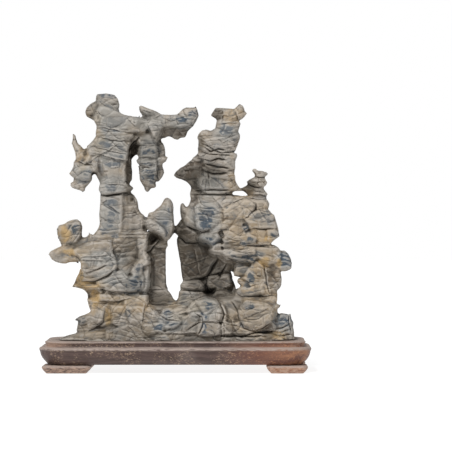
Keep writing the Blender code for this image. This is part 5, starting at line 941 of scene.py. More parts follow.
# Coloured patches on the stone's front, each an oval as (x, z, half length, half height, turn), in mm and
# degrees: slate, where slate is darkest, and cool, ochre and warm stone
SLATE = [
    (37, 68, 3.6, 2.2, 10), (30.7, 62.7, 1.5, 2.2, 0), (29.6, 44.8, 3.2, 2.4, 0), (32.6, 33.4, 2.4, 1.2, 0),
    (-33, 119, 2.2, 1.4, 0), (-28, 120.5, 2, 1, 0), (-29.5, 98.8, 2.2, 1.4, 0), (-26, 93, 2.2, 1, 0),
    (-30, 90.5, 1.6, 1, 0), (-26, 90.5, 1.6, 1, 0), (-40, 87, 2, 1.2, 0), (-29, 80, 2.6, 1.5, 0),
    (-28, 74, 2, 1.6, 0), (-28.3, 69.5, 1.8, 1.3, 0), (-28.8, 65, 1.3, 1.5, 0), (-31, 60.8, 2, 1.2, 0),
    (-27, 59.2, 1.8, 1.1, 0), (-2.6, 69.5, 0.8, 1.6, 20), (-4.5, 65, 1, 1.8, 0), (-4.7, 60.5, 1, 1.5, 0),
    (-13.5, 95.8, 2, 1.2, 0), (-9.3, 95.5, 1.6, 1.1, 0), (-15.5, 92, 1.5, 0.7, 0), (-13, 90.5, 2.8, 0.7, 0),
    (-11.5, 85.2, 3.2, 1.4, 0), (-10.5, 83, 1.6, 1.6, 0), (1.5, 110.3, 5, 1, -4), (22, 106, 2.4, 2.4, 0),
    (18, 98, 1.6, 1.4, 0), (11, 68.5, 2.2, 2, 0), (14.5, 70, 2.6, 2, 0), (11.5, 62.5, 2.2, 1.6, 0),
    (14.5, 57, 2.8, 1.3, 0), (22.5, 71.8, 1, 0.8, 0), (40.5, 69, 1.6, 1.3, 0), (34, 68.5, 1.9, 1.3, 0),
    (33.3, 57, 2, 1.5, 0), (30, 56, 1.8, 1.1, 0), (43.8, 60, 2, 1.4, 0), (31, 49, 3.6, 1.3, 0),
    (48, 48, 3, 4.4, 0), (32.8, 39.5, 1.8, 1.4, 0), (31.5, 36.7, 1.7, 1.3, 0), (32, 33.2, 1.7, 1.2, 0),
    (31, 28.5, 1.6, 1.5, 0), (33.5, 28.5, 1.5, 1.4, 0), (29.2, 20.5, 1.3, 1.5, 0), (47.5, 21.7, 3.8, 3.2, 0),
    (15, 27.5, 1.7, 1.3, 0), (13, 30.5, 1.6, 1.3, 0), (12.5, 24.5, 1.4, 1, 0), (12, 22.3, 1.4, 1, 0),
    (12.5, 19, 1.5, 1.2, 0), (12.5, 16, 1.5, 1.2, 0), (-18.3, 37, 2.9, 3, 0), (-21, 24.8, 1, 2.8, 12),
    (-4, 25.5, 1.5, 1.2, 0), (-5, 23.5, 1.5, 1.2, 0), (-1.5, 20.5, 2.2, 1.1, 0), (-7.5, 18.8, 1.8, 1.1, 0),
    (-42, 21.7, 1.8, 1.4, 0), (-45, 62, 2.4, 2.2, 0), (-47, 50.3, 2.8, 0.6, 0), (-16.5, 43.5, 1.3, 2.8, -25),
    (13, 66, 2.4, 5, -12), (32.5, 42, 1.6, 2.4, 0), (-31, 121, 3.5, 1, 0), (-40, 83.5, 2.4, 1, 20),
    (7, 113, 2, 1.6, 0), (-27, 105, 3, 0.9, -10), (-32, 100, 2.4, 0.8, -5), (-12.5, 87.5, 3, 1, 0),
    (41.5, 66, 1.6, 1.4, 0), (26, 50, 3, 0.9, -15), (36, 51, 3, 1, 0),
]
DEEP_SLATE = [
    (30.7, 62.7, 1.4, 2, 0), (39.5, 68.5, 1.4, 1, 10), (13, 66, 5, 8, -12), (-18, 38, 4, 7, 0),
    (48, 48, 4, 5, 0), (-12, 86, 5, 4.5, 0), (-12, 95.5, 5, 3, 0), (47, 21, 5, 4.5, 0), (4, 111.5, 7, 3, 0),
    (12.5, 20, 3, 7, 0), (14, 29, 4, 4, 0), (-4, 61, 2, 4, 0), (15, 57, 5, 2.5, 0), (33, 57, 6, 3, 0),
    (31, 49, 6, 3, 0), (22.5, 71.5, 2, 1.5, 0), (32.5, 40, 3, 5, 0), (-4.5, 24.5, 4, 3, 0),
    (-4.5, 19.5, 6, 2.5, 0), (-45, 62, 3, 3, 0), (32, 28.5, 4, 3, 0), (43.8, 60, 3, 3, 0),
    (-31, 121, 5, 1.6, 0),
]
COOL = [
    (-28, 111, 10, 8, 0), (-29, 97, 9, 9, 0), (-29, 81, 8, 6, 0), (-29, 68, 5, 9, 0), (-41, 87, 5, 5, 0),
    (-12, 93, 6, 11, 0), (4, 109, 9, 4, 0), (-5, 66, 4, 7, 0), (13, 67, 8, 9, 0), (-31, 49, 12, 4, 0),
    (-12, 110, 8, 5, 0), (-27, 41, 10, 4, 0), (14, 57, 6, 4, 0), (15, 82, 6, 7, 0), (48, 48, 3, 4, 0),
    (-17, 38, 9, 6, 0), (12, 27, 8, 6, 0), (47, 21, 6, 6, 0), (22, 104, 6, 4, 0), (-2, 21, 8, 5, 0),
    (6, 31, 5, 4, 0),
]
OCHRE = [
    (-47, 51.8, 3.2, 1.6, 0), (-39, 37.5, 6.4, 1.7, 0), (-42.5, 42, 1.8, 4.2, 0), (-35.5, 31.5, 2.3, 4.3, 0),
    (-29.8, 23.5, 1.6, 4.7, 0), (38.7, 47.2, 2.6, 2.5, 0), (45.2, 47, 1.4, 2.2, 0), (40, 57.5, 2, 1.6, 0),
    (46, 15.6, 2.4, 2.1, 0), (45.8, 15.4, 3.2, 2.6, 0), (-49, 60, 2.6, 4, 0),
]
WARM = [
    (32, 70, 12, 6, 0), (34, 58, 11, 8, 0), (37, 44, 10, 9, 0), (36, 33, 8, 8, 0), (42, 28, 5, 8, 0),
    (24, 66, 6, 8, 0), (25, 82, 2.5, 6, 0), (26, 112, 6, 4, 0), (-36.5, 110.5, 4, 5, 0), (-34, 100, 3, 7, 0),
    (-41, 93, 3, 7, 0), (-49, 53, 5, 3, 0), (-38, 38, 8, 3.5, 0), (-37, 30, 7, 6, 0), (-20, 29, 13, 5, 0),
    (5, 29, 13, 4, 0), (-45, 47, 5, 6, 0), (-48, 61, 4, 5, 0), (32, 22, 11, 6, 0), (42, 47, 4, 4, 0),
    (37, 50.6, 4, 3, 0), (1.8, 24.2, 4, 3, 0), (-33.4, 15.4, 7, 2, 0), (36, 15, 5, 2, 0),
    (44.4, 24.4, 2.4, 2.4, 0), (38, 50, 7, 6, 0), (33, 41, 8, 8, 0), (-28, 25.6, 3, 5, 0), (-41.4, 52, 4, 3, 0),
    (43.5, 15.5, 4, 2.5, 0), (30, 76, 6, 5, 0),
]
# Places in the shade of what overhangs them: how dark the shade is, and its oval
SHADE = [
    (0.6, (4, 86, 7, 8, -10)), (0.75, (6, 50, 10, 11, 0)), (0.6, (13, 41, 9, 9, 0)), (0.6, (2, 65, 2.5, 9, 0)),
    (0.6, (32, 81, 3.5, 3, 0)), (0.6, (19, 33, 6, 3, 0)), (0.5, (-20.3, 82, 2, 9, 0)),
    (0.45, (-7, 103, 2.5, 4, 0)), (0.5, (10.5, 100, 2, 4, 0)), (0.5, (-44, 55, 6, 1.6, 0)),
    (0.45, (-20, 50, 4.5, 6, 0)), (0.45, (-7, 31, 5, 4, 0)), (0.5, (-11, 15.3, 5, 2, 0)),
    (0.5, (28, 15.3, 6, 1.6, 0)), (0.6, (41, 15.6, 3, 2, 0)), (0.4, (14, 86, 8, 6, 0)),
    (0.5, (2, 59.5, 5, 3, 0)), (0.45, (-20, 37, 4, 4, 0)), (0.4, (26, 28.6, 5, 2.5, 0)),
    (0.5, (6, 81, 5, 4, 0)), (0.35, (-11, 83, 5, 6, 0)), (0.4, (24, 55, 4, 2, 0)), (0.35, (-12, 96, 5, 6, 0)),
    (0.4, (17, 112.5, 3.5, 3.2, 0)), (0.3, (0, 105, 6, 3, 0)), (0.35, (-8.3, 46, 2.8, 10, 0)),
    (0.3, (-36, 119, 4, 4, 0)), (0.3, (6, 20, 6, 4, 0)), (0.35, (31, 48, 7, 1.5, 0)), (0.3, (-42, 22, 4, 5, 0)),
    (0.3, (-20, 17, 12, 3, 0)), (0.5, (37, 32.5, 4, 1.5, 0)), (0.25, (14, 92, 6, 5, 0)),
    (0.22, (14, 86, 6, 4, 0)), (0.2, (6.2, 81.4, 3, 3, 0)), (0.2, (-42.2, 41.8, 2.4, 2.4, 0)),
    (0.4, (1.8, 55, 2.2, 3.6, 0)), (0.45, (-34, 86, 2, 4.5, 0)), (0.35, (-20, 57, 4.5, 5.5, 0)),
    (0.35, (32.5, 81, 4, 4, 0)), (0.35, (-20, 103.5, 3, 3.5, 0)), (0.3, (0.5, 55, 2.5, 5, 0)),
    (0.3, (-38, 42, 4, 2.5, 0)), (0.3, (-15.8, 90, 1.5, 4, 0)), (0.35, (-15.8, 108, 2.5, 2.5, 0)),
    (0.35, (-15.8, 42, 1.6, 3, 0)), (0.3, (-20.5, 77, 3, 5, 0)), (0.3, (-20, 64, 3, 4, 0)),
    (0.35, (-38, 112.5, 2.5, 3, 0)), (0.3, (1.5, 63, 3, 6, 0)), (0.3, (26, 33, 5, 3, 0)),
    (0.3, (-46, 55, 3, 2, 0)), (0.3, (32, 24, 5, 3, 0)), (0.3, (-29, 24, 3, 4, 0)),
    (0.3, (-11.5, 112, 4, 2, 0)), (0.25, (-38, 17, 14, 4, 0)), (0.4, (-42.5, 38, 3, 2.5, 0)),
    (0.4, (24, 19.5, 2.6, 2.4, 0)), (0.4, (1.6, 55, 2.6, 3, 0)), (0.35, (-7, 30.5, 4, 5, 0)),
    (0.35, (-51.5, 50.4, 3, 2, 0)), (0.4, (10.4, 77, 3, 2.4, 0)), (0.5, (18.4, 112.2, 3.2, 3, 0)),
    (0.3, (-2.6, 107, 4, 2.5, 0)), (0.4, (40.4, 18.7, 3.4, 1.3, 35)), (0.3, (10.6, 99, 2.2, 2.6, 0)),
    (0.3, (37, 42, 3, 2.4, 0)), (0.4, (28, 15.2, 5, 1.6, 0)), (0.45, (1.4, 55.5, 2.2, 3.5, 0)),
    (0.35, (1.6, 50.5, 2, 3, 0)), (0.3, (-16.4, 50.6, 1.6, 2.4, 0)), (0.3, (-33.6, 85.6, 2.4, 2.4, 0)),
    (0.3, (-20.2, 76.5, 2.2, 3, 0)), (0.3, (-20.2, 24.2, 2.4, 2.4, 0)), (0.3, (-15.8, 19.6, 2.6, 1.8, 0)),
    (0.3, (6.2, 63, 2.6, 2.2, 0)), (0.3, (-24.6, 55, 2.4, 2.4, 0)), (0.25, (1.8, 33, 2.4, 2, 0)),
    (0.25, (23.8, 55, 2.4, 1.8, 0)), (0.3, (-51, 59.4, 2.4, 3, 0)), (0.3, (28.2, 42, 2.6, 2.4, 0)),
    (0.45, (6, 81.4, 3, 2.6, 0)), (0.3, (1.8, 63.8, 1.8, 2.6, 0)), (0.3, (1.6, 86, 2.4, 2.2, 0)),
    (0.25, (-42.2, 85.8, 2.4, 2.2, 0)), (0.25, (15, 59.4, 2.6, 2, 0)), (0.3, (6.2, 72.6, 2, 2.4, 0)),
    (0.25, (-37.8, 46.2, 2.6, 2.2, 0)),
]
# Brown earth in gaps and hollows, which is partly painted shade in recesses and under ledges, and pale crust,
# which is partly painted light over shadows that the blocks cast
BROWN = [
    (18, 112.5, 3.2, 3, 0), (0, 104.5, 5.4, 1.7, 0), (3, 89, 5.8, 5.4, 0), (8.5, 75.5, 2.5, 3.8, 0),
    (2.7, 69.7, 1.4, 4, 0), (-33.8, 90, 1.1, 3.2, 0), (12, 44, 14, 13, 0), (40.4, 18.7, 3.4, 1.3, 35),
    (-8.7, 46, 4.6, 10.5, 0), (14.5, 90.5, 7, 6.5, 0), (-37.2, 33.3, 1.6, 1.5, 0), (-33, 18.7, 4.2, 1.2, 0),
    (22.2, 67, 2, 2.3, 0), (26.2, 70.7, 1.6, 1.1, 0), (26.2, 22.5, 1.5, 2.2, 0), (-20.7, 90, 1.6, 6.2, 0),
    (41.7, 42.5, 3.3, 4.6, 0), (-35.5, 86.2, 1.8, 1.7, 0), (4.5, 60.5, 5.2, 4.7, 0), (-10, 58, 2.8, 2, 0),
]
PALE = [
    (21, 103, 6.2, 5, 0), (-8.5, 105.5, 3.2, 3.8, 0), (0, 111.8, 5.4, 0.9, -3), (-14.5, 55.5, 2.2, 2.8, 0),
    (19.5, 72.5, 4, 4, 0), (-15.5, 64, 3.5, 5, 0), (-13.5, 48, 2, 8, 0), (2, 25, 5, 3, 0),
    (-11.5, 103.5, 3, 3, 0), (45.5, 47, 3, 4, 0), (24, 99, 3, 4, 0), (37, 50.5, 3, 3, 0),
    (-11.5, 64, 2.5, 4, 0), (-24.5, 112, 4, 3, 0), (11, 88, 3, 4, 0), (10.5, 55, 3, 3, 0),
    (41.5, 55, 3, 2.5, 0), (29, 72.2, 12, 4.4, 0), (16, 78.3, 9.4, 0.7, 0), (-37, 114, 2, 0.7, 0),
    (6.2, 112.2, 3.4, 0.7, -50), (20.5, 63.8, 5.4, 0.9, 36), (35, 24, 5.5, 5.5, 0), (-6, 31, 5.8, 4, 0),
    (34.5, 14.6, 4, 1.2, 0), (32.6, 19.8, 3, 2.4, 0), (46.4, 15, 1.8, 1.5, 0), (19.4, 96.8, 5, 2.6, 0),
    (23.8, 99.5, 2.6, 2.4, 0), (1.8, 24.2, 3, 2.2, 0), (-33.4, 15.2, 6, 1.4, 0), (44.2, 24.4, 1.8, 1.8, 0),
    (-29, 68, 2.4, 3, 0),
]

# The rays that feel how open the sky is over a corner: how many, over what share of the half sphere, how far
# off the surface they start, and for the near and the far measure how far they go and over how many rounds of
# neighbours what they find is smoothed
SKY_RAYS = 14
SKY_SHARE = 0.92
LIFT = 0.08 * MM
SKY_REACH = {"near": 3 * MM, "far": 16 * MM}
SKY_SMOOTHING = {"near": 1, "far": 2}

# The stone as the camera sees it, as a grid of depths: the size of a cell, the first column's place and the
# numbers of rows and columns. Places are read from it up to just inside its last cell, and a cell of the
# missed depth stands for a ray that passes the stone. All in mm
GRID_CELL = 0.4
GRID_LEFT = -62.0
GRID_SIZE = (320, 320)
LAST_CELL = 1.001
MISSED = 1000.0
# A ray that meets the surface at a flatter angle than this, as a cosine, takes its depth from the cells
# around, and so many cells are filled in at most
GRAZING = 0.3
FILL_ROUNDS = 8
# How the steps between blocks are worn into slopes, in front and at the back. Steps lower than the steepest,
# in mm from one cell to the next, stay
EASING_ROUNDS = {"front": 10, "back": 40}
EASING_RATE = 0.24
STEEPEST = 0.6
# How far inside the outline the surface starts to turn back, how far it turns back on the outline, in mm, and
# how many times as much it does so at the back
RIM_REACH = 5.0
RIM_DEPTH = 2.0
REAR_RIM = 1.4
# Over how many cells a step is felt, the height in mm of a full one, and how deep its foot is grooved
# and its crest raised, in mm
STEP_CELLS = 1
STEP_FULL = 1.3
STEP_GROOVE = 0.2
# A gap in front that is narrower than twice so many cells is left no deeper than this, in mm
GAP_CELLS = 3
GAP_DEPTH = 1.1
# What easing leaves: the front goes back at most this share of the way through the stone, a side counts as at
# least so deep, and the stone stays at least so thick, both in mm
THINNEST_SHARE = 0.5
LEAST_BACKING = 0.5
LEAST_THICKNESS = 1.2
# Over how many cells the front and back that a corner lies between are taken at their closest, and the room
# beside it at its widest
RANGE_CELLS = 2
ROOM_CELLS = 6

# Linear colours
GREY_STONE = (0.256, 0.219, 0.176)
WARM_STONE = (0.315, 0.259, 0.194)
COOL_STONE = (0.262, 0.252, 0.234)
TAN_STONE = (0.365, 0.285, 0.190)
WARM_TINT = (1.0, 0.90, 0.75)
COOL_TINT = (0.89, 0.95, 1.0)
SHADE_TINT = (0.14, 0.125, 0.095)
PALE_STONE = (0.410, 0.365, 0.312)
SLATE_STONE = (0.082, 0.100, 0.120)
OCHRE_STONE = (0.470, 0.330, 0.155)
BROWN_STONE = (0.135, 0.105, 0.080)
# Pale dust of worn edges and crests, also painted highlights on sharp edges and above cracks
DUST_AND_HIGHLIGHT_STONE = (0.500, 0.455, 0.400)
# Painted shade in recesses
RECESS_SHADE = (0.120, 0.098, 0.070)
# Dark of cracks, also painted shade in creases, tight corners, hollows and at the feet of steps
CRACK_AND_SHADE_DARK = (0.034, 0.027, 0.020)
DARK_GRAIN = (0.3, 0.3, 0.3)
PALE_GRAIN = (0.7, 0.7, 0.7)
DARK_WOOD = (0.060, 0.036, 0.030)
MID_WOOD = (0.105, 0.066, 0.057)
GREY_WOOD = (0.150, 0.112, 0.100)
RED_WOOD = (0.190, 0.068, 0.042)
WORN_WOOD = (0.400, 0.285, 0.190)
ORANGE_WOOD = (0.460, 0.220, 0.110)
BARE_WOOD = (0.480, 0.320, 0.235)
# Dust on the wood, also the painted highlight along the mouldings' lips
DUST_AND_HIGHLIGHT_WOOD = (0.380, 0.305, 0.265)
WHITE = (1.0, 1.0, 1.0)
FLOOR_COLOUR = (0.25, 0.25, 0.25)

# How coloured patches fade, as shares of their ovals, and how far noise moves their edges: its size and depth
PATCH_EDGE = (0.65, 1.15)
SLATE_EDGE = (0.3, 1.7)
DEEP_EDGE = (0.5, 1.3)
SHADE_EDGE = (0.6, 1.25)
HOLLOW_EDGE = (0.0, 1.2)
DEEPEST_SHADE = 0.8
PATCH_JITTER = (2.2 * MM, 1.1)
CRACK_JITTER = (3 * MM, 0.35)
JITTER_SHIFT = 0.05
# The back's own patches: the span of their noise, and between which of its values they set in
PATCH_SPAN = 11.0 * MM
REAR_SLATE = (0.28, 0.42)
REAR_OCHRE = (0.25, 0.5)
# How many rounds of neighbours a sharp edge and a broad ridge are compared with
EDGE_ROUNDS = 2
RIDGE_ROUNDS = 10

# The stone's noises: size in mm, detail, roughness and, for the streaks, distortion
STONE_NOISES = {
    "wander": (9.0, 5.0, 0.55), "mottle": (2.6, 5.0, 0.6), "grain": (0.7, 3.0, 0.6), "tinge": (4.0, 3.0, 0.55),
    "uneven": (3.0, 3.0, 0.55), "hem": (4.5, 3.0, 0.55), "fine": (5.0, 3.0, 0.55), "border": (6.0, 3.0, 0.55),
}
STREAK_NOISE = (2.0, 5.0, 0.7, 0.8)
STREAK_STRETCH = (0.7, 1.0, 1.2)
# Hairline cracks: their cells' size in mm, their width and how they are stretched
HAIRLINE = (6.0, 0.02)
HAIRLINE_STRETCH = (1.0, 1.0, 1.4)
# Between which values each mask of the stone sets in; it falls where the first is the larger. Those beside a
# crack go by the distance from its line, in its own half widths
STONE_RAMPS = {
    "ground": (0.42, 0.58), "mottle": (0.45, 0.7), "pale_facet": (0.5, 1.0), "slate_facet": (0.4, 0.0),
    "wash": (0.75, 1.3), "slate": (1.05, 1.6), "ochre": (0.25, 0.5), "ridge": (0.12, 0.5), "tinge": (0.5, 0.62),
    "edge": (0.015, 0.07), "recess": (0.75, 0.25), "sunk": (-0.02, -0.10), "tight": (0.65, 0.2),
    "uneven": (0.3, 0.6), "crest": (-0.12, -0.6), "foot": (0.12, 0.8), "fold_foot": (0.45, 0.02),
    "over_far": (2.4, 0.1), "over_near": (-0.1, 0.1), "over_power": (0.02, 0.4), "hem": (0.5, 0.68),
    "fine": (0.38, 0.6), "border_near": (0.0, 0.02), "border_far": (0.08, 0.03), "border": (0.45, 0.6),
    "lit_near": (0.15, 0.45), "lit_far": (1.1, 0.5), "lit_power": (0.05, 0.35), "line": (0.28, 0.05),
    "line_power": (-0.1, 0.9), "pit": (0.35, 0.8),
}
# How strongly each layer of the stone covers what is under it, or adds to what it is mixed with
STONE_AMOUNTS = {
    "mottle": 0.6, "warm": 0.7, "cool": 0.7, "pale": 0.75, "brown": 0.75, "pale_facet": 0.5, "slate_facet": 0.25,
    "streaks": 0.9, "chips": 0.7, "wash": 0.6, "deep": 0.35, "slate": 0.65, "tinge": 0.55, "edge": 0.6,
    "ochre_in_recess": 0.7, "recess": 0.75, "sunk": 0.45, "tight": 0.6, "hairline": 0.3, "crest": 0.4,
    "foot": 0.6, "ochre": 0.68, "warm_tint": 0.5, "cool_tint": 0.6, "fold_line": 0.6, "hem": 0.6, "border": 0.4,
    "lit": 0.5, "mottle_in_pit": 0.5, "pit": 0.85, "grain": 0.25,
}
# Bump in mm, and how the stone reflects
STONE_BUMPS = {"facets": 0.62, "mottle": 0.08, "grain": 0.05, "cracks": 0.25}
STONE_ROUGHNESS = 0.78
STONE_GLOSS = 0.25
# Half the width, in mm, of the dark line along a fold, and the share of it that is fully dark
FOLD_LINE = 0.18
LINE_CORE = 0.25
# Facets in the material: their sizes in mm, how far and how finely their borders bend, how wide their rims
# are, how steep and how flat they are, and the power of the rise from rim to top
BIG_FACET = 9.0
SMALL_FACET = 3.4
FACET_DETAIL = 2.0
FACET_WARP_SPAN = 1.2
FACET_WARP = 0.9
FACET_RIM = 0.25
FACET_SLOPE = 1.8
FACET_FLATNESS = 1.6
FACET_DOME = 0.5

# The wood's noises: size in mm, detail, roughness, distortion and how it is stretched along the grain
WOOD_NOISES = {
    "grain": (1.2, 4.0, 0.6, 0.2, 0.12), "fibre": (0.35, 3.0, 0.6, 0.0, 0.12),
    "blotch": (9.0, 4.0, 0.55, 0.0, 1.0), "rubbed": (5.0, 3.0, 0.6, 0.0, 0.12),
    "specks": (0.55, 5.0, 0.7, 0.0, 0.5), "spread": (8.0, 2.0, 0.55, 0.0, 1.0),
    "bare": (0.8, 5.0, 0.75, 0.0, 0.4), "faded": (4.0, 3.0, 0.6, 0.0, 0.12),
}
# Between which values each mask of the wood sets in, and between which places, in mm along the stand or up it
WOOD_RAMPS = {
    "grain": (0.35, 0.7), "grey": (0.5, 0.7), "rubbed": (0.38, 0.62), "specks": (0.53, 0.63),
    "spread": (0.42, 0.56), "bare": (0.38, 0.58), "faded": (0.35, 0.6), "upward": (0.35, 0.85),
    "dust": (0.2, 0.5), "lip": (0.3, 0.6),
}
WOOD_PLACES = {
    "red": (14, 40), "right_end": (30, 52), "right_wear": (20, 34), "left_wear": (-40, -53), "tier": (10.4, 11.2),
}
# How strongly each layer of the wood covers what is under it
WOOD_AMOUNTS = {"grey": 0.5, "red": 0.6, "rubbed": 0.6, "specks_at_end": 0.8, "faded": 0.6, "dust": 0.8}
WOOD_BUMPS = {"fibre": 0.15, "grain": 0.25}
WOOD_ROUGHNESS = 0.52
WOOD_GLOSS = 0.35
# How much of the stand and of a foot is worn in specks and rubbed bare
STAND_WEAR = (0.85, 0.0)
FOOT_WEAR = (0.9, 0.8)
# Painted highlights along the lips of the mouldings: their height and how far the highlight reaches, in mm, and
# its share at full strength
STAND_LIPS = [(10.5, 0.8), (13.4, 0.5)]
FOOT_LIPS = [(2.9, 0.5)]
LIP_CORE = 0.3

# Studio: the floor's half size in metres and its own glow, the key light's direction, strength and softness in
# degrees, the sky's strength as the camera sees it and as it lights the object, and the distance in metres
# from which on the camera sees
FLOOR_SIZE = 3.0
FLOOR_GLOW = 0.86
FLOOR_ROUGHNESS = 0.9
KEY_DIRECTION = (0.35, 0.75, -0.95)
KEY_STRENGTH = 2.24
KEY_SOFTNESS = 14
SKY_SEEN = 1.0
SKY_STRENGTH = 0.40
NEAREST_SEEN = 0.01

# How finely the stone is made
VOXEL = 0.40 * MM
STONE_TRIANGLES = 196000
# Blocks: the dome of a core, how far outlines grow, both in mm, the share of its dome by which a block's edges
# are rounded, the part of its depth that this takes at most, and in how many steps
CORE_ROUNDING = 1.2
GROWTH = 0.12
ROUNDING_SHARE = 0.75
ROUNDING_LIMIT = 2.5
ROUNDING_STEPS = 2
# How the fused blocks are smoothed, and within what distance their corners are welded
SOFTENING = 0.5
SOFTENING_ROUNDS = 5
WELD = 0.01 * MM
# What lies deeper than this behind the eased front, in mm, is thinned by the weight for the back. The factor
# says how much the weights count
FINE_DEPTH = 1.2
THINNING = {"front": 0.5, "back": 1.0}
THINNING_FACTOR = 0.00005
# How far the block that trims the stone's foot, and the tool that sinks the socket, reach past the stand
SEAT_MARGIN = 40 * MM
SOCKET_MARGIN = 5 * MM

# Weathering: how deep and how large each kind of relief is
STRATA_HEIGHT = 3.2 * MM
STRATA_DEPTH = 0.06 * MM
STRATA_BEND = 1.6
STRATA_BEND_SPAN = 3
BLOCK_SIZE = 7.5 * MM
BLOCK_FLATNESS = 1.7
BLOCK_BEND = 0.5
BLOCK_BEND_SPAN = 2.2
BLOCK_SEED = 37.0
BLOCK_DEPTH = {"front": 0.05 * MM, "back": 0.5 * MM}
CRACK_WIDTH = 0.12
CRACK_DEPTH = {"front": 0.0 * MM, "back": 0.15 * MM}
LUMP_SIZE = 13.0 * MM
LUMP_DEPTH = {"front": 0.15 * MM, "back": 2.8 * MM}
FAR_OFF = Vector((17, 31, 47))
# Sets of folds: spacing in mm, lean, how far they sway in folds, and the noise between which they set in
CREASES = [
    (4.2, 0.05, 2.2, -0.35, 0.05), (6.5, 0.75, 1.8, 0.0, 0.25), (7.5, -0.85, 1.6, 0.02, 0.25),
    (2.3, -0.12, 2.6, 0.08, 0.3),
]
CREASE_SWAY = 20.0 * MM
CREASE_WIGGLE = 5.0 * MM
WIGGLE_DEPTH = 0.35
CREASE_PATCH = 11.0 * MM
CREASE_DROP = 0.14
CREASE_DEPTH = 0.30 * MM
# How much deeper the folds are at the back, how fast a place counts as front or back as it turns to it, where
# between front and back a side's relief starts, and how much of the stone beside it that may take away
REAR_FOLDS = 2.4
FACING_GAIN = 2
SIDE_START = (0.12, 0.4)
SIDE_SHARE = 0.35
# The normal's part away from the camera with which a place is all back, and all front, for what is drawn
FRONT_TURN = (0.35, -0.15)
# A crack is the lower edge of a fold: how far the stone lifts above it and drops below it, and how far off
FOLD_LIFT = {"above": 0.34, "below": -0.28}
FOLD_REACH = {"above": 3.2, "below": 1.8}
FOLD_LIMIT = 0.9
# How much of its drawn depth a crack and a hollow are cut in, beside what the folds give, and how they fade
CRACK_CUT = {"fine": 0.15, "wide": 0.5}
WIDE_CRACK = 1.1
CRACK_CORE = 0.1
HOLLOW_CUT = 0.4
HOLLOW_FADE = (0.1, 1.2)
# The share of its length over which a stroke fades at each end, and the share that it would run past it
STROKE_FADE = 0.22
STROKE_PAST = 0.05
# How far from a crack, in mm, its side is stored, and the share of that at which it starts to fade
LINE_REACH = 1.4
LINE_FADE = 0.6
# The depths, in mm, at which a crack and a hollow are fully black
CRACK_BLACK = 2.6
HOLLOW_BLACK = 4.0


def smoothstep(low, high, value):
    """0 at low and 1 at high, eased between; low may be the larger of the two."""
    share = np.clip((value - low) / (high - low), 0, 1)
    return share * share * (3 - 2 * share)


def mix(low, high, share):
    return low + (high - low) * share


def sway(x, z):
    """How far back the stone leans at a place: nothing at its foot, more towards its heads."""
    low, high = SWAY_FOOT
    share = min(max((z - low) / (high - low), 0), 1)
    return SWAY * share * noise.noise(Vector((x, 0, z)) / SWAY_SPAN)


def swell(x, z):
    """How much thicker than drawn the stone's back is at a place."""
    return 1 + SWELL * noise.noise(Vector((x, SWELL_SPAN, z)) / SWELL_SPAN)


def seen_at(x, z, y):
    """The place, in metres, of a point drawn at (x, z) mm that lies y mm behind the middle plane."""
    scale = (EYE_DISTANCE + y) / EYE_DISTANCE
    return Vector((EYE_X + (x - EYE_X) * scale, y, EYE_Z + (z - EYE_Z) * scale)) * MM


def drawn_from(places):
    """Where points of the surface, in metres, appear on the drawing, in mm: the reverse of seen_at."""
    scale = EYE_DISTANCE / (EYE_DISTANCE + places[:, 1] / MM)
    x = EYE_X + (places[:, 0] / MM - EYE_X) * scale
    z = EYE_Z + (places[:, 2] / MM - EYE_Z) * scale
    return x, z


def polygon_size(outline):
    """Area and perimeter of a closed outline."""
    area = 0
    perimeter = 0
    for (x1, z1), (x2, z2) in zip(outline, outline[1:] + outline[:1]):
        area += (x1 * z2 - x2 * z1) / 2
        perimeter += math.hypot(x2 - x1, z2 - z1)
    return abs(area), perimeter


def slab(outline, face, back, dome=0, lean_up=0, lean_right=0, growth=GROWTH):
    """The mesh of one block: its outline extruded from back to face, with rounded edges."""
    area, perimeter = polygon_size(outline)
    rounding = min(dome * ROUNDING_SHARE, area / perimeter, (face + back) / ROUNDING_LIMIT)
    curve = bpy.data.curves.new("slab", "CURVE")
    curve.dimensions = "2D"
    curve.fill_mode = "BOTH"
    curve.extrude = (face + back) / 2 - rounding
    curve.bevel_depth = rounding
    curve.bevel_resolution = ROUNDING_STEPS
    curve.offset = growth - rounding
    spline = curve.splines.new("POLY")
    spline.points.add(len(outline) - 1)
    for point, (x, z) in zip(spline.points, outline):
        point.co = (x, z, 0, 1)
    spline.use_cyclic_u = True
    holder = bpy.data.objects.new("slab", curve)
    mesh = bpy.data.meshes.new_from_object(holder)
    bpy.data.objects.remove(holder)
    bpy.data.curves.remove(curve)
    centre_x = sum(x for x, z in outline) / len(outline)
    centre_z = sum(z for x, z in outline) / len(outline)
    for corner in mesh.vertices:
        x, z, height = corner.co
        ahead = height / (face + back) + 0.5
        front_y = lean_up * (z - centre_z) + lean_right * (x - centre_x) - face
        corner.co = seen_at(x, z, mix(back * swell(x, z), front_y, ahead) + sway(x, z))
    return mesh


def mesh_object(name, bm):
    bmesh.ops.recalc_face_normals(bm, faces=bm.faces)
    mesh = bpy.data.meshes.new(name)
    bm.to_mesh(mesh)
    bm.free()
    result = bpy.data.objects.new(name, mesh)
    bpy.context.scene.collection.objects.link(result)
    return result


def joined(name, meshes):
    """One object that holds all the meshes, each with its own corners welded."""
    bm = bmesh.new()
    for mesh in meshes:
        bm.from_mesh(mesh)
        bpy.data.meshes.remove(mesh)
    bmesh.ops.remove_doubles(bm, verts=bm.verts, dist=WELD)
    return mesh_object(name, bm)


def apply_modifiers(item):
    """Turn the object's evaluated shape into its own mesh."""
    depsgraph = bpy.context.evaluated_depsgraph_get()
    mesh = bpy.data.meshes.new_from_object(item.evaluated_get(depsgraph))
    item.modifiers.clear()
    item.data = mesh


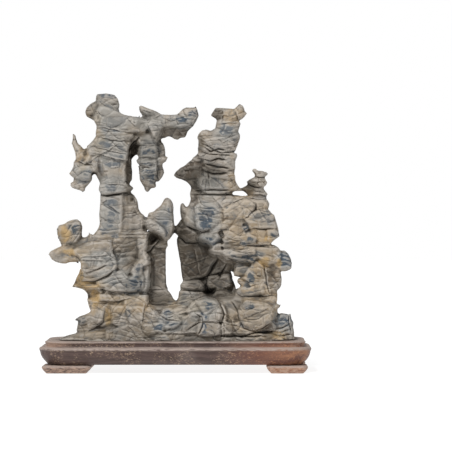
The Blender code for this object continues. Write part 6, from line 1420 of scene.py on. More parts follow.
def prism(name, outline, low, high):
    """An upright solid on an outline of (x, y) points, from one height to another."""
    bm = bmesh.new()
    floor = bm.faces.new([bm.verts.new((x, y, low)) for x, y in outline])
    raised = bmesh.ops.extrude_face_region(bm, geom=[floor], use_keep_orig=True)
    corners = [part for part in raised["geom"] if isinstance(part, bmesh.types.BMVert)]
    bmesh.ops.translate(bm, verts=corners, vec=(0, 0, high - low))
    return mesh_object(name, bm)


def shrunk(outline, inset):
    """An outline of (x, y) points, listed anticlockwise, moved inwards along its corners' bisectors."""
    points = [Vector(point) for point in outline]
    result = []
    for index, point in enumerate(points):
        back = (point - points[index - 1]).normalized()
        ahead = (points[(index + 1) % len(points)] - point).normalized()
        bisector = (Vector((-back.y, back.x)) + Vector((-ahead.y, ahead.x))).normalized()
        result.append(point + bisector * inset)
    return [tuple(point) for point in result]


def cut_away(item, cutter):
    """Take the cutter's shape out of the object, and drop the cutter."""
    cut = item.modifiers.new("Cut", "BOOLEAN")
    cut.operation = "DIFFERENCE"
    cut.solver = "MANIFOLD"
    cut.object = cutter
    apply_modifiers(item)
    bpy.data.objects.remove(cutter)


def keep_largest(item):
    """Leave only the island with the most corners, without crumbs or sealed bubbles."""
    bm = bmesh.new()
    bm.from_mesh(item.data)
    unseen = set(bm.verts)
    islands = []
    while unseen:
        pending = [unseen.pop()]
        island = list(pending)
        while pending:
            for edge in pending.pop().link_edges:
                for vertex in edge.verts:
                    if vertex in unseen:
                        unseen.remove(vertex)
                        island.append(vertex)
                        pending.append(vertex)
        islands.append(island)
    islands.sort(key=len)
    for island in islands[:-1]:
        bmesh.ops.delete(bm, geom=island, context="VERTS")
    bm.to_mesh(item.data)
    bm.free()


def read_points(mesh, name="co"):
    values = np.empty(len(mesh.vertices) * 3, np.float32)
    mesh.vertices.foreach_get(name, values)
    return values.reshape(-1, 3).astype(float)


def write_points(mesh, places):
    mesh.vertices.foreach_set("co", places.astype(np.float32).ravel())
    mesh.update()


def seen_depths(stone):
    """How far behind the middle plane, in mm, each of the eye's rays enters the stone and leaves it, and
    which rays meet it at all."""
    tree = BVHTree.FromObject(stone, bpy.context.evaluated_depsgraph_get())
    eye = Vector((EYE_X, -EYE_DISTANCE, EYE_Z)) * MM
    depths = np.zeros(GRID_SIZE)
    backs = np.zeros(GRID_SIZE)
    met = np.zeros(GRID_SIZE, bool)
    steady = np.zeros(GRID_SIZE, bool)
    for row in range(GRID_SIZE[0]):
        for column in range(GRID_SIZE[1]):
            ray = seen_at(GRID_LEFT + column * GRID_CELL, row * GRID_CELL, 0) - eye
            place, normal, *_ = tree.ray_cast(eye, ray)
            if place:
                depths[row, column] = place.y / MM
                backs[row, column] = tree.ray_cast(eye + ray * 2, -ray)[0].y / MM
                met[row, column] = True
                steady[row, column] = -normal.dot(ray.normalized()) > GRAZING
    known = filled(depths, steady)
    return np.where(steady, depths, known), backs, met


def shifted_pairs(values):
    """The grid moved by one cell each way."""
    for axis in (0, 1):
        for shift in (-1, 1):
            yield np.roll(values, shift, axis)


def extreme(grid, met, pick, rounds):
    """The least or greatest of the grid's known values within some cells of each cell."""
    values = np.where(met, grid, MISSED if pick is np.minimum else -MISSED)
    for _ in range(rounds):
        for other in shifted_pairs(values.copy()):
            values = pick(values, other)
    return values


def steps_of(depths, met):
    """Above 0 at the foot of a step of the front and below 0 along its crest, between -1 and 1."""
    least = extreme(depths, met, np.minimum, STEP_CELLS)
    most = extreme(depths, met, np.maximum, STEP_CELLS)
    return np.clip((2 * depths - least - most) / STEP_FULL, -1, 1) * met


def eased(depths, met, rounds):
    """The depths with their high steps worn down into slopes; low steps stay crisp."""
    depths = depths.copy()
    for _ in range(rounds):
        change = np.zeros(depths.shape)
        for other, known in zip(shifted_pairs(depths), shifted_pairs(met)):
            gap = other - depths
            change += np.sign(gap) * np.maximum(np.abs(gap) - STEEPEST, 0) * known
        depths += EASING_RATE * change * met
    return depths


def from_outline(met):
    """How far each cell lies inside the outline, in mm, as far as the rims reach."""
    distance = np.where(met, np.inf, 0.0)
    for _ in range(int(RIM_REACH / GRID_CELL) + 2):
        for other in shifted_pairs(distance.copy()):
            distance = np.minimum(distance, other + 1)
        for shift in ((1, 1), (1, -1), (-1, 1), (-1, -1)):
            distance = np.minimum(distance, np.roll(distance, shift, (0, 1)) + math.sqrt(2))
    return np.minimum(distance * GRID_CELL, RIM_REACH)


def turned_back(inside):
    """How far the surface turns back near the outline, in mm."""
    inner = 1 - inside / RIM_REACH
    return RIM_DEPTH * (1 - np.sqrt(1 - inner * inner))


def filled(values, met):
    """The grid with the cells around the known ones filled from their neighbours."""
    values = np.where(met, values, 0.0)
    known = met.astype(float)
    for _ in range(FILL_ROUNDS):
        total = sum(shifted_pairs(values * known))
        count = sum(shifted_pairs(known))
        fresh = (known == 0) & (count > 0)
        values = np.where(fresh, total / np.maximum(count, 1), values)
        known = np.where(fresh, 1.0, known)
    return values


def sampled(grid, x, z):
    """The grid's values at drawn places, between its cells."""
    column = np.clip((x - GRID_LEFT) / GRID_CELL, 0, GRID_SIZE[1] - LAST_CELL)
    row = np.clip(z / GRID_CELL, 0, GRID_SIZE[0] - LAST_CELL)
    left = column.astype(int)
    low = row.astype(int)
    across = column - left
    up = row - low
    lower = mix(grid[low, left], grid[low, left + 1], across)
    upper = mix(grid[low + 1, left], grid[low + 1, left + 1], across)
    return mix(lower, upper, up)


def ease(stone):
    """Turn the stepped front and back of the fused blocks into slopes, fill the front's narrow gaps and round
    the rims. Gives the grids of the eased front and of the steps that are left in it, how far behind the front
    each corner is, from 0 to 1, and how much stone is beside it, in mm."""
    depths, backs, met = seen_depths(stone)
    near = extreme(depths, met, np.minimum, GAP_CELLS)
    closed = extreme(near, met, np.maximum, GAP_CELLS)
    shallow = np.minimum(depths, closed + GAP_DEPTH)
    steps = filled(steps_of(shallow, met), met)
    inside = from_outline(met)
    target = eased(shallow, met, EASING_ROUNDS["front"]) + turned_back(inside)
    target = np.minimum(target, mix(depths, backs, THINNEST_SHARE))
    rear = -eased(-backs, met, EASING_ROUNDS["back"]) - REAR_RIM * turned_back(inside)
    rear = filled(np.maximum(rear, target + LEAST_THICKNESS), met)
    target = filled(target, met) + steps * STEP_GROOVE
    deepest = extreme(depths, met, np.maximum, RANGE_CELLS)
    least = extreme(backs, met, np.minimum, RANGE_CELLS)
    places = read_points(stone.data)
    x, z = drawn_from(places)
    deep = sampled(filled(deepest, deepest > -MISSED), x, z)
    back = np.maximum(sampled(filled(least, least < MISSED), x, z), deep + LEAST_BACKING)
    behind = np.clip((places[:, 1] / MM - deep) / (back - deep), 0, 1)
    places[:, 1] = mix(sampled(target, x, z), sampled(rear, x, z), behind) * MM
    write_points(stone.data, places)
    room = sampled(extreme(inside, inside >= 0, np.maximum, ROOM_CELLS), x, z)
    return target, steps, behind, room


def relief(place, rear):
    """How far the surface stands out at a place, from 0 in front to 1 at the back: lumps, jointed blocks with
    cracks between, and strata."""
    lump = noise.noise(place / LUMP_SIZE) * mix(LUMP_DEPTH["front"], LUMP_DEPTH["back"], rear)
    far = place / (BLOCK_BEND_SPAN * BLOCK_SIZE)
    bend = Vector((noise.noise(far), noise.noise(far + FAR_OFF), noise.noise(far - FAR_OFF)))
    spot = place / BLOCK_SIZE + bend * BLOCK_BEND
    spot.z *= BLOCK_FLATNESS
    gaps, cells = noise.voronoi(spot)
    block = noise.cell(cells[0] * BLOCK_SEED) - 0.5
    block *= mix(BLOCK_DEPTH["front"], BLOCK_DEPTH["back"], rear)
    crack = max(0, 1 - (gaps[1] - gaps[0]) / CRACK_WIDTH)
    crack *= mix(CRACK_DEPTH["front"], CRACK_DEPTH["back"], rear)
    level = place.z / STRATA_HEIGHT + noise.noise(place / (STRATA_BEND_SPAN * STRATA_HEIGHT)) * STRATA_BEND
    strata = abs(level % 1 - 0.5) * 2
    return lump + block - crack - strata * strata * STRATA_DEPTH


def creases(place):
    """The fold each crease set has reached at a place, counted in whole and part folds, and its strength."""
    found = []
    for index, (spacing, lean, sway_depth, first, last) in enumerate(CREASES):
        away = FAR_OFF * (index + 1)
        level = (place.z + place.x * lean) / (spacing * MM)
        level += noise.noise(place / CREASE_SWAY + away) * sway_depth
        level += noise.noise(place / CREASE_WIGGLE - away) * WIGGLE_DEPTH
        cover = noise.noise(place / CREASE_PATCH + away * 2)
        found.append((level, min(max((cover - first) / (last - first), 0), 1)))
    return found


def folded(place):
    """How far the overlapping sheets of stone stand out: each swells slowly, then drops at its crease."""
    rise = 0
    for level, strength in creases(place):
        share = level % 1
        rise += (min(share, (1 - share) / CREASE_DROP) - 0.5) * strength * CREASE_DEPTH
    return rise


def stroke_distance(x, z, points):
    """For each place of the drawing: how far it is from a line through the points, how far above the line
    it is, and how much of the line's strength is left there, which fades towards both ends."""
    whole = sum(math.dist(start, end) for start, end in zip(points, points[1:]))
    nearest = np.full(len(x), np.inf)
    above = np.zeros(len(x))
    along = np.zeros(len(x))
    walked = 0
    for start, end in zip(points, points[1:]):
        (x1, z1), (x2, z2) = sorted((start, end))
        length = math.dist(start, end)
        dx = (x2 - x1) / length
        dz = (z2 - z1) / length
        share = np.clip((x - x1) * dx + (z - z1) * dz, 0, length)
        distance = np.hypot(x - x1 - share * dx, z - z1 - share * dz)
        side = (z - z1) * dx - (x - x1) * dz
        forward = share if start == (x1, z1) else length - share
        closer = distance < nearest
        nearest = np.where(closer, distance, nearest)
        above = np.where(closer, side, above)
        along = np.where(closer, walked + forward, along)
        walked += length
    gone = along / whole
    fade = smoothstep(-STROKE_PAST, STROKE_FADE, gone) * smoothstep(1 + STROKE_PAST, 1 - STROKE_FADE, gone)
    return nearest, above, fade


def patch_share(x, z, patch):
    """How far each place of the drawing is from the middle of an oval patch, 1 being its edge."""
    centre_x, centre_z, length, height, turn = patch
    angle = math.radians(turn)
    along = (x - centre_x) * math.cos(angle) + (z - centre_z) * math.sin(angle)
    across = (z - centre_z) * math.cos(angle) - (x - centre_x) * math.sin(angle)
    return np.hypot(along / length, across / height)


def frontness(normals):
    """1 where the surface is on the stone's front, 0 on its back."""
    return smoothstep(*FRONT_TURN, normals[:, 1])


def jittered(x, z, places, size, depth):
    """Drawn places moved a little by noise, so that marks have uneven edges."""
    moved = []
    for drawn, start in ((x, places), (z, places + JITTER_SHIFT)):
        moves = [noise.noise(Vector(place) / size) for place in start]
        moved.append(drawn + np.array(moves) * depth)
    return moved


def carve(mesh):
    """Sink the drawn cracks and hollows into the stone's front."""
    places = read_points(mesh)
    front = frontness(read_points(mesh, "normal"))
    x, z = jittered(*drawn_from(places), places, *CRACK_JITTER)
    sink = np.zeros(len(places))
    fold = np.zeros(len(places))
    for width, depth, points in CRACKS:
        near, above, fade = stroke_distance(x, z, points)
        cut = depth * (CRACK_CUT["fine"] if depth < WIDE_CRACK else CRACK_CUT["wide"])
        sink = np.maximum(sink, cut * fade * (1 - smoothstep(CRACK_CORE * width, width, near)))
        lift = np.exp(-near / FOLD_REACH["above"]) * FOLD_LIFT["above"]
        drop = np.exp(-near / FOLD_REACH["below"]) * FOLD_LIFT["below"]
        fold += np.where(above > 0, lift, drop) * fade * min(depth, 1)
    for depth, patch in HOLLOWS:
        sink = np.maximum(sink, HOLLOW_CUT * depth * (1 - smoothstep(*HOLLOW_FADE, patch_share(x, z, patch))))
    places[:, 1] += (sink - np.clip(fold, -FOLD_LIMIT, FOLD_LIMIT)) * front * MM
    write_points(mesh, places)


def fuse_blocks():
    """The cores and blocks in one skin, with the openings cut through, a little smoothed."""
    blocks = [slab(outline, face, back, CORE_ROUNDING) for face, back, outline in CORES.values()]
    blocks += [slab(block[-1], *block[:-1]) for block in BLOCKS.values()]
    stone = joined("scholars_rock", blocks)
    fuse = stone.modifiers.new("Fuse", "REMESH")
    fuse.mode = "VOXEL"
    fuse.voxel_size = VOXEL
    apply_modifiers(stone)
    through = [slab(outline, OPENING_REACH, OPENING_REACH, growth=0) for outline in OPENINGS.values()]
    cut_away(stone, joined("openings", through))
    soften = stone.modifiers.new("Soften", "SMOOTH")
    soften.factor = SOFTENING
    soften.iterations = SOFTENING_ROUNDS
    apply_modifiers(stone)
    return stone


def weather(mesh, behind, room):
    """Move front and back along y, and the sides inwards alone, by the relief and the folds."""
    places = read_points(mesh)
    normals = read_points(mesh, "normal")
    front = np.clip(-FACING_GAIN * normals[:, 1], 0, 1)
    back = np.clip(FACING_GAIN * normals[:, 1], 0, 1)
    side = (1 - front - back) * smoothstep(*SIDE_START, behind)
    rise = np.empty(len(places))
    for index, place in enumerate(places):
        spot = Vector(place)
        rear = max(back[index], side[index])
        rise[index] = relief(spot, rear) + folded(spot) * mix(1, REAR_FOLDS, rear)
    places[:, 1] += rise * (back - front)
    places += normals * (side * np.clip(rise, -SIDE_SHARE * room * MM, 0))[:, None]
    write_points(mesh, places)


def thin_out(stone, target):
    """Bring the stone down to its triangles, with more of them left in front than behind."""
    group = stone.vertex_groups.new(name="rear")
    places = read_points(stone.data)
    off = places[:, 1] / MM - sampled(target, *drawn_from(places))
    for index, depth in enumerate(off):
        group.add([index], THINNING["back" if depth > FINE_DEPTH else "front"], "REPLACE")
    thin = stone.modifiers.new("Thin", "DECIMATE")
    thin.vertex_group = group.name
    thin.vertex_group_factor = THINNING_FACTOR
    thin.ratio = STONE_TRIANGLES / sum(len(face.vertices) - 2 for face in stone.data.polygons)
    apply_modifiers(stone)


def fit_to_socket(stone):
    """Cut the stone's foot so that it stays clear of the stand and fills the socket."""
    side = STAND_LENGTH / 2 + SEAT_MARGIN
    outline = [(-side, -side), (side, -side), (side, side), (-side, side)]
    seat = prism("seat", outline, -SEAT_MARGIN, STAND_TOP + SEAT_GAP)
    root = [(x * MM, y * MM) for x, y in SOCKET_OUTLINE]
    plug = prism("plug", shrunk(root, SEAT_GAP), SOCKET_FLOOR + SEAT_GAP, STAND_TOP + SEAT_MARGIN)
    cut_away(seat, plug)
    cut_away(stone, seat)


def build_stone():
    """The stone's skin, and the grid of the steps in its front."""
    stone = fuse_blocks()
    target, steps, behind, room = ease(stone)
    weather(stone.data, behind, room)
    carve(stone.data)
    fit_to_socket(stone)
    thin_out(stone, target)
    keep_largest(stone)
    return stone, steps


def rounded_rectangle(length, depth, radius):
    """The (x, y) points of a rectangle about the origin, its corners arcs and its sides cut in steps."""
    arcs = []
    for quarter, (side, face) in enumerate(((1, 1), (-1, 1), (-1, -1), (1, -1))):
        centre = (side * (length / 2 - radius), face * (depth / 2 - radius))
        angles = [math.radians(90 * (quarter + step / CORNER_STEPS)) for step in range(CORNER_STEPS + 1)]
        arcs.append([(centre[0] + radius * math.cos(a), centre[1] + radius * math.sin(a)) for a in angles])
    points = []
    for arc, following in zip(arcs, arcs[1:] + arcs[:1]):
        points += arc
        (x1, y1), (x2, y2) = arc[-1], following[0]
        count = SIDE_STEPS["long" if abs(y1 - y2) < abs(x1 - x2) else "short"]
        for part in range(1, count):
            points.append((mix(x1, x2, part / count), mix(y1, y2, part / count)))
    return points


def moulding(name, length, depth, radius, profile, wobble):
    """A loft through rounded rectangles, each at a height and an inset in mm, worn uneven by noise."""
    bm = bmesh.new()
    rings = []
    for height, inset in profile:
        inward = inset * MM
        outline = rounded_rectangle(length - 2 * inward, depth - 2 * inward, max(radius - inward, SHARPEST))
        edge = 1 if profile[0][0] < height < profile[-1][0] else 0
        ring = []
        for x, y in outline:
            spot = Vector((x, y, height * MM))
            wave = noise.noise(spot / WAVE_SPAN) * wobble
            nick = noise.noise(spot / NICK_SPAN) * NICK_DEPTH
            inwards = -Vector((x, y, 0)).normalized() * (abs(wave) + abs(nick))
            lift = noise.noise(Vector((x, y, 0)) / WAVE_SPAN + FAR_OFF) * wobble
            ring.append(bm.verts.new(spot + inwards + Vector((0, 0, lift * edge))))
        rings.append(ring)
    bm.faces.new(reversed(rings[0]))
    bm.faces.new(rings[-1])
    for low, high in zip(rings, rings[1:]):
        for index in range(len(low)):
            bm.faces.new((low[index - 1], low[index], high[index], high[index - 1]))
    return mesh_object(name, bm)


def build_stand():
    body = moulding("wooden_stand", STAND_LENGTH, STAND_DEPTH, CORNER_RADIUS, MOULDING, STAND_WOBBLE)
    outline = [(x * MM, y * MM) for x, y in SOCKET_OUTLINE]
    cut_away(body, prism("socket", outline, SOCKET_FLOOR, STAND_TOP + SOCKET_MARGIN))
    return body


def build_feet():
    """Four pads under the corners, wider on the left than on the right."""
    feet = {}
    for row, front in (("front", -1), ("back", 1)):
        for side, outward in (("left", -1), ("right", 1)):
            length = FOOT_LENGTHS[side]
            foot = moulding(f"pad_{row}_{side}", length, FOOT_DEPTH, FOOT_CORNER_RADIUS, FOOT_PROFILE, 0)
            x = outward * (STAND_LENGTH / 2 - FOOT_INSET - length / 2)
            y = front * (STAND_DEPTH / 2 - FOOT_INSET - FOOT_DEPTH / 2)
            foot.data.transform(Matrix.Translation(Vector((x, y, 0))))
            feet[f"foot_{row}_{side}"] = foot
    return feet


def neighbours(mesh):
    """The mesh's edges as pairs of corners, and how many edges meet in each corner."""
    edges = np.empty(len(mesh.edges) * 2, np.int32)
    mesh.edges.foreach_get("vertices", edges)
    counts = np.bincount(edges, minlength=len(mesh.vertices)).astype(float)
    return edges.reshape(-1, 2), counts


def neighbour_mean(values, edges, counts):
    """Each corner's mean over the corners it is joined to."""
    total = np.empty_like(values)
    for column in range(values.shape[1]):
        weights = values[:, column]
        total[:, column] = np.bincount(edges[:, 0], weights[edges[:, 1]], len(values))
        total[:, column] += np.bincount(edges[:, 1], weights[edges[:, 0]], len(values))
    return total / np.maximum(counts, 1)[:, None]


def curvature(mesh, places, normals, rounds):
    """How far each corner stands out from its surroundings, in mm: below 0 in a crack."""
    edges, counts = neighbours(mesh)
    mean = places.copy()
    for _ in range(rounds):
        mean = neighbour_mean(mean, edges, counts)
    return ((places - mean) * normals).sum(1) / MM


def smoothed(mesh, values, rounds):
    edges, counts = neighbours(mesh)
    values = values[:, None].astype(float)
    for _ in range(rounds):
        values = (values + neighbour_mean(values, edges, counts)) / 2
    return values[:, 0]


def openness(mesh, places, normals, reach):
    """The share of directions, out of the surface, in which nothing lies within reach."""
    tree = BVHTree.FromPolygons(places.tolist(), [tuple(face.vertices) for face in mesh.polygons])
    golden = math.pi * (3 - math.sqrt(5))
    rays = []
    for index in range(SKY_RAYS):
        height = 1 - (index + 0.5) / SKY_RAYS * SKY_SHARE
        side = math.sqrt(1 - height * height)
        rays.append(Vector((side * math.cos(golden * index), side * math.sin(golden * index), height)))
    result = np.empty(len(places))
    for index, (place, normal) in enumerate(zip(places, normals)):
        turn = Vector((0, 0, 1)).rotation_difference(Vector(normal))
        start = Vector(place) + Vector(normal) * LIFT
        clear = sum(tree.ray_cast(start, turn @ ray, reach)[0] is None for ray in rays)
        result[index] = clear / SKY_RAYS
    return result


def patches(x, z, ovals, edge=PATCH_EDGE):
    """How strongly each place of the drawing is covered by any of the ovals."""
    cover = np.zeros(len(x))
    for oval in ovals:
        cover = np.maximum(cover, 1 - smoothstep(*edge, patch_share(x, z, oval)))
    return cover


def add_attribute(mesh, name, values):
    layer = mesh.attributes.new(name, "FLOAT", "POINT")
    layer.data.foreach_set("value", values.astype(np.float32))


def mark_cracks(mesh, places, front):
    """Store how far above the nearest crack each corner lies, in its half widths, and how black the crack is."""
    x, z = jittered(*drawn_from(places), places, *CRACK_JITTER)
    nearest = np.full(len(places), np.inf)
    signed = np.full(len(places), LINE_REACH)
    power = np.zeros(len(places))
    for width, depth, points in CRACKS:
        near, above, fade = stroke_distance(x, z, points)
        closer = near < nearest
        nearest = np.where(closer, near, nearest)
        signed = np.where(closer, np.clip(above, -LINE_REACH, LINE_REACH) / width, signed)
        faded = fade * (1 - smoothstep(LINE_FADE * LINE_REACH, LINE_REACH, near))
        power = np.where(closer, min(depth / CRACK_BLACK, 1) * faded, power)
    add_attribute(mesh, "crack_side", signed)
    add_attribute(mesh, "crack_power", power * front)


def mark_patches(mesh, places, front):
    """Store how strongly each corner is covered by the drawn hollows, patches and shade, and by the back's own."""
    x, z = jittered(*drawn_from(places), places, *PATCH_JITTER)
    hollow = np.zeros(len(places))
    for depth, oval in HOLLOWS:
        strength = min(depth / HOLLOW_BLACK, 1)
        hollow = np.maximum(hollow, patches(x, z, [oval], HOLLOW_EDGE) * strength)
    add_attribute(mesh, "hollow", hollow * front)
    shade = np.zeros(len(places))
    for strength, oval in SHADE:
        shade = 1 - (1 - shade) * (1 - patches(x, z, [oval], SHADE_EDGE) * strength)
    add_attribute(mesh, "shade", np.minimum(shade, DEEPEST_SHADE) * front)
    for name, ovals in (("brown", BROWN), ("pale", PALE), ("cool", COOL), ("warm", WARM)):
        add_attribute(mesh, name, patches(x, z, ovals) * front)
    add_attribute(mesh, "deep", patches(x, z, DEEP_SLATE, DEEP_EDGE) * front)
    wild = np.array([noise.noise(Vector(place) / PATCH_SPAN) for place in places])
    rear_slate = smoothstep(*REAR_SLATE, wild) * (1 - front)
    rear_ochre = smoothstep(*REAR_OCHRE, -wild) * (1 - front)
    add_attribute(mesh, "slate", np.maximum(patches(x, z, SLATE, SLATE_EDGE) * front, rear_slate))
    add_attribute(mesh, "ochre", np.maximum(patches(x, z, OCHRE) * front, rear_ochre))


def mark_stone(mesh, steps):
    """Store, at each corner of the stone, what its material needs to know of the place."""
    places = read_points(mesh)
    normals = read_points(mesh, "normal")
    front = frontness(normals)
    mark_cracks(mesh, places, front)
    mark_patches(mesh, places, front)
    add_attribute(mesh, "step", sampled(steps, *drawn_from(places)) * front)
    folds = [creases(Vector(place)) for place in places]
    for index in range(len(CREASES)):
        add_attribute(mesh, f"fold_{index}", np.array([found[index][0] for found in folds]))
        add_attribute(mesh, f"fold_power_{index}", np.array([found[index][1] for found in folds]))
    add_attribute(mesh, "edge", curvature(mesh, places, normals, EDGE_ROUNDS))
    add_attribute(mesh, "ridge", curvature(mesh, places, normals, RIDGE_ROUNDS))
    for name, reach in SKY_REACH.items():
        sky = openness(mesh, places, normals, reach)
        add_attribute(mesh, f"open_{name}", smoothed(mesh, sky, SKY_SMOOTHING[name]))


class Shader:
    """A short way to write a material's nodes, from its coordinates to its surface."""

    def __init__(self, name):
        self.material = bpy.data.materials.new(name)
        self.material.use_nodes = True
        self.nodes = self.material.node_tree.nodes
        self.links = self.material.node_tree.links
        self.surface = self.nodes["Principled BSDF"]
        self.place = self.nodes.new("ShaderNodeTexCoord").outputs["Object"]

    def put(self, node, socket, value):
        """Link the value to a socket, or set it there."""
        if isinstance(value, bpy.types.NodeSocket):
            self.links.new(value, node.inputs[socket])
        else:
            node.inputs[socket].default_value = value

    def finish(self, colour, roughness, gloss, normal=None):
        """Give the surface its colour, reflection and bump."""
        self.put(self.surface, "Base Color", colour)
        self.put(self.surface, "Roughness", roughness)
        self.put(self.surface, "Specular IOR Level", gloss)
        if normal:
            self.put(self.surface, "Normal", normal)
        return self.material

    def attribute(self, name):
        node = self.nodes.new("ShaderNodeAttribute")
        node.attribute_name = name
        return node.outputs["Fac"]

    def parts(self, vector):
        """The X, Y and Z of a vector or colour."""
        node = self.nodes.new("ShaderNodeSeparateXYZ")
        self.put(node, 0, vector)
        return [node.outputs[axis] for axis in ("X", "Y", "Z")]

    def math(self, operation, first, second=0.0):
        node = self.nodes.new("ShaderNodeMath")
        node.operation = operation
        self.put(node, 0, first)
        self.put(node, 1, second)
        return node.outputs[0]

    def times(self, first, second):
        return self.math("MULTIPLY", first, second)

    def vector(self, operation, first, second):
        node = self.nodes.new("ShaderNodeVectorMath")
        node.operation = operation
        self.put(node, 0, first)
        self.put(node, 1, second)
        return node.outputs["Value" if operation == "DOT_PRODUCT" else "Vector"]

    def ramp(self, value, low, high):
        """0 below low and 1 above high, eased between; it falls where low is above high."""
        node = self.nodes.new("ShaderNodeMapRange")
        node.interpolation_type = "SMOOTHSTEP"
        self.put(node, "Value", value)
        self.put(node, "From Min", min(low, high))
        self.put(node, "From Max", max(low, high))
        if low > high:
            self.put(node, "To Min", 1.0)
            self.put(node, "To Max", 0.0)
        return node.outputs["Result"]

    def blend(self, share, first, second, mode="MIX"):
        node = self.nodes.new("ShaderNodeMix")
        node.data_type = "RGBA"
        node.blend_type = mode
        self.put(node, 0, share)
        colours = [index for index, socket in enumerate(node.inputs) if socket.type == "RGBA"]
        for index, value in zip(colours, (first, second)):
            self.put(node, index, value if isinstance(value, bpy.types.NodeSocket) else (*value, 1.0))
        return next(socket for socket in node.outputs if socket.type == "RGBA")

    def stretched(self, scale):
        node = self.nodes.new("ShaderNodeMapping")
        self.put(node, "Vector", self.place)
        self.put(node, "Scale", scale)
        return node.outputs[0]

    def noise(self, size, detail, roughness, distortion=0.0, place=None):
        node = self.nodes.new("ShaderNodeTexNoise")
        self.put(node, "Vector", place or self.place)
        self.put(node, "Scale", 1 / (size * MM))
        self.put(node, "Detail", detail)
        self.put(node, "Roughness", roughness)
        self.put(node, "Distortion", distortion)
        return node.outputs[0]

    def cracks(self, size, width, place):
        """1 on thin lines between cells of about the given size in mm, and 0 off them."""
        node = self.nodes.new("ShaderNodeTexVoronoi")
        node.feature = "DISTANCE_TO_EDGE"
        self.put(node, "Vector", place)
        self.put(node, "Scale", 1 / (size * MM))
        return self.ramp(node.outputs["Distance"], width, 0.0)

    def crease(self, share, width):
        """1 on thin lines where the share of the way to the next fold is 0 or 1."""
        off = self.math("MINIMUM", share, self.math("SUBTRACT", 1.0, share))
        return self.ramp(off, width, width * LINE_CORE)

    def bump(self, height, depth, before=None):
        node = self.nodes.new("ShaderNodeBump")
        self.put(node, "Height", height)
        self.put(node, "Strength", 1.0)
        self.put(node, "Distance", depth * MM)
        if before:
            self.put(node, "Normal", before)
        return node.outputs[0]


def facet_nodes(shade, size):
    """Bulging facets as the material sees them: nearness to their borders, a height and three tones each."""
    middle = (0.5, 0.5, 0.5)
    cell_size = size * MM
    bend = shade.nodes.new("ShaderNodeTexNoise")
    shade.put(bend, "Vector", shade.place)
    shade.put(bend, "Scale", 1 / (size * FACET_WARP_SPAN * MM))
    shade.put(bend, "Detail", FACET_DETAIL)
    centred = shade.vector("SUBTRACT", bend.outputs["Color"], middle)
    moved = shade.vector("MULTIPLY", centred, (size * FACET_WARP * MM,) * 3)
    spot = shade.vector("ADD", shade.place, moved)
    spot = shade.vector("MULTIPLY", spot, (1 / cell_size, 1 / cell_size, FACET_FLATNESS / cell_size))
    border = shade.nodes.new("ShaderNodeTexVoronoi")
    border.feature = "DISTANCE_TO_EDGE"
    cell = shade.nodes.new("ShaderNodeTexVoronoi")
    for node in (border, cell):
        shade.put(node, "Vector", spot)
        shade.put(node, "Scale", 1.0)
    away = border.outputs["Distance"]
    lean = shade.vector("SUBTRACT", cell.outputs["Color"], middle)
    slope = shade.vector("DOT_PRODUCT", shade.vector("SUBTRACT", spot, cell.outputs["Position"]), lean)
    inside = shade.math("MINIMUM", shade.math("DIVIDE", away, FACET_RIM), 1.0)
    dome = shade.math("POWER", inside, FACET_DOME)
    tilt = shade.times(shade.times(slope, FACET_SLOPE), inside)
    return away, shade.math("ADD", dome, tilt), shade.parts(cell.outputs["Color"])


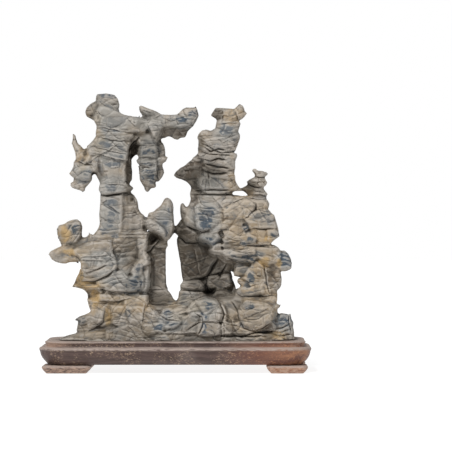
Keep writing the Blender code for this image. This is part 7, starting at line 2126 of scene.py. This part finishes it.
def stone_material():
    shade = Shader("stone_looks")
    times = shade.times
    noises = {name: shade.noise(*values) for name, values in STONE_NOISES.items()}
    mottle = noises["mottle"]
    warm = shade.attribute("warm")
    cool = shade.attribute("cool")

    def mask(name, value):
        return shade.ramp(value, *STONE_RAMPS[name])

    def layer(under, name, cover, tint, mode="MIX"):
        return shade.blend(times(cover, STONE_AMOUNTS[name]), under, tint, mode)

    # Ground, drawn patches and facets
    colour = shade.blend(mask("ground", noises["wander"]), GREY_STONE, WARM_STONE)
    colour = layer(colour, "mottle", mask("mottle", mottle), PALE_STONE)
    colour = layer(colour, "warm", warm, TAN_STONE)
    colour = layer(colour, "cool", cool, COOL_STONE)
    # The pale patches are partly painted light over shadows that the blocks cast, and the brown ones partly
    # painted shade in recesses and under ledges
    colour = layer(colour, "pale", shade.attribute("pale"), PALE_STONE)
    colour = layer(colour, "brown", shade.attribute("brown"), BROWN_STONE)
    away, height, tones = facet_nodes(shade, BIG_FACET)
    # Facet tones, as painted light and shade: paler on facets whose bump leans left towards the key light, darker
    # on those leaning away
    colour = layer(colour, "pale_facet", mask("pale_facet", tones[0]), PALE_STONE)
    colour = layer(colour, "slate_facet", mask("slate_facet", tones[0]), SLATE_STONE)
    # Slate: a soft wash with darker, ragged cores
    streaks = shade.noise(*STREAK_NOISE, shade.stretched(STREAK_STRETCH))
    chips = facet_nodes(shade, SMALL_FACET)[2][1]
    ragged = shade.math("ADD", shade.attribute("slate"), times(streaks, STONE_AMOUNTS["streaks"]))
    ragged = shade.math("ADD", ragged, times(chips, STONE_AMOUNTS["chips"]))
    colour = layer(colour, "wash", mask("wash", ragged), COOL_STONE)
    strength = shade.math("ADD", times(shade.attribute("deep"), STONE_AMOUNTS["deep"]), STONE_AMOUNTS["slate"])
    colour = shade.blend(times(mask("slate", ragged), strength), colour, SLATE_STONE)
    proud = mask("ridge", shade.attribute("ridge"))
    colour = layer(colour, "tinge", times(proud, mask("tinge", noises["tinge"])), SLATE_STONE)
    # Rubbed edges with painted highlights, painted shade in recesses, and the crests and painted shadow at the
    # feet of steps
    ochre = times(shade.attribute("ochre"), mask("ochre", mottle))
    edge = shade.attribute("edge")
    # Pale edges: partly worn, partly a painted highlight on every sharp edge
    colour = layer(colour, "edge", mask("edge", edge), DUST_AND_HIGHLIGHT_STONE)
    spared = shade.math("SUBTRACT", 1.0, times(ochre, STONE_AMOUNTS["ochre_in_recess"]))
    # Painted shade in recesses, darker where less of the sky is open, and spared where ochre lies
    colour = layer(colour, "recess", times(mask("recess", shade.attribute("open_far")), spared), RECESS_SHADE)
    # Painted shade in creases, and in tight corners that the near rays find closed
    colour = layer(colour, "sunk", mask("sunk", edge), CRACK_AND_SHADE_DARK)
    colour = layer(colour, "tight", mask("tight", shade.attribute("open_near")), CRACK_AND_SHADE_DARK)
    step = shade.attribute("step")
    uneven = mask("uneven", noises["uneven"])
    colour = layer(colour, "crest", times(mask("crest", step), uneven), DUST_AND_HIGHLIGHT_STONE)
    # Painted shadow at the foot of each step
    colour = layer(colour, "foot", times(mask("foot", step), uneven), CRACK_AND_SHADE_DARK)
    colour = layer(colour, "ochre", ochre, OCHRE_STONE)
    colour = layer(colour, "warm_tint", warm, WARM_TINT, "MULTIPLY")
    colour = layer(colour, "cool_tint", cool, COOL_TINT, "MULTIPLY")
    # Slate hems over folds and cracks: slate colour that also paints shade on the lower part of each sheet
    hairlines = shade.cracks(*HAIRLINE, shade.stretched(HAIRLINE_STRETCH))
    fine = times(hairlines, STONE_AMOUNTS["hairline"])
    hem = 0.0
    for index, (spacing, *_) in enumerate(CREASES):
        share = shade.math("FRACT", shade.attribute(f"fold_{index}"))
        power = shade.attribute(f"fold_power_{index}")
        lines = times(shade.crease(share, FOLD_LINE / spacing), power)
        fine = shade.math("MAXIMUM", fine, times(lines, STONE_AMOUNTS["fold_line"]))
        hem = shade.math("MAXIMUM", hem, times(mask("fold_foot", share), power))
    crack_side = shade.attribute("crack_side")
    crack_power = shade.attribute("crack_power")
    over = times(mask("over_far", crack_side), mask("over_near", crack_side))
    hem = shade.math("MAXIMUM", hem, times(over, mask("over_power", crack_power)))
    colour = layer(colour, "hem", times(hem, mask("hem", noises["hem"])), SLATE_STONE)
    # Facet borders, fine cracks, and the drawn cracks with a painted highlight on the edge above them
    border = times(mask("border_near", away), mask("border_far", away))
    colour = layer(colour, "border", times(border, mask("border", noises["border"])), DUST_AND_HIGHLIGHT_STONE)
    fine = times(fine, mask("fine", noises["fine"]))
    colour = shade.blend(fine, colour, CRACK_AND_SHADE_DARK)
    # A painted highlight on the lip just above each drawn crack
    lit = times(mask("lit_near", crack_side), mask("lit_far", crack_side))
    colour = layer(colour, "lit", times(lit, mask("lit_power", crack_power)), DUST_AND_HIGHLIGHT_STONE)
    line = mask("line", shade.math("ABSOLUTE", crack_side))
    colour = shade.blend(times(line, mask("line_power", crack_power)), colour, CRACK_AND_SHADE_DARK)
    # Pits with the hollows' painted shade, grain, and painted shade
    # Painted shade in the drawn hollows, darker the deeper they are, and darker spots where the mottle is high
    pit = shade.math("ADD", shade.attribute("hollow"), times(mottle, STONE_AMOUNTS["mottle_in_pit"]))
    colour = layer(colour, "pit", mask("pit", pit), CRACK_AND_SHADE_DARK)
    grains = shade.blend(noises["grain"], DARK_GRAIN, PALE_GRAIN)
    colour = shade.blend(STONE_AMOUNTS["grain"], colour, grains, "OVERLAY")
    colour = shade.blend(shade.attribute("shade"), colour, SHADE_TINT, "MULTIPLY")
    normal = shade.bump(height, STONE_BUMPS["facets"])
    normal = shade.bump(mottle, STONE_BUMPS["mottle"], normal)
    normal = shade.bump(noises["grain"], STONE_BUMPS["grain"], normal)
    normal = shade.bump(times(fine, -1.0), STONE_BUMPS["cracks"], normal)
    return shade.finish(colour, STONE_ROUGHNESS, STONE_GLOSS, normal)


def wood_material(name, worn_amount, bare_amount):
    shade = Shader(name)
    times = shade.times
    noises = {}
    for key, (*values, stretch) in WOOD_NOISES.items():
        noises[key] = shade.noise(*values, shade.stretched((stretch, 1.0, 1.0)))
    x, _, z = shade.parts(shade.place)

    def mask(key, value=None):
        return shade.ramp(value or noises[key], *WOOD_RAMPS[key])

    def beyond(key, value):
        return shade.ramp(value, *(limit * MM for limit in WOOD_PLACES[key]))

    def layer(under, key, cover, tint):
        return shade.blend(times(cover, WOOD_AMOUNTS[key]), under, tint)

    # Lacquer, redder and rubbed towards the right end
    colour = shade.blend(mask("grain"), DARK_WOOD, MID_WOOD)
    colour = layer(colour, "grey", mask("grey", noises["blotch"]), GREY_WOOD)
    right = beyond("red", x)
    colour = layer(colour, "red", right, RED_WOOD)
    end = beyond("right_end", x)
    colour = layer(colour, "rubbed", times(end, mask("rubbed")), ORANGE_WOOD)
    # Worn specks and bare wood
    flecks = shade.math("MAXIMUM", mask("spread"), times(end, WOOD_AMOUNTS["specks_at_end"]))
    worn = times(times(mask("specks"), flecks), worn_amount)
    colour = shade.blend(worn, colour, shade.blend(right, WORN_WOOD, ORANGE_WOOD))
    colour = shade.blend(times(mask("bare"), bare_amount), colour, BARE_WOOD)
    ends = shade.math("MAXIMUM", beyond("right_wear", x), beyond("left_wear", x))
    faded = times(times(beyond("tier", z), ends), mask("faded"))
    colour = layer(colour, "faded", faded, BARE_WOOD)
    # Dust on what faces up, and a painted highlight along the lips
    facing = shade.parts(shade.nodes.new("ShaderNodeNewGeometry").outputs["True Normal"])
    dust = times(mask("upward", facing[2]), mask("dust", noises["blotch"]))
    colour = layer(colour, "dust", dust, DUST_AND_HIGHLIGHT_WOOD)
    colour = shade.blend(times(shade.attribute("lip"), mask("lip", noises["fibre"])), colour, DUST_AND_HIGHLIGHT_WOOD)
    normal = shade.bump(noises["fibre"], WOOD_BUMPS["fibre"], shade.bump(noises["grain"], WOOD_BUMPS["grain"]))
    return shade.finish(colour, WOOD_ROUGHNESS, WOOD_GLOSS, normal)


def floor_material():
    shade = Shader("floor_looks")
    shade.put(shade.surface, "Emission Color", (*WHITE, 1.0))
    shade.put(shade.surface, "Emission Strength", FLOOR_GLOW)
    return shade.finish((*FLOOR_COLOUR, 1.0), FLOOR_ROUGHNESS, 0.0)


def dress(piece, material, replaced):
    """Give a piece its looks, put it in place of a solid of the frame and let it ride on the body."""
    piece.data.materials.clear()
    piece.data.materials.append(material)
    piece.data.shade_smooth()
    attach(piece, "root")
    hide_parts(replaced)


def mark_lips(mesh, lips):
    """Store how near each corner is to one of the moulding's lips, where a highlight is painted."""
    z = read_points(mesh)[:, 2] / MM
    lip = np.zeros(len(z))
    for height, reach in lips:
        lip = np.maximum(lip, 1 - smoothstep(LIP_CORE * reach, reach, np.abs(z - height)))
    add_attribute(mesh, "lip", lip)


def build_sky():
    """Even white light from all round, which looks white wherever the camera sees past the object."""
    world = bpy.data.worlds.new("studio")
    world.use_nodes = True
    tree = world.node_tree
    sky = tree.nodes["Background"]
    sky.inputs["Color"].default_value = (*WHITE, 1.0)
    path = tree.nodes.new("ShaderNodeLightPath")
    strength = tree.nodes.new("ShaderNodeMapRange")
    strength.inputs["To Min"].default_value = SKY_STRENGTH
    strength.inputs["To Max"].default_value = SKY_SEEN
    tree.links.new(path.outputs["Is Camera Ray"], strength.inputs["Value"])
    tree.links.new(strength.outputs["Result"], sky.inputs["Strength"])
    bpy.context.scene.world = world


def build_studio():
    """Plain floor, soft light from the upper left, and the camera where the photograph was taken."""
    bm = bmesh.new()
    bmesh.ops.create_grid(bm, x_segments=1, y_segments=1, size=FLOOR_SIZE)
    floor = mesh_object("studio_floor", bm)
    floor.data.materials.append(floor_material())
    build_sky()
    scene = bpy.context.scene
    lamp = bpy.data.lights.new("key_light", "SUN")
    lamp.energy = KEY_STRENGTH
    lamp.angle = math.radians(KEY_SOFTNESS)
    key = bpy.data.objects.new("key_light", lamp)
    key.rotation_euler = Vector(KEY_DIRECTION).to_track_quat("-Z", "Y").to_euler()
    scene.collection.objects.link(key)
    scene.view_settings.view_transform = "Standard"
    view = bpy.data.cameras.new("photo_camera")
    view.lens = CAMERA_LENS
    view.sensor_width = SENSOR_WIDTH
    view.clip_start = NEAREST_SEEN
    camera = bpy.data.objects.new("photo_camera", view)
    camera.location = CAMERA_PLACE
    camera.rotation_euler = (math.pi / 2, 0, 0)
    scene.collection.objects.link(camera)
    scene.camera = camera


stone, front_steps = build_stone()
mark_stone(stone.data, front_steps)
dress(stone, stone_material(), "rock")
stand = build_stand()
mark_lips(stand.data, STAND_LIPS)
dress(stand, wood_material("stand_looks", *STAND_WEAR), "stand_body")
foot_looks = wood_material("foot_looks", *FOOT_WEAR)
for node, foot in build_feet().items():
    mark_lips(foot.data, FOOT_LIPS)
    dress(foot, foot_looks, node)
build_studio()
